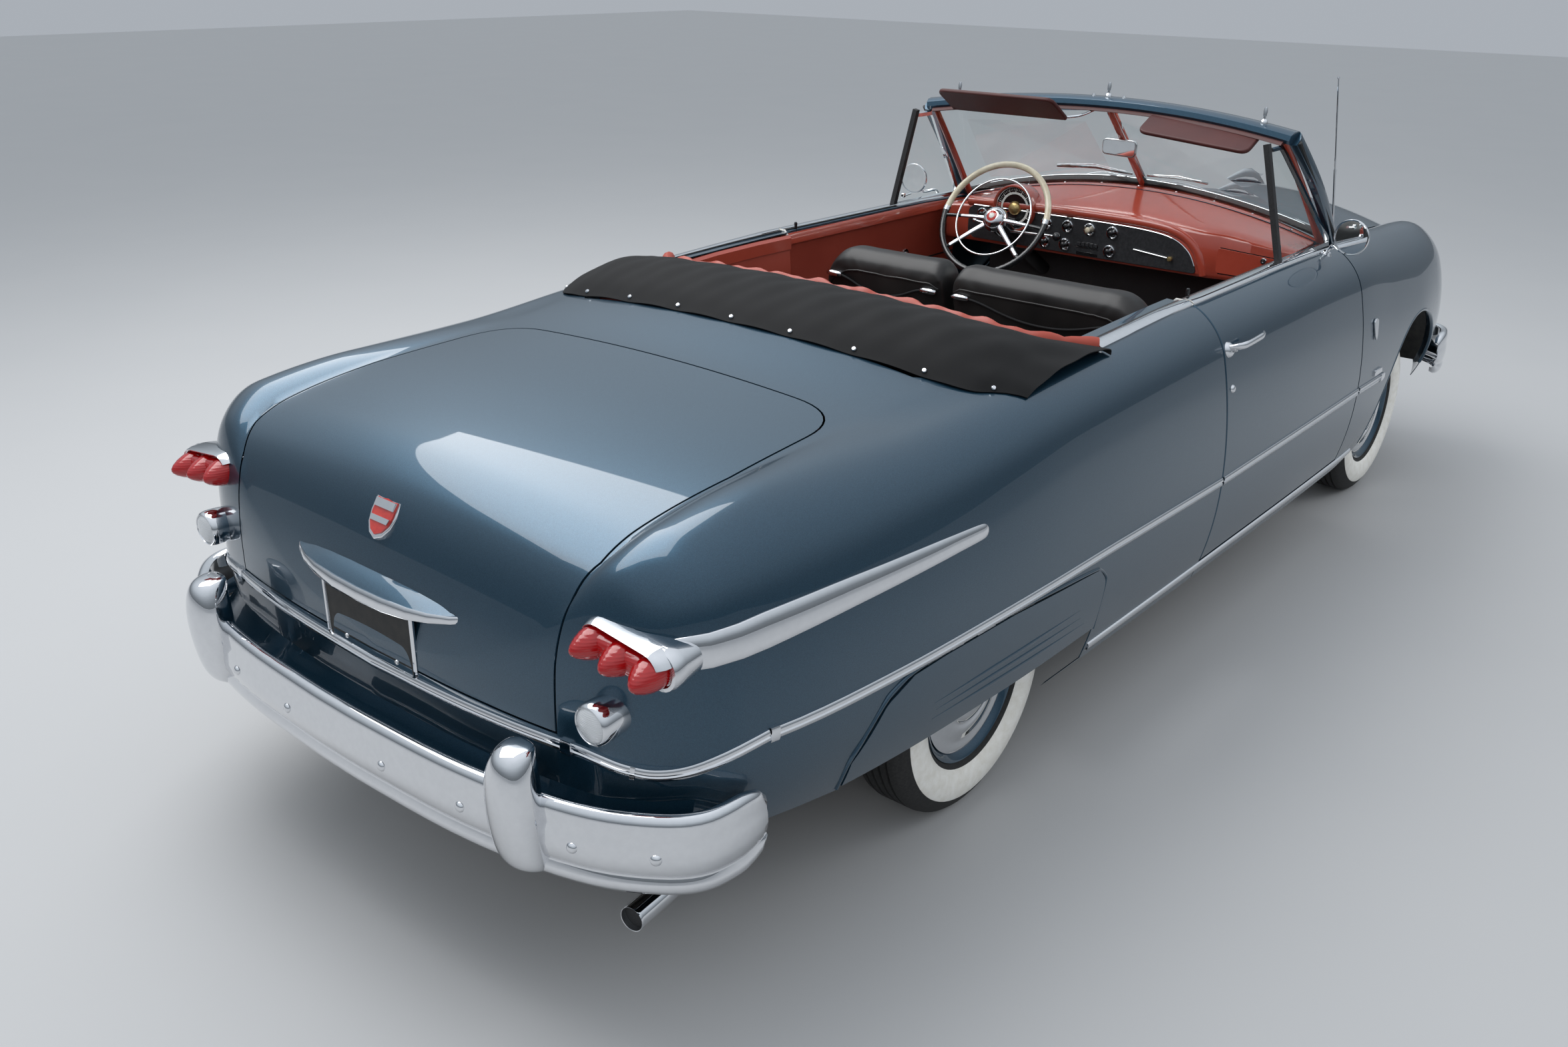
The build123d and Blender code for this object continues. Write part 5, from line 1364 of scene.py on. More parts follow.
def makeBadge():
    lean = Matrix.Rotation(math.radians(badge["lean"]), 4, "Y")
    place = Matrix.Translation((-2.298, 0, badge["height"])) @ lean
    plate = prism(shieldOutline(1.0), 0, -0.012, 0.004)
    bmesh.ops.transform(plate, matrix=place, verts=plate.verts)
    rounded(put("lidBadge", plate, looks["chrome"], "trunk_lid", bend=30), 0.0025, 2, 30)
    field = prism(shieldOutline(0.80), 0, -0.0145, -0.010)
    bmesh.ops.transform(field, matrix=place, verts=field.verts)
    put("lidBadgeField", field, looks["redEnamel"], "trunk_lid", bend=30)
    band = joined(prism(badge["upperBar"], 0, -0.0185, -0.010), prism(badge["lowerBar"], 0, -0.0175, -0.010))
    bmesh.ops.transform(band, matrix=place, verts=band.verts)
    put("lidBadgeBands", band, looks["chrome"], "trunk_lid", bend=30)


# Splash pan; rows: share of the way from the tail to the bumper, height
splashPan = {"half": 0.790, "steps": 32, "barMiddle": -2.470, "barGap": 0.030, "least": 0.045, "tailHeight": 0.545,
             "inset": 0.006, "rows": [(0.0, 0.550), (0.08, 0.515), (0.28, 0.486), (0.62, 0.462), (1.0, 0.440)],
             "thickness": 0.002}


def makeSplashPan():
    # The body-colour pan between the tail and the rear bumper
    outer = smoothLine([(x, y, 0) for x, y in bumperShape["rear"][2:]] + [(splashPan["barMiddle"], 0, 0)], 6)
    rows = []
    for k in range(splashPan["steps"] + 1):
        y = splashPan["half"] * (1 - k / splashPan["steps"])
        one = min(outer, key=lambda p: abs(p.y - y))
        lip = one.x + splashPan["barGap"]
        root = max(tailX(y, splashPan["tailHeight"]), one.x + splashPan["least"]) + splashPan["inset"]
        rows.append([Vector((root * (1 - share) + lip * share, y, z)) for share, z in splashPan["rows"]])
    rows += [[Vector((p.x, -p.y, p.z)) for p in row] for row in reversed(rows[:-1])]
    bm = bmesh.new()
    made = [[bm.verts.new(p) for p in row] for row in rows]
    for one, two in zip(made, made[1:]):
        for j in range(len(one) - 1):
            bm.faces.new((one[j], one[j + 1], two[j + 1], two[j]))
    bmesh.ops.recalc_face_normals(bm, faces=bm.faces)
    bm = settled(bm, ("SOLIDIFY", {"thickness": splashPan["thickness"], "offset": 0}))
    put("rearSplashPan", bm, looks["paint"], "body", bend=60)


makeSideStrips()
makeSpears()
makeSplashPan()
makeTailLamps()
makeLampHood()
makeBadge()
print("strips and rear lamps made")


# Cabin: front seat and its folding backs, cords, rear seat


def plumped(bm, voxel, cap):
    # Fills a closed form like a cushion: an even mesh, cloth blown up a little, and a cap on how far a point moves
    bm = settled(bm, ("REMESH", {"mode": "VOXEL", "voxel_size": voxel}))
    before = [vert.co.copy() for vert in bm.verts]
    pad = looseObject(bm, "pad")
    cloth = pad.modifiers.new("cloth", "CLOTH")
    cloth.settings.quality = 4
    cloth.settings.use_pressure = True
    cloth.settings.uniform_pressure_force = 4
    cloth.settings.effector_weights.gravity = 0
    cloth.point_cache.frame_start, cloth.point_cache.frame_end = 1, 20
    for moment in range(1, 21):
        bpy.context.scene.frame_set(moment)
    filled = bmesh.new()
    filled.from_mesh(pad.evaluated_get(bpy.context.evaluated_depsgraph_get()).to_mesh())
    bpy.data.objects.remove(pad)
    bpy.context.scene.frame_set(1)
    for vert, was in zip(filled.verts, before):
        move = vert.co - was
        if move.length > cap:
            vert.co = was + move.normalized() * cap
    bmesh.ops.smooth_vert(filled, verts=filled.verts, factor=0.5, use_axis_x=True, use_axis_y=True, use_axis_z=True)
    return filled


def weltOn(tree, points, size=0.006):
    # A thin piped seam that lies on a padded form
    spots, outs = [], []
    for point in points:
        spot, out = tree.find_nearest(Vector(point))[:2]
        spots.append(spot + out * size * 0.2)
        outs.append(out)
    return bar(spots, ringProfile(size, size, 6), normals=outs)


def cushionForm(profile, yLow, yHigh, roundLow, roundHigh, edge=0.030):
    # A side profile carried across, with rounded ends; roundLow and roundHigh are radii of the top corners
    middle = (sum(p[0] for p in profile) / len(profile), sum(p[1] for p in profile) / len(profile))
    top = max(p[1] for p in profile)
    places = seats["endSteps"]
    count = max(3, round((yHigh - yLow - 0.24) / 0.06))
    ys = ([yLow + p for p in places] + [yLow + 0.12 + (yHigh - yLow - 0.24) * k / count for k in range(1, count)]
          + [yHigh - p for p in reversed(places)])
    rings = []
    for y in ys:
        fromLow, fromHigh = y - yLow, yHigh - y
        near = min(fromLow, fromHigh)
        tuck = edge - math.sqrt(max(edge ** 2 - max(edge - near, 0) ** 2, 0))
        ring = []
        for x, z in profile:
            dx, dz = x - middle[0], z - middle[1]
            far = math.hypot(dx, dz)
            x, z = x - dx / far * tuck, z - dz / far * tuck
            for gap, radius in ((fromLow, roundLow), (fromHigh, roundHigh)):
                if gap < radius:
                    drop = radius - math.sqrt(radius ** 2 - (radius - gap) ** 2)
                    share = min(max((z - (top - 3 * radius)) / (3 * radius), 0), 1)
                    z -= drop * share
            ring.append(Vector((x, y, z)))
        rings.append(ring)
    return ringSolid(rings)


def channels(bm, keep, pitch, depth, middle=0.0):
    # Sewn channels down a padded face: keep says how much of the depth a point gets
    for vert in bm.verts:
        share = keep(vert)
        if share > 0:
            valley = 1 - abs(math.sin(math.pi * (vert.co.y - middle) / pitch))
            vert.co -= vert.normal * depth * share * valley ** 2.5
    return bm


seats = {"backProfile": roundedCorners([(-0.018, 0.612), (0.122, 0.660), (0.026, 1.026), (-0.002, 1.068),
                                        (-0.062, 1.070), (-0.106, 1.036)],
                                       {0: 0.02, 1: 0.03, 2: 0.03, 3: 0.03, 4: 0.03, 5: 0.03}, 4),
         "backs": {"left": (0.104, 0.597), "right": (-0.597, 0.088)}, "voxel": 0.010, "swell": 0.008,
         "channel": 0.058, "cushionProfile": roundedCorners([(0.006, 0.400), (0.470, 0.400), (0.530, 0.535),
                                                             (0.508, 0.600), (0.034, 0.580)],
                                                            {0: 0.02, 1: 0.04, 2: 0.03, 3: 0.04, 4: 0.03}, 4),
         "rearCushion": roundedCorners([(-0.745, 0.345), (-0.312, 0.345), (-0.282, 0.545), (-0.298, 0.580),
                                        (-0.690, 0.552)], {1: 0.03, 2: 0.03, 3: 0.03}, 4),
         "rearBack": roundedCorners([(-0.690, 0.560), (-0.790, 1.000), (-0.826, 1.030), (-0.888, 1.026),
                                     (-0.800, 0.550)], {1: 0.03, 2: 0.03, 3: 0.03}, 4), "clipHeight": 0.970,
         "cordDrop": [(0, 0), (0.07, 0), (0.3, 0.038), (0.5, 0.048), (0.7, 0.038), (0.93, 0), (1, 0)],
         "endSteps": [0, 0.003, 0.008, 0.016, 0.028, 0.045, 0.065, 0.09, 0.12],
         "clipRows": ((-0.036, 0.004, 0.003), (-0.032, 0.010, 0.008), (-0.015, 0.012, 0.011), (0.010, 0.0105, 0.010),
                      (0.024, 0.008, 0.008), (0.027, 0.005, 0.005)),
         "hingePlate": [(0.090, 0.560), (0.146, 0.560), (0.140, 0.672), (0.096, 0.672)]}


def behindSeat(z, off):
    share = (z - 0.605) / (1.040 - 0.605)
    return -0.020 - 0.090 * share - off


def makeSeatBack(side):
    low, high = seats["backs"][side]
    outer = 0.115
    bm = cushionForm(seats["backProfile"], low, high, outer if side == "right" else 0.055,
                     outer if side == "left" else 0.055)
    bm = plumped(bm, seats["voxel"], seats["swell"])
    bm = settled(bm, ("SUBSURF", {"levels": 1, "render_levels": 1}))

    def share(vert):
        if vert.normal.x < 0.3:
            return 0
        inside = min(vert.co.y - low, high - vert.co.y) - 0.055
        return min(max(inside / 0.02, 0), 1) * min(max((0.985 - vert.co.z) / 0.02, 0), 1)
    bm.normal_update()
    channels(bm, share, seats["channel"], 0.007, (low + high) / 2)
    tree = BVHTree.FromBMesh(bm)
    drop = [(low + (high - low) * k / 30) for k in range(31)]

    def seam(x, topZ):
        line = []
        for y in drop:
            outerGap = (high - y) if side == "left" else (y - low)
            innerGap = (y - low) if side == "left" else (high - y)
            bend = max(0.16 - outerGap, 0) ** 2 * 3.2 + max(0.05 - innerGap, 0) * 0.4
            line.append((x, min(max(y, low + 0.004), high - 0.004), topZ - bend))
        return line
    back = weltOn(tree, seam(-0.14, 0.992))
    front = weltOn(tree, seam(0.10, 0.990))
    name = f"seat_back_{side}"
    pad = put(f"{side}SeatBack", bm, looks["blackVinyl"], name, [name])
    put(f"{side}SeatBackWelts", joined(back, front), looks["blackVinyl"], name)
    sign = 1 if side == "left" else -1
    ends = (high - 0.057, low + 0.058) if sign == 1 else (low + 0.060, high - 0.058)
    clips = []
    z = seats["clipHeight"]
    for y in ends:
        inward = sign if y == ends[1] else -sign
        rings = []
        for t, wide, tall in seats["clipRows"]:
            centre = Vector((behindSeat(z, 0.011), y + inward * t, z + 0.001))
            rings.append([centre + Vector((wide * math.cos(2 * math.pi * k / 14), 0,
                                           tall * math.sin(2 * math.pi * k / 14))) for k in range(14)])
        clips.append(ringSolid(rings))
    clipPiece = put(f"{side}CordClips", joined(*clips), looks["chrome"], name, bend=60)
    y0, y1 = (0.540, 0.162) if sign == 1 else (-0.540, 0.030)
    span = abs(y0 - y1) - 0.024
    points = [(behindSeat(z - fall, 0.010), y0 - sign * (0.012 + part * span), z - fall)
              for part, fall in seats["cordDrop"]]
    curve = bpy.data.curves.new(f"{side}AssistCord", "CURVE")
    curve.dimensions = "3D"
    curve.bevel_depth = 0.004
    curve.bevel_resolution = 4
    curve.use_fill_caps = True
    line = curve.splines.new("NURBS")
    line.points.add(len(points) - 1)
    for spot, place in zip(line.points, points):
        spot.co = (*place, 1)
    line.order_u = 3
    line.use_endpoint_u = True
    line.resolution_u = 10
    cord = bpy.data.objects.new(f"{side}AssistCord", curve)
    bpy.context.scene.collection.objects.link(cord)
    curve.materials.append(looks["cord"])
    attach(cord, name)
    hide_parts(f"assist_cord_{side}")
    return clipPiece


def pleatShare(low, high, top):
    def share(vert):
        inside = 0.54 - abs(vert.co.y)
        return (min(max(inside / 0.02, 0), 1) * min(max((vert.co.x - low) / 0.03, 0), 1)
                * min(max((high - vert.co.x) / 0.03, 0), 1) * (1 if vert.normal.z > 0.3 or not top else 0))
    return share


def makeBenches():
    bm = plumped(cushionForm(seats["cushionProfile"], -0.594, 0.594, 0.0001, 0.0001), 0.012, 0.008)
    bm = settled(bm, ("SUBSURF", {"levels": 1, "render_levels": 1}))
    bm.normal_update()
    channels(bm, pleatShare(0.09, 0.44, True), seats["channel"], 0.008)
    tree = BVHTree.FromBMesh(bm)
    welt = weltOn(tree, [(0.60, -0.575 + 1.15 * k / 40, 0.590) for k in range(41)])
    cushion = put("frontCushion", bm, looks["blackVinyl"], "body", ["front_seat"])
    put("frontCushionWelt", welt, looks["blackVinyl"], "body")
    base = [block((0.020, -0.560, 0.3175), (0.450, 0.560, 0.400))]
    rounded(put("frontSeatRiser", joined(*base), looks["frameBlack"], "body"), 0.008)
    plates = [prism(seats["hingePlate"], 1, y - 0.004, y + 0.004) for y in (-0.605, 0.096, 0.605)]
    plates.append(drum((0.118, 0, 0.650), (0, 1, 0), 0.009, 1.2, 24))
    rounded(put("frontSeatHinges", joined(*plates), looks["dullChrome"], "body", bend=30), 0.0015, 1)
    bm = plumped(cushionForm(seats["rearCushion"], -0.586, 0.586, 0.0001, 0.0001), 0.014, 0.008)
    bm.normal_update()
    channels(bm, pleatShare(-0.66, -0.36, True), seats["channel"], 0.008)
    put("rearCushion", bm, looks["blackVinyl"], "body", ["rear_seat"])
    bm = plumped(cushionForm(seats["rearBack"], -0.586, 0.586, 0.05, 0.05), 0.014, 0.008)
    bm.normal_update()
    channels(bm, lambda v: min(max((0.54 - abs(v.co.y)) / 0.02, 0), 1) * (1 if v.normal.x > 0.3 else 0)
             * min(max((0.96 - v.co.z) / 0.02, 0), 1), seats["channel"], 0.008)
    put("rearSeatBack", bm, looks["blackVinyl"], "body")


for side in ("left", "right"):
    makeSeatBack(side)
makeBenches()
print("seats made")

# Boot cover over the folded top
# Rows across: y, rear foot (x, z), ridge (x, z), front lip (x, z)
boot = {"rows": [(0.000, -1.251, 1.136, -1.062, 1.190, -0.880, 1.150),
                 (0.190, -1.247, 1.131, -1.061, 1.188, -0.880, 1.148),
                 (0.380, -1.238, 1.112, -1.058, 1.182, -0.880, 1.142),
                 (0.573, -1.218, 1.090, -1.046, 1.166, -0.868, 1.128),
                 (0.640, -1.210, 1.082, -1.038, 1.150, -0.850, 1.117),
                 (0.700, -1.196, 1.072, -1.018, 1.128, -0.790, 1.102),
                 (0.745, -1.165, 1.062, -0.985, 1.104, -0.715, 1.090),
                 (0.775, -1.080, 1.058, -0.945, 1.082, -0.700, 1.080)], "stand": 0.003, "thickness": 0.0025,
        "snaps": [0.0, 0.186, 0.377, 0.573, 0.730],
        "snapShape": [(0.0, 0.0042), (0.0045, 0.0038), (0.0062, 0.002), (0.0066, 0.0), (0.0, -0.001)],
        "sideSnapShape": [(0.0, 0.0042), (0.0045, 0.0038), (0.0062, 0.002), (0.0066, 0.0), (0.0, -0.003)]}


def bootRow(y):
    rows = boot["rows"]
    for one, two in zip(rows, rows[1:]):
        if y <= two[0] + 1e-9:
            t = (y - one[0]) / (two[0] - one[0])
            return [a + (b - a) * t for a, b in zip(one, two)]
    return rows[-1]


def bootSmooth(y):
    # The row at y, averaged over its neighbours so that the rows run into one another
    parts = [bootRow(min(max(abs(y + d), 0), 0.775)) for d in (-0.045, -0.025, 0.0, 0.025, 0.045)]
    mean = [sum(values) / len(parts) for values in zip(*parts)]
    mean[0] = y
    return mean


def bootPoint(y, t):
    # t runs from the rear edge, 0, over the ridge to the front lip, 1
    row = bootSmooth(y)
    rear, ridge, lip = Vector((row[1], row[2])), Vector((row[3], row[4])), Vector((row[5], row[6]))
    y, body = row[0], topPoint(row[1], min(abs(row[0]), 0.86))[0].z
    rear.y = body + boot["stand"]
    knots = [rear, rear.lerp(ridge, 0.36) + Vector((0, 0.42 * (ridge.y - rear.y) * 0.5)), ridge,
             ridge.lerp(lip, 0.62) + Vector((0, 0.012)), lip + Vector((0, 0.002)), lip + Vector((0.006, -0.018))]
    line = smoothLine([(p.x, 0, p.y) for p in knots], 6)
    at = t * (len(line) - 1)
    i = min(int(at), len(line) - 2)
    spot = line[i].lerp(line[i + 1], at - i)
    return Vector((spot.x, y, spot.z))


def makeBootCover():
    across, around = 124, 34
    bm = bmesh.new()
    grid = []
    for i in range(across + 1):
        y = -0.792 + 1.584 * i / across
        grid.append([bootPoint(y, j / around) for j in range(around + 1)])
    edge = [max(0, (abs(row[0].y) - 0.60) / 0.19) for row in grid]
    for i, row in enumerate(grid):
        for j, point in enumerate(row):
            t = j / around
            pull = sum(math.exp(-((point.y - side * y) / 0.05) ** 2) for y in boot["snaps"]
                       for side in ((1, -1) if y else (1,)))
            free = math.sin(math.pi * min(t * 1.15, 1)) * (1 - 0.5 * edge[i])
            folds = (0.0022 * math.sin(point.y * 34 + 3.1 * math.sin(point.x * 9))
                     + 0.0016 * math.sin(point.y * 71 + point.x * 26)
                     + 0.0030 * edge[i] * math.sin(point.x * 46 + point.y * 30))
            between = 0.0035 * (1 - min(pull, 1)) * math.exp(-t * 9)
            point.z += folds * free + between
            if abs(point.y) > 0.70:
                floorZ = topPoint(point.x, min(abs(point.y), 0.86))[0].z
                point.z = max(point.z, floorZ + boot["stand"])
    verts = [[bm.verts.new(p) for p in row] for row in grid]
    for one, two in zip(verts, verts[1:]):
        for j in range(around):
            bm.faces.new((one[j], two[j], two[j + 1], one[j + 1]))
    bm.normal_update()
    upper = max(bm.faces, key=lambda face: face.calc_center_median().z)
    if upper.normal.z < 0:
        bmesh.ops.reverse_faces(bm, faces=bm.faces)
    flatArea = sum(face.calc_area() for face in bm.faces)
    bm = settled(bm, ("SOLIDIFY", {"thickness": boot["thickness"], "offset": -1}))
    cover = put("bootCover", bm, looks["bootCloth"], "body", ["boot_cover"], keepNormals=True)
    snaps = []
    for y in boot["snaps"]:
        for side in ((1, -1) if y else (1,)):
            i = round((side * y + 0.792) / 1.584 * across)
            j = 2
            spot = grid[i][j]
            out = (grid[i][j + 1] - grid[i][j - 1]).cross(grid[min(i + 1, across)][j] - grid[i - 1][j]).normalized()
            out = out if out.z > 0 else -out
            snaps.append(turned(boot["snapShape"], spot + out * 0.001, out, 18))
    for side in (1, -1):
        point = Vector((-0.722, side * 0.772, 1.0))
        spot, out = topPoint(point.x, 0.772)
        spot = Vector((spot.x, side * spot.y, spot.z + 0.006))
        snaps.append(turned(boot["sideSnapShape"], spot, (0, side * out.y, out.z), 18))
    snapPiece = put("bootSnaps", joined(*snaps), looks["chrome"], "body")
    lip = [row[-1] + Vector((0.024, 0, 0.002)) for row in grid[3:-3]]
    roll = [p + Vector((0.004 * math.sin(p.y * 61), 0, 0.003 * math.sin(p.y * 47 + 1) - 0.004)) for p in lip]
    sizes = [1 + 0.10 * math.sin(p.y * 83) + 0.06 * math.sin(p.y * 37) for p in roll]
    band = put("bootRedEdge", bar(roll, ringProfile(0.036, 0.052, 12), taper=sizes), looks["redVinyl"], "body")


makeBootCover()
print("boot cover made")

# Dash, gauge, switches, steering wheel
dash = {"half": 0.686, "rows": [(0.966, 1.187, 1.086), (0.935, 1.176, 1.083), (0.895, 1.161, 1.082),
                                (0.850, 1.145, 1.081), (0.822, 1.132, 1.081), (0.802, 1.118, 1.077),
                                (0.793, 1.103, 1.070)], "under": [(0.791, 1.020), (0.792, 0.962), (0.802, 0.948),
                                                                  (0.830, 0.944), (0.880, 0.962), (0.968, 1.010)],
        "panelX": 0.7885, "gauge": (0.380, 1.096), "gaugeRadius": 0.084, "glove": (-0.655, -0.425, 0.972, 1.052),
        "stripSection": [(-0.0026, -0.002), (-0.002, 0.001), (0.0, 0.0022), (0.002, 0.001), (0.0026, -0.002)],
        "moulding": [(0.800, 0.590, 1.098), (0.797, 0.300, 1.107), (0.797, 0.0, 1.110), (0.797, -0.190, 1.104),
                     (0.797, -0.290, 1.084), (0.797, -0.348, 1.042), (0.798, -0.374, 0.990), (0.802, -0.384, 0.956)],
        "mouldingSection": [(-0.018, -0.008), (-0.016, 0.006), (-0.006, 0.014), (0.006, 0.014), (0.016, 0.006),
                            (0.018, -0.008)],
        "lockShape": [(0.0, 0.004), (0.0035, 0.004), (0.004, 0.0065), (0.0095, 0.0060), (0.0115, 0.003),
                      (0.012, 0.0), (0.0, -0.002)],
        "hook": [(0.800, -0.662, 1.062), (0.776, -0.664, 1.056), (0.770, -0.664, 1.030), (0.778, -0.664, 1.014)],
        "gaugeHood": [(0.080, -0.070), (0.086, -0.055), (0.0885, -0.020), (0.0885, 0.012), (0.086, 0.017),
                      (0.0815, 0.017), (0.079, 0.011), (0.078, -0.004), (0.0, -0.006)],
        "gaugeBezel": [(0.0792, -0.002), (0.0792, 0.006), (0.0775, 0.0085), (0.0755, 0.006), (0.0745, -0.002)],
        "gaugeDial": [(0.0755, 0.0), (0.040, -0.001), (0.0, -0.001)],
        "gaugeBand": [(0.060, 0.0), (0.0602, 0.001), (0.052, 0.0012), (0.0518, 0.0)],
        "gaugeDome": [(0.026, -0.002), (0.0255, 0.003), (0.0215, 0.009), (0.012, 0.0135), (0.0, 0.015)]}
panelOutline = [(0.585, 0.985), (0.585, 1.072), (0.560, 1.088), (0.300, 1.090), (0.0, 1.090), (-0.180, 1.083),
                (-0.270, 1.066), (-0.325, 1.030), (-0.352, 0.985), (-0.362, 0.958), (0.0, 0.958), (0.560, 0.962)]


def makeDash():
    rings = []
    count = 56
    for k in range(count + 1):
        y = -dash["half"] + 2 * dash["half"] * k / count
        crown = 1 - (y / dash["half"]) ** 2
        front = shield["base"][0] + (shield["baseMiddle"][0] - shield["base"][0]) * crown - 0.008
        ring = [topPoint(x, abs(y))[0] + Vector((0, 0, 0.004)) for x in (front, (front + 0.985) / 2, 0.985)]
        ring = [Vector((p.x, y, p.z)) for p in ring]
        ring += [Vector((x, y, ends + (middle - ends) * crown)) for x, middle, ends in dash["rows"]]
        ring += [Vector((x, y, z)) for x, z in dash["under"]] + [Vector((0.972, y, ring[2].z - 0.012))]
        if y < -0.40:
            back = min((-0.40 - y) / 0.03, 1) * 0.010
            ring = [Vector((p.x + (back if p.x < 0.81 else 0), p.y, p.z)) for p in ring]
        rings.append(ring)
    shell = put("dashShell", ringSolid(rings), looks["redPaint"], "body", ["dash"], bend=50)
    rounded(shell, 0.004, 2, 40)
    x = dash["panelX"]
    outline = roundedCorners(panelOutline, {1: 0.02, 9: 0.012, 11: 0.02}, 4)
    panel = prism(outline, 0, x, 0.800)
    rounded(put("gaugePanel", panel, looks["charcoal"], "body", bend=30), 0.0015, 1)
    edge = smoothLine([(x - 0.001, y, z) for y, z in panelOutline[2:9]], 5)
    put("panelStrip", bar(edge, dash["stripSection"], normals=[(-1, 0, 0)] * len(edge)), looks["chrome"], "body")
    wrap = smoothLine(dash["moulding"], 6)
    put("panelMoulding", bar(wrap, dash["mouldingSection"], normals=[(-1, 0, 0)] * len(wrap)), looks["redPaint"],
        "body", bend=60)
    y0, y1, z0, z1 = dash["glove"]
    door = [(y0, z0), (y1, z0), (y1, z1 + 0.006), (y0, z1 - 0.006)]
    # A black gloss outline just behind the glove box door: painted shade that stands for the dark gap round the door
    put("gloveGapPaintedShade", prism(roundedCorners(grown(door, 0.003), {i: 0.014 for i in range(4)}, 4), 0, 0.8005, 0.812),
        looks["blackGloss"], "body")
    rounded(put("gloveDoor", prism(roundedCorners(door, {i: 0.012 for i in range(4)}, 4), 0, 0.7985, 0.812),
                looks["redPaint"], "body", bend=30), 0.001, 1)
    lock = turned(dash["lockShape"], (0.7985, -0.590, 1.036), (-1, 0, 0), 28)
    put("gloveLock", lock, looks["chrome"], "body")
    hook = smoothLine(dash["hook"], 5)
    put("dashHook", bar(hook, ringProfile(0.007, 0.007, 8)), looks["chrome"], "body")


def makeGauge():
    y, z = dash["gauge"]
    radius = dash["gaugeRadius"]
    pod = turned(dash["gaugeHood"], (0.785, y, z), (-1, 0, 0), 64)
    put("gaugeHood", pod, looks["redPaint"], "body")
    ring = turned(dash["gaugeBezel"], (0.785, y, z), (-1, 0, 0), 64)
    put("gaugeBezel", ring, looks["chrome"], "body")
    put("gaugeDial", turned(dash["gaugeDial"], (0.7855, y, z), (-1, 0, 0), 64), looks["blackGloss"], "body")
    marks = []
    for k in range(41):
        turn = math.radians(-30 + 240 * k / 40)
        inner = radius * (0.70 if k % 4 == 0 else 0.78)
        outer = radius * 0.855
        wide = 0.0013 if k % 4 == 0 else 0.0006
        a = Vector((0.7842, y + inner * math.cos(turn), z + inner * math.sin(turn)))
        b = Vector((0.7842, y + outer * math.cos(turn), z + outer * math.sin(turn)))
        marks.append(bar([a, b], [(-wide, -0.0004), (-wide, 0.0004), (wide, 0.0004), (wide, -0.0004)],
                         normals=[(-1, 0, 0)] * 2))
    low = turned(dash["gaugeBand"], (0.7850, y, z), (-1, 0, 0), 48)
    marks.append(low)
    put("gaugeMarks", joined(*marks), looks["whitePaint"], "body")
    dome = turned(dash["gaugeDome"], (0.785, y, z), (-1, 0, 0), 40)
    put("gaugeDome", dome, looks["gold"], "body")
    needle = bar([Vector((0.7815, y, z)), Vector((0.7815, y + 0.048, z - 0.026))], ringProfile(0.0022, 0.0012, 6),
                 normals=[(-1, 0, 0)] * 2, taper=[1.4, 0.5])
    put("gaugeNeedle", needle, looks["redEnamel"], "body")


switches = {"upper": (1.058, [0.520, 0.458, 0.240, 0.152, 0.062, -0.030]), "lower": (0.990, [0.244, 0.158, -0.024]),
            "radio": (0.108, 0.022, 0.988),
            "ring": [(0.0165, 0.0), (0.0170, 0.0040), (0.0195, 0.0062), (0.0228, 0.0048), (0.0240, 0.0),
                     (0.0165, -0.001)],
            "knob": [(0.0, 0.022), (0.006, 0.0215), (0.0095, 0.0190), (0.0100, 0.0140), (0.0085, 0.0110),
                     (0.0060, 0.0080), (0.0060, 0.0), (0.0, 0.0)],
            "handleKnob": [(0.0, 0.016), (0.007, 0.015), (0.0090, 0.011), (0.0060, 0.006), (0.0075, 0.0), (0.0, 0.0)],
            "screw": [(0.0, 0.0022), (0.003, 0.0018), (0.0044, 0.0), (0.0, -0.001)]}


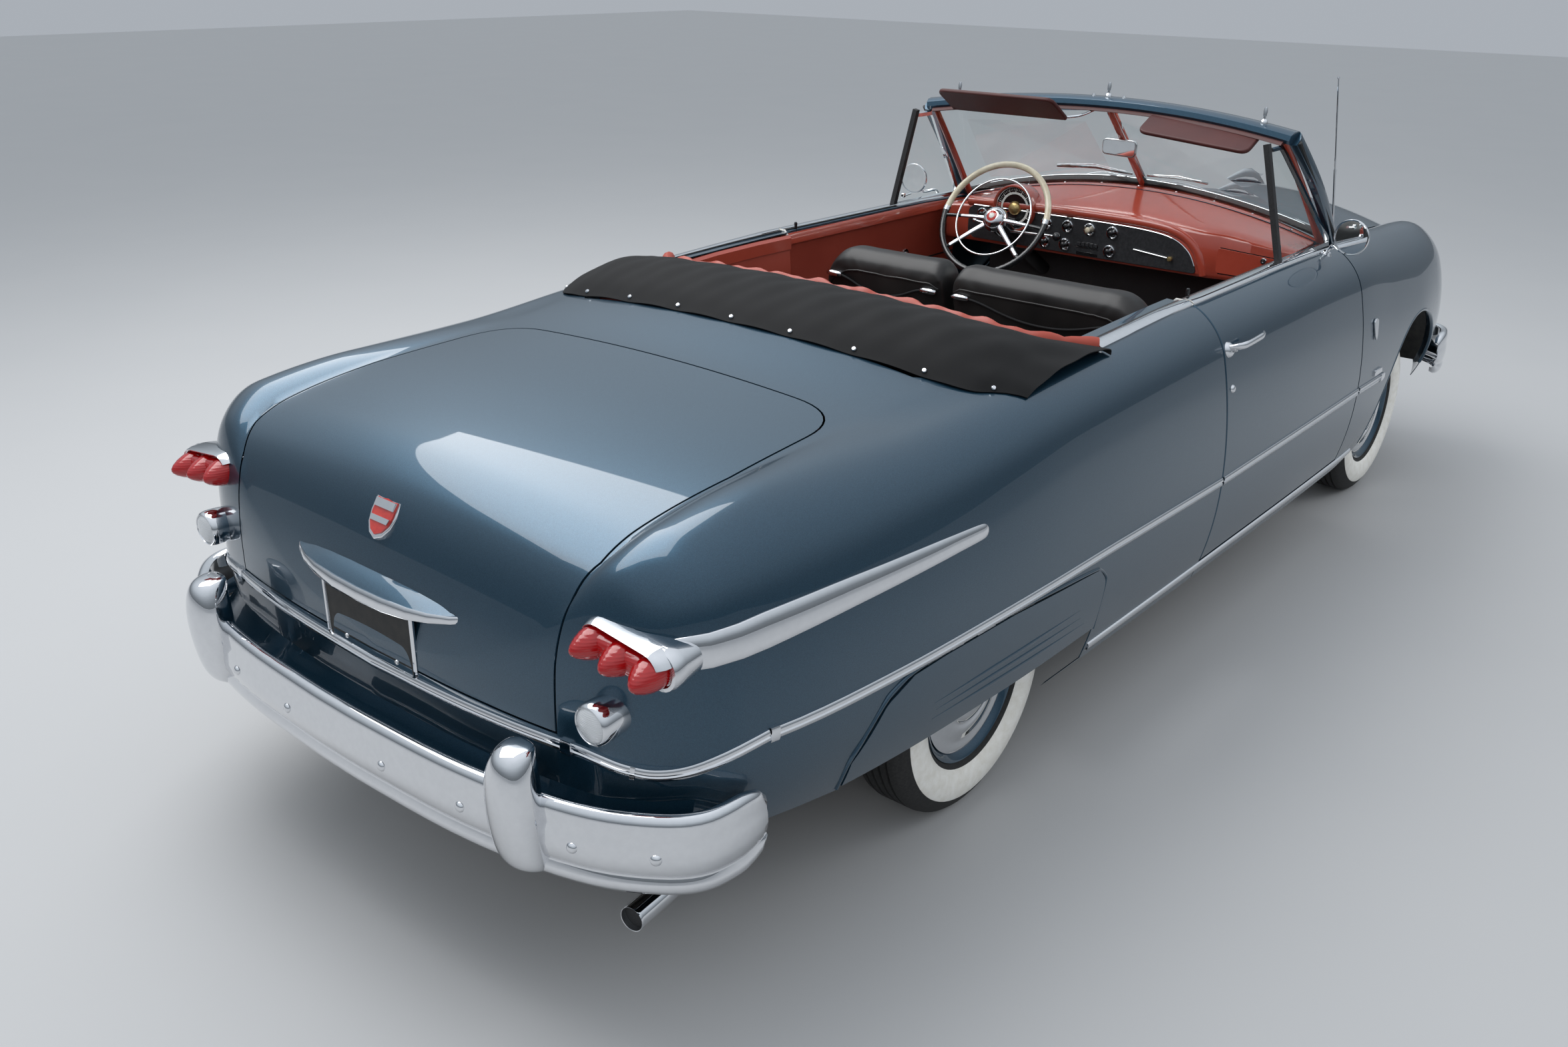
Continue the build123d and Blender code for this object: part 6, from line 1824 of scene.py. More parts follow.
def makeSwitches():
    rings, knobs, pale = [], [], []
    x = dash["panelX"]
    for z, places in (switches["upper"], switches["lower"]):
        for y in places:
            rings.append(turned(switches["ring"], (x, y, z), (-1, 0, 0), 32))
            knob = turned(switches["knob"], (x, y, z), (-1, 0, 0), 24)
            (pale if abs(y - 0.062) < 0.001 else knobs).append(knob)
            rings.append(turned([(0.0165, 0.001), (0.0, 0.0008)], (x, y, z), (-1, 0, 0), 24))
    put("switchRings", joined(*rings), looks["chrome"], "body")
    put("switchKnobs", joined(*knobs), looks["blackGloss"], "body")
    put("clockFace", joined(*pale), looks["ivory"], "body")
    y1, y0, z = switches["radio"]
    slot = [block((x - 0.002, y0, z + 0.006), (x + 0.004, y1, z + 0.022)),
            block((x - 0.002, y0, z - 0.026), (x + 0.004, y1, z - 0.014))]
    rounded(put("radioSlots", joined(*slot), looks["blackGloss"], "body"), 0.001, 1)
    keys = [block((x - 0.007, y0 + 0.002 + k * 0.0168, z + 0.008), (x, y0 + 0.0165 + k * 0.0168, z + 0.020))
            for k in range(5)]
    rounded(put("radioKeys", joined(*keys), looks["charcoal"], "body"), 0.0012, 2)
    trimLine = [Vector((x - 0.001, y0 - 0.003, z + 0.001)), Vector((x - 0.001, y1 + 0.003, z + 0.001))]
    put("radioStrip", bar(trimLine, ringProfile(0.004, 0.003, 6), normals=[(-1, 0, 0)] * 2), looks["chrome"], "body")
    strip = bar([Vector((x - 0.003, -0.120, 1.012)), Vector((x - 0.004, -0.250, 1.000))],
                ringProfile(0.008, 0.006, 8))
    put("panelHandle", strip, looks["dullChrome"], "body")
    knob = turned(switches["handleKnob"], (x, -0.262, 0.998), (-1, 0, 0), 20)
    put("panelHandleKnob", knob, looks["gold"], "body")
    screws = []
    for k in range(9):
        y = -0.60 + 1.2 * k / 8
        crown = 1 - (y / dash["half"]) ** 2
        front = shield["base"][0] + (shield["baseMiddle"][0] - shield["base"][0]) * crown - 0.040
        screws.append(turned(switches["screw"], (front, y, topPoint(front, abs(y))[0].z + 0.004), (-0.15, 0, 1), 12))
    put("garnishScrews", joined(*screws), looks["chrome"], "body")


wheelShape = {"hub": (0.666, 0.380, 1.063), "tilt": 32, "rim": 0.213, "thick": 0.0118, "rise": 0.030,
              "hornRing": 0.150, "hornRise": 0.040, "spokes": (4, 176, 42, 138),
              "hubShape": [(0.0, 0.0), (0.040, 0.0), (0.046, 0.008), (0.0480, 0.018), (0.0455, 0.030),
                           (0.0385, 0.041), (0.0290, 0.0485), (0.0230, 0.0510), (0.0, 0.0515)],
              "badgeShape": [(0.0, 0.0528), (0.0195, 0.0522), (0.0215, 0.0505), (0.0, 0.0500)],
              "centreShape": [(0.0, 0.0540), (0.0095, 0.0536), (0.0105, 0.0526), (0.0, 0.0520)],
              "collar": [(0.027, 0.0), (0.036, 0.002), (0.038, 0.030), (0.034, 0.066), (0.0275, 0.072)],
              "leverBall": [(0.0, 0.016), (0.008, 0.0145), (0.0145, 0.007), (0.016, 0.0), (0.0145, -0.007),
                            (0.008, -0.0135), (0.0, -0.015)],
              "stalkEnd": [(0.0, 0.009), (0.006, 0.007), (0.0075, 0.0), (0.006, -0.006), (0.0, -0.008)]}


def makeSteering():
    tilt = math.radians(wheelShape["tilt"])
    normal = Vector((-math.cos(tilt), 0, math.sin(tilt)))
    down = normal.cross(Vector((0, 1, 0)))
    place = Matrix((Vector((0, 1, 0)), down, normal)).transposed().to_4x4()
    place.translation = Vector(wheelShape["hub"])

    def arc(radius, rise, start, end, steps):
        return [Vector((radius * math.cos(math.radians(start + (end - start) * k / steps)),
                        radius * math.sin(math.radians(start + (end - start) * k / steps)), rise))
                for k in range(steps + 1)]

    def onWheel(name, bm, look, cad=(), bend=60):
        bmesh.ops.transform(bm, matrix=place, verts=bm.verts)
        return put(name, bm, look, "steering_wheel", cad, bend)

    up = (0, 0, 1)
    round14 = ringProfile(2 * wheelShape["thick"], 2 * wheelShape["thick"], 14)
    rise = wheelShape["rise"]
    upper = arc(wheelShape["rim"], rise, 183, 357, 60)
    onWheel("rimIvory", bar(upper, round14, normals=[up] * len(upper)), looks["ivory"], ["steering_wheel"])
    lower = arc(wheelShape["rim"], rise, -3, 183, 60)
    grips = [1 + (0.05 * math.cos(k * math.pi) if 6 < k < 54 else 0) for k in range(61)]
    onWheel("rimBlack", bar(lower, round14, normals=[up] * len(lower), taper=grips), looks["blackGloss"])
    ferrules = []
    for at in (183, -3):
        line = arc(wheelShape["rim"], rise, at - 2.2, at + 2.2, 4)
        ferrules.append(bar(line, ringProfile(0.0262, 0.0262, 14), normals=[up] * 5))
    onWheel("rimFerrules", joined(*ferrules), looks["chrome"])
    horn = arc(wheelShape["hornRing"], wheelShape["hornRise"], 0, 354, 59)
    onWheel("hornRing", bar(horn, ringProfile(0.0075, 0.0075, 10), closed=True, normals=[up] * len(horn)),
            looks["chrome"])
    bright, dark = [], []
    for at in wheelShape["spokes"]:
        ray = Vector((math.cos(math.radians(at)), math.sin(math.radians(at)), 0))
        low = at in (42, 138)
        middle = 0.196 if low else wheelShape["hornRing"] - 0.006
        line = [ray * 0.030 + Vector((0, 0, 0.026)), ray * 0.09 + Vector((0, 0, 0.031)),
                ray * middle + Vector((0, 0, 0.031))]
        bright.append(bar(line, ringProfile(0.019 if low else 0.015, 0.009, 12), normals=[up] * 3,
                          taper=[1.2, 1.0, 0.85]))
        line = [ray * (middle - 0.004) + Vector((0, 0, 0.031)), ray * 0.206 + Vector((0, 0, rise))]
        dark.append(bar(line, ringProfile(0.0135, 0.0115, 12), normals=[up] * 2))
        link = [ray * wheelShape["hornRing"] + Vector((0, 0, 0.033)),
                ray * wheelShape["hornRing"] + Vector((0, 0, 0.041))]
        bright.append(bar(link, ringProfile(0.007, 0.007, 8), normals=[(1, 0, 0)] * 2))
    onWheel("wheelSpokes", joined(*bright), looks["chrome"])
    onWheel("spokeEnds", joined(*dark), looks["blackGloss"])
    hub = turned(wheelShape["hubShape"], (0, 0, 0), (0, 0, 1), 48)
    onWheel("wheelHub", hub, looks["chrome"])
    badge = turned(wheelShape["badgeShape"], (0, 0, 0), (0, 0, 1), 36)
    onWheel("hubBadge", badge, looks["redEnamel"])
    centre = turned(wheelShape["centreShape"], (0, 0, 0), (0, 0, 1), 30)
    onWheel("hubCentre", centre, looks["whitePaint"])
    collar = place @ Vector((0, 0, -0.012))
    axis = -normal
    put("columnCollar", turned(wheelShape["collar"], collar, axis, 40), looks["blackGloss"], "body")
    root = place @ Vector((-0.030, 0.010, -0.055))
    lever = smoothLine([root, root + Vector((-0.006, -0.080, 0.004)), root + Vector((-0.022, -0.165, 0.010)),
                        root + Vector((-0.030, -0.215, 0.012))], 5)
    put("shiftLever", bar(lever, ringProfile(0.009, 0.009, 10)), looks["chrome"], "body")
    ball = turned(wheelShape["leverBall"], lever[-1], (0, -1, 0), 24)
    put("shiftBall", ball, looks["blackGloss"], "body")
    stalk = [place @ Vector((0.030, 0.0, -0.050)), place @ Vector((0.120, -0.006, -0.040))]
    put("signalStalk", joined(bar(stalk, ringProfile(0.007, 0.007, 8)),
                              turned(wheelShape["stalkEnd"], stalk[1], (0, 1, 0), 16)), looks["chrome"], "body")


makeDash()
makeGauge()
makeSwitches()
makeSteering()
print("dash and steering wheel made")

# Door and quarter trim, belt strips, handles, floor
cabinTrim = {"garnish": [(-0.011, -0.022), (-0.011, 0.010), (-0.004, 0.016), (0.006, 0.015), (0.011, 0.008),
                         (0.011, -0.022)]}


def beltRun(start, end, y, off=0.0, step=0.05):
    count = max(2, round((end - start) / step))
    spots, outs = [], []
    for k in range(count + 1):
        x = start + (end - start) * k / count
        spot, out = topPoint(x, y(x) if callable(y) else y, off)
        spots.append(spot)
        outs.append(out)
    return spots, outs


def sideBar(start, end, y, profile, off=0.0):
    spots, outs = beltRun(start, end, y, off)
    return bar(spots, profile, normals=outs)


# Door trim, left side; the right door gets its mirror image
doorTrim = {"belt": (-0.1625, 0.9635, 0.748), "felt": (-0.1610, 0.500, 0.7285),
            "feltSection": [(-0.005, -0.004), (-0.005, 0.0035), (0.005, 0.0035), (0.005, -0.004)],
            "garnishRows": (-0.160, 0.1, 0.35, 0.60, 0.80, 0.955), "garnishPlace": (0.7195, 1.074),
            "panelRun": (-0.150, 1.095), "panelSteps": 24,
            "panelSection": [(0.7225, 1.052), (0.7385, 0.985), (0.7460, 0.900), (0.7560, 0.780), (0.7660, 0.600),
                             (0.7720, 0.430), (0.7860, 0.430), (0.7860, 0.600), (0.760, 0.980), (0.740, 1.052)],
            "weltRun": (-0.148, 1.09), "weltSteps": 20, "weltPlace": (0.7475, 0.862), "weltThick": 0.006,
            "restPlace": (0.16, 0.7240, 0.800), "restSides": 14, "restHalf": (0.026, 0.022), "restIn": 0.010,
            "restRows": [(0.0, 0.35), (0.02, 0.75), (0.06, 0.95), (0.12, 1.0), (0.22, 1.0), (0.28, 0.95),
                         (0.32, 0.75), (0.34, 0.35)],
            "crankBoss": [(0.0, 0.010), (0.016, 0.009), (0.022, 0.004), (0.024, 0.0), (0.0, -0.006)],
            "crankPlace": (0.300, 0.7480, 0.900), "crankKnob": (0.386, 0.728, 0.861), "crankSection": (0.013, 0.008),
            "crankArm": [(0.300, 0.738, 0.900), (0.345, 0.730, 0.880), (0.385, 0.728, 0.862)],
            "pullBoss": [(0.0, 0.010), (0.018, 0.008), (0.021, 0.0), (0.0, -0.006)],
            "pullPlace": (0.600, 0.7480, 0.900), "pullSection": (0.014, 0.008), "pullTaper": [1.2, 1.0, 0.7],
            "pullArm": [(0.600, 0.736, 0.900), (0.540, 0.728, 0.896), (0.480, 0.734, 0.892)],
            "button": [(0.0, 0.034), (0.0045, 0.033), (0.006, 0.028), (0.0045, 0.012), (0.0045, 0.0), (0.0, 0.0)],
            "buttonPlace": (-0.105, 0.7200, 1.088)}

# Outside handle and lock of a door, left side
doorHandle = {"grip": [(-0.138, 0.880, 0.985), (-0.128, 0.905, 0.993), (-0.105, 0.915, 0.997),
                       (-0.050, 0.916, 0.999), (0.000, 0.914, 1.000), (0.024, 0.906, 1.000)],
              "gripSizes": [1.15] * 6 + [1.05] * 6 + [1.0] * 12 + [0.85] * 6 + [0.55], "gripSection": (0.020, 0.013),
              "foot": (-0.134, 0.978), "buttonShift": (0.002, 0, -0.001),
              "footShape": [(0.0, 0.012), (0.014, 0.011), (0.020, 0.006), (0.023, -0.002), (0.0, -0.006)],
              "button": [(0.0, 0.024), (0.0085, 0.023), (0.0095, 0.019), (0.0095, 0.008), (0.0, 0.006)],
              "lock": (-0.128, 0.868),
              "lockShape": [(0.0, 0.007), (0.007, 0.0065), (0.0105, 0.004), (0.012, -0.001), (0.0, -0.003)]}

knobShape = [(0.0, 0.024), (0.008, 0.023), (0.010, 0.016), (0.007, 0.004), (0.0, 0.0)]
inward = (0, -1, 0)


def windowCrank(trim):
    # Boss on the panel, arm, and knob at the arm's end
    return joined(turned(trim["crankBoss"], trim["crankPlace"], inward, 28),
                  bar([Vector(p) for p in trim["crankArm"]], ringProfile(*trim["crankSection"], 10),
                      normals=[inward] * 3),
                  turned(knobShape, trim["crankKnob"], inward, 20))


def makeDoorTrim(side):
    sign = 1 if side == "left" else -1
    door = f"door_{side}"

    def add(name, bm, look, bend=40):
        if sign == -1:
            otherSide(bm)
        return put(f"{side}{name}", bm, looks[look], door, bend=bend)

    add("BeltStrip", sideBar(*doorTrim["belt"], strips["belt"]), "chrome")
    add("BeltFelt", sideBar(*doorTrim["felt"], doorTrim["feltSection"]), "rubber")
    garnish = [Vector((x, *doorTrim["garnishPlace"])) for x in doorTrim["garnishRows"]]
    add("DoorGarnish", bar(garnish, cabinTrim["garnish"], normals=[Vector((0, 0, 1))] * len(garnish)), "redPaint")
    (start, run), steps = doorTrim["panelRun"], doorTrim["panelSteps"]
    rings = [[Vector((start + run * k / steps, y, z)) for y, z in doorTrim["panelSection"]] for k in range(steps + 1)]
    add("DoorPanel", ringSolid(rings), "redVinyl", 50)
    (start, run), steps = doorTrim["weltRun"], doorTrim["weltSteps"]
    welt = [Vector((start + run * k / steps, *doorTrim["weltPlace"])) for k in range(steps + 1)]
    add("DoorPanelWelt", bar(welt, ringProfile(doorTrim["weltThick"], doorTrim["weltThick"], 6)), "blackVinyl")
    x, y, z = doorTrim["restPlace"]
    deep, high = doorTrim["restHalf"]
    turns = [2 * math.pi * j / doorTrim["restSides"] for j in range(doorTrim["restSides"])]
    rest = [[Vector((x + t, y, z)) + Vector((0, -deep * size * math.cos(a) + doorTrim["restIn"],
                                             high * size * math.sin(a))) for a in turns]
            for t, size in doorTrim["restRows"]]
    add("ArmRest", ringSolid(rest), "redVinyl", 60)
    add("WindowCrank", windowCrank(doorTrim), "chrome")
    handle = joined(turned(doorTrim["pullBoss"], doorTrim["pullPlace"], inward, 28),
                    bar([Vector(p) for p in doorTrim["pullArm"]], ringProfile(*doorTrim["pullSection"], 10),
                        normals=[inward] * 3, taper=doorTrim["pullTaper"]))
    add("DoorPull", handle, "chrome")
    add("LockButton", turned(doorTrim["button"], doorTrim["buttonPlace"], (0, 0, 1), 16), "blackGloss")
    grip = smoothLine(doorHandle["grip"], 6)
    foot, out = sidePoint(*doorHandle["foot"])
    bits = joined(bar(grip, ringProfile(*doorHandle["gripSection"], 12), normals=[(0, 1, 0)] * len(grip),
                      taper=doorHandle["gripSizes"][:len(grip)]),
                  turned(doorHandle["footShape"], foot, out, 28),
                  turned(doorHandle["button"], foot + Vector(doorHandle["buttonShift"]), out, 20))
    add("DoorHandle", bits, "chrome", 50)
    add("DoorLock", turned(doorHandle["lockShape"], *sidePoint(*doorHandle["lock"]), 24), "chrome")


# Trim of the cabin side behind the door, left side
quarterTrim = {"belt": (-0.700, -0.1745, 0.748), "felt": (-0.700, -0.1760, 0.7285), "garnishY": 0.700,
               "garnishRows": [(-0.176, 1.074), (-0.35, 1.075), (-0.55, 1.072), (-0.75, 1.062), (-0.90, 1.052)],
               "garnishSection": [(-0.020, -0.030), (-0.020, 0.008), (-0.012, 0.017), (0.010, 0.018),
                                  (0.018, 0.010), (0.020, -0.030)],
               "panelRun": (-1.050, 0.872), "panelSteps": 20, "panelTop": 1.050, "panelFall": 0.02,
               "fallRun": (-0.75, 0.3), "panelEdges": (0.6860, 0.6960),
               "panelSection": [(0.6800, 0.980), (0.6780, 0.800), (0.6780, 0.540), (0.6900, 0.540),
                                (0.6930, 0.800)],
               "jamb": [(0.690, 0.350), (0.860, 0.350), (0.862, 0.600), (0.855, 0.900), (0.790, 1.040),
                        (0.700, 1.066), (0.690, 0.900)], "jambRun": (-0.1790, -0.1750),
               "rubber": [(-0.1700, 0.700, 1.083), (-0.1700, 0.716, 1.1015), (-0.1700, 0.748, 1.1005),
                          (-0.1700, 0.766, 1.092)],
               "rubberSection": [(-0.003, -0.002), (-0.003, 0.003), (0.003, 0.003), (0.003, -0.002)],
               "rubberNormals": [(0, -0.7, 0.7), (0, -0.3, 1), (0, 0.2, 1), (0, 0.6, 0.8)],
               "crankBoss": [(0.0, 0.010), (0.018, 0.009), (0.025, 0.004), (0.027, 0.0), (0.0, -0.006)],
               "crankPlace": (-0.520, 0.6780, 0.930), "crankKnob": (-0.593, 0.658, 0.887),
               "crankSection": (0.014, 0.008),
               "crankArm": [(-0.520, 0.668, 0.930), (-0.560, 0.660, 0.908), (-0.592, 0.658, 0.888)]}


def makeQuarterTrim():
    put("quarterBeltStrips", bothSides(sideBar(*quarterTrim["belt"], strips["belt"])), looks["chrome"], "body")
    put("quarterFelts", bothSides(sideBar(*quarterTrim["felt"], doorTrim["feltSection"])), looks["rubber"], "body")
    line = [Vector((x, quarterTrim["garnishY"], z)) for x, z in quarterTrim["garnishRows"]]
    put("quarterGarnish", bothSides(bar(line, quarterTrim["garnishSection"])), looks["redPaint"], "body")
    panel = []
    (start, run), steps = quarterTrim["panelRun"], quarterTrim["panelSteps"]
    inner, outer = quarterTrim["panelEdges"]
    for k in range(steps + 1):
        x = start + run * k / steps
        fall = max(0, (quarterTrim["fallRun"][0] - x) / quarterTrim["fallRun"][1])
        top = quarterTrim["panelTop"] - quarterTrim["panelFall"] * fall
        panel.append([Vector((x, y, z)) for y, z in [(inner, top)] + quarterTrim["panelSection"] + [(outer, top)]])
    put("quarterPanels", bothSides(ringSolid(panel)), looks["redVinyl"], "body", bend=50)
    jamb = prism(quarterTrim["jamb"], 0, *quarterTrim["jambRun"])
    put("doorJambs", bothSides(joined(jamb)), looks["redPaint"], "body")
    rubber = bar([Vector(p) for p in quarterTrim["rubber"]], quarterTrim["rubberSection"],
                 normals=quarterTrim["rubberNormals"])
    put("beltRubber", bothSides(rubber), looks["whiteWall"], "body")
    put("quarterCranks", bothSides(windowCrank(quarterTrim)), looks["chrome"], "body")


# Floor, sills, firewall lining, mats and pedals
floorParts = {"sillRun": (-0.168, 1.138), "sillSteps": 24, "sillTop": 0.343, "sillInner": 0.800,
              "pans": [((-0.760, -0.790, 0.305), (1.060, 0.790, 0.3165)),
                       ((-0.772, -0.600, 0.305), (-0.760, 0.600, 0.532)),
                       ((-2.290, -0.600, 0.520), (-0.761, 0.600, 0.532))],
              "carpets": [((-0.290, -0.700, 0.3165), (0.020, 0.700, 0.324)),
                          ((0.450, -0.700, 0.3165), (1.040, 0.700, 0.324)),
                          ((-2.240, -0.580, 0.532), (-1.000, 0.580, 0.537))],
              "wallHalf": 0.64, "wallSteps": 16, "wallFoot": 0.3165, "wallFlat": 0.60, "wallX": 1.066,
              "wallFaces": (1.060, 1.062, 1.080), "wallGaps": (0.012, 0.02),
              "mat": [(0.560, 0.324), (0.900, 0.324), (1.030, 0.440), (1.036, 0.452), (0.895, 0.332),
                      (0.560, 0.331)], "matRuns": ((0.06, 0.66), (-0.66, -0.06)),
              "pads": (0.47, 0.34), "padPlace": (0.900, 0.480), "padAxis": (-0.8, 0, 0.6),
              "padShape": [(0.0, 0.008), (0.028, 0.007), (0.033, 0.0), (0.0, -0.002)],
              "leverLine": [(0.905, 0.474), (0.960, 0.440), (1.020, 0.455)], "leverThick": 0.010,
              "throttle": [(0.860, 0.200, 0.350), (0.960, 0.205, 0.445)],
              "throttleSection": [(-0.028, -0.005), (-0.028, 0.005), (0.028, 0.005), (0.028, -0.005)]}


def makeFloor():
    sill = []
    top, inner = floorParts["sillTop"], floorParts["sillInner"]
    (start, run), steps = floorParts["sillRun"], floorParts["sillSteps"]
    for k in range(steps + 1):
        x = start + run * k / steps
        row = halfRing(sectionAt(placeAt(x)))[arcSteps["roof"]:]
        low = [(y, z) for y, z in row if z < top]
        sill.append([Vector((x, sidePoint(x, top)[0].y, top))] + [Vector((x, y, z)) for y, z in low]
                    + [Vector((x, inner, low[-1][1])), Vector((x, inner, top))])
    count = min(len(r) for r in sill)
    sill = [r[:count - 2] + r[-2:] for r in sill]
    put("rockers", bothSides(ringSolid(sill)), looks["paint"], "body", ["floor"], bend=50)
    pans = [block(*corners) for corners in floorParts["pans"]]
    rounded(put("floorPans", joined(*pans), looks["frameBlack"], "body"), 0.002, 1)
    carpet = [block(*corners) for corners in floorParts["carpets"]]
    rounded(put("carpets", joined(*carpet), looks["carpet"], "body"), 0.003, 2)
    wall = []
    half, steps, flat, foot = (floorParts[key] for key in ("wallHalf", "wallSteps", "wallFlat", "wallFoot"))
    front, face, back = floorParts["wallFaces"]
    gap, endGap = floorParts["wallGaps"]
    for y in [-half + 2 * half * k / steps for k in range(steps + 1)]:
        top = topPoint(floorParts["wallX"], min(abs(y), flat))[0].z - (gap if abs(y) < flat else endGap)
        wall.append([Vector((front, y, foot)), Vector((face, y, top)), Vector((back, y, top)),
                     Vector((back, y, foot))])
    put("firewallPanel", ringSolid(wall), looks["carpet"], "body", bend=30)
    mats = [prism(floorParts["mat"], 1, *run) for run in floorParts["matRuns"]]
    put("floorMats", joined(*mats), looks["rubber"], "body")
    pedals = []
    for y in floorParts["pads"]:
        x, z = floorParts["padPlace"]
        pedals.append(turned(floorParts["padShape"], (x, y, z), floorParts["padAxis"], 28))
        pedals.append(bar([Vector((x, y, z)) for x, z in floorParts["leverLine"]],
                          ringProfile(floorParts["leverThick"], floorParts["leverThick"], 8)))
    pedals.append(bar([Vector(p) for p in floorParts["throttle"]], floorParts["throttleSection"]))
    put("pedals", joined(*pedals), looks["rubber"], "body")


for side in ("left", "right"):
    makeDoorTrim(side)
makeQuarterTrim()
makeFloor()
print("cabin trim made")

# Front end: grille, headlamps, parking lamps, ornament, wipers, latch pegs
front = {"grilleX": 2.341, "grilleZ": 0.640, "bullet": 0.330, "lamp": (0.655, 0.745),
         "bulletProfile": [(0.0, 0.0), (0.072, 0.0), (0.072, 0.006), (0.069, 0.022), (0.060, 0.040), (0.046, 0.056),
                           (0.030, 0.067), (0.014, 0.0735), (0.0, 0.0755)],
         "lampRing": [(0.078, -0.120), (0.088, -0.100), (0.096, -0.020), (0.0975, 0.000), (0.0965, 0.010),
                      (0.0925, 0.0150), (0.088, 0.0140), (0.0855, 0.0080), (0.084, -0.004), (0.0, -0.006)],
         "lampGlass": [(0.0860, 0.004), (0.0800, 0.0090), (0.0600, 0.0150), (0.0350, 0.0190), (0.0, 0.0210)],
         "reflector": [(0.083, 0.002), (0.070, -0.014), (0.050, -0.026), (0.028, -0.033), (0.0, -0.036)],
         "barSection": [(-0.0, -0.037), (0.010, -0.035), (0.017, -0.024), (0.019, -0.006), (0.019, 0.010),
                        (0.015, 0.028), (0.008, 0.036), (0.0, 0.037), (-0.010, 0.030), (-0.010, -0.030)],
         "bars": ((0.075, 0.34), (0.118, 0.24), (-0.086, 0.34), (-0.140, 0.24)),
         "coreShape": [(0.034, 0.0), (0.033, 0.006), (0.020, 0.011), (0.0, 0.013)],
         "parkingShape": [(0.0, -0.010), (0.031, -0.008), (0.034, 0.004), (0.031, 0.014), (0.020, 0.020),
                          (0.0, 0.022)],
         "screwShape": [(0.0, 0.004), (0.004, 0.003), (0.0055, 0.0), (0.0, -0.003)]}


def makeGrille():
    x, z = front["grilleX"], front["grilleZ"]
    half = bodyFront["grilleHalf"]
    back = prism([(-half, 0.445), (half, 0.445), (half, 0.792), (-half, 0.792)], 0, x, x + 0.010)
    rounded(put("grillePanel", back, looks["frameBlack"], "body", ["grille"]), 0.002, 1)
    line = [Vector((x + 0.036 + 0.008 * (1 - (y / 0.556) ** 2), y, z)) for y in
            [-0.545 + 1.09 * k / 32 for k in range(33)]]
    section = front["barSection"]
    bars = [bar(line, section, normals=[(0, 0, 1)] * len(line))]
    for height, size in front["bars"]:
        row = [p + Vector((-0.016, 0, height)) for p in line]
        bars.append(bar(row, section, normals=[(0, 0, 1)] * len(row), taper=[size] * len(row)))
    put("grilleBars", joined(*bars), looks["chrome"], "body", bend=60)
    bullets = [turned(front["bulletProfile"], (x + 0.030, side * front["bullet"], z), (1, 0, 0), 48)
               for side in (1, -1)]
    put("grilleBullets", joined(*bullets), looks["chrome"], "body", bend=60)
    cores = [turned(front["coreShape"], (x + 0.0985, side * front["bullet"], z), (1, 0, 0), 32) for side in (1, -1)]
    put("bulletCores", joined(*cores), looks["redPaint"], "body")
    rim = roundedCorners([(-half - 0.004, 0.441), (half + 0.004, 0.441), (half + 0.004, 0.797),
                          (-half - 0.004, 0.797)], {i: 0.05 for i in range(4)}, 5)
    rim = [Vector((x + 0.020 + 0.026 * (1 - (y / 0.57) ** 2), y, z)) for y, z in rim]
    put("grilleSurround", bar(rim, ringProfile(0.018, 0.016, 8), closed=True, normals=[(1, 0, 0)] * len(rim)),
        looks["chrome"], "body")
    lamps = [turned(front["parkingShape"], (x + 0.026, side * 0.490, z), (1, 0, 0), 32) for side in (1, -1)]
    put("parkingLamps", joined(*lamps), looks["clearLens"], "body")


def makeHeadlamps():
    y, z = front["lamp"]
    ring, glass, bowl = (joined(*[turned(front[key], (2.386, side * y, z), (1, 0, 0), 64) for side in (1, -1)])
                         for key in ("lampRing", "lampGlass", "reflector"))
    put("headlampRings", ring, looks["chrome"], "body", ["headlamps"], bend=60)
    put("headlampBowls", bowl, looks["mirror"], "body")
    put("headlampGlass", glass, looks["clearLens"], "body")
    screws = joined(*[turned(front["screwShape"], (2.398, side * y, z - 0.094), (1, 0, -0.4), 12)
                      for side in (1, -1)])
    put("headlampScrews", screws, looks["dullChrome"], "body")


ornament = {"rows": [(2.235, 0.006, 0.004, 0.0), (2.220, 0.011, 0.010, 0.002), (2.180, 0.014, 0.020, 0.010),
                     (2.120, 0.015, 0.030, 0.020), (2.050, 0.014, 0.034, 0.026), (1.970, 0.011, 0.030, 0.024),
                     (1.890, 0.008, 0.020, 0.016), (1.820, 0.005, 0.010, 0.008), (1.780, 0.003, 0.004, 0.004)],
            "beadSection": [(-0.007, -0.002), (-0.005, 0.003), (0.0, 0.005), (0.005, 0.003), (0.007, -0.002)]}


def makeOrnament():
    rows = ornament["rows"]
    rings = []
    for x, wide, tall, lift in rows:
        z = topPoint(x, 0.0)[0].z - 0.003
        rings.append([Vector((x, wide * math.cos(a) * (1.5 if math.sin(a) < 0 else 1.0),
                              z + lift + tall * math.sin(a) * (1.0 if math.sin(a) > 0
                                                               else lift / max(tall, 0.001) * 0.9)))
                      for a in [2 * math.pi * j / 12 for j in range(12)]])
    put("hoodOrnament", ringSolid(rings), looks["chrome"], "hood", bend=60)
    wing = []
    for side in (1, -1):
        z = topPoint(2.10, 0.0)[0].z + 0.030
        fin = prism([(2.170, z), (2.060, z + 0.016), (1.960, z + 0.020), (2.020, z + 0.004), (2.140, z - 0.006)], 1,
                    0, 0.004)
        bmesh.ops.transform(fin, matrix=Matrix.Translation((0, side * 0.008, 0)), verts=fin.verts)
        wing.append(fin)
    rounded(put("ornamentFins", joined(*wing), looks["chrome"], "hood"), 0.0015, 2)
    bead = [topPoint(x, 0.0)[0] + Vector((0, 0, 0.001)) for x in [1.110 + 0.66 * k / 16 for k in range(17)]]
    put("hoodBead", bar(bead, ornament["beadSection"]), looks["chrome"], "hood")


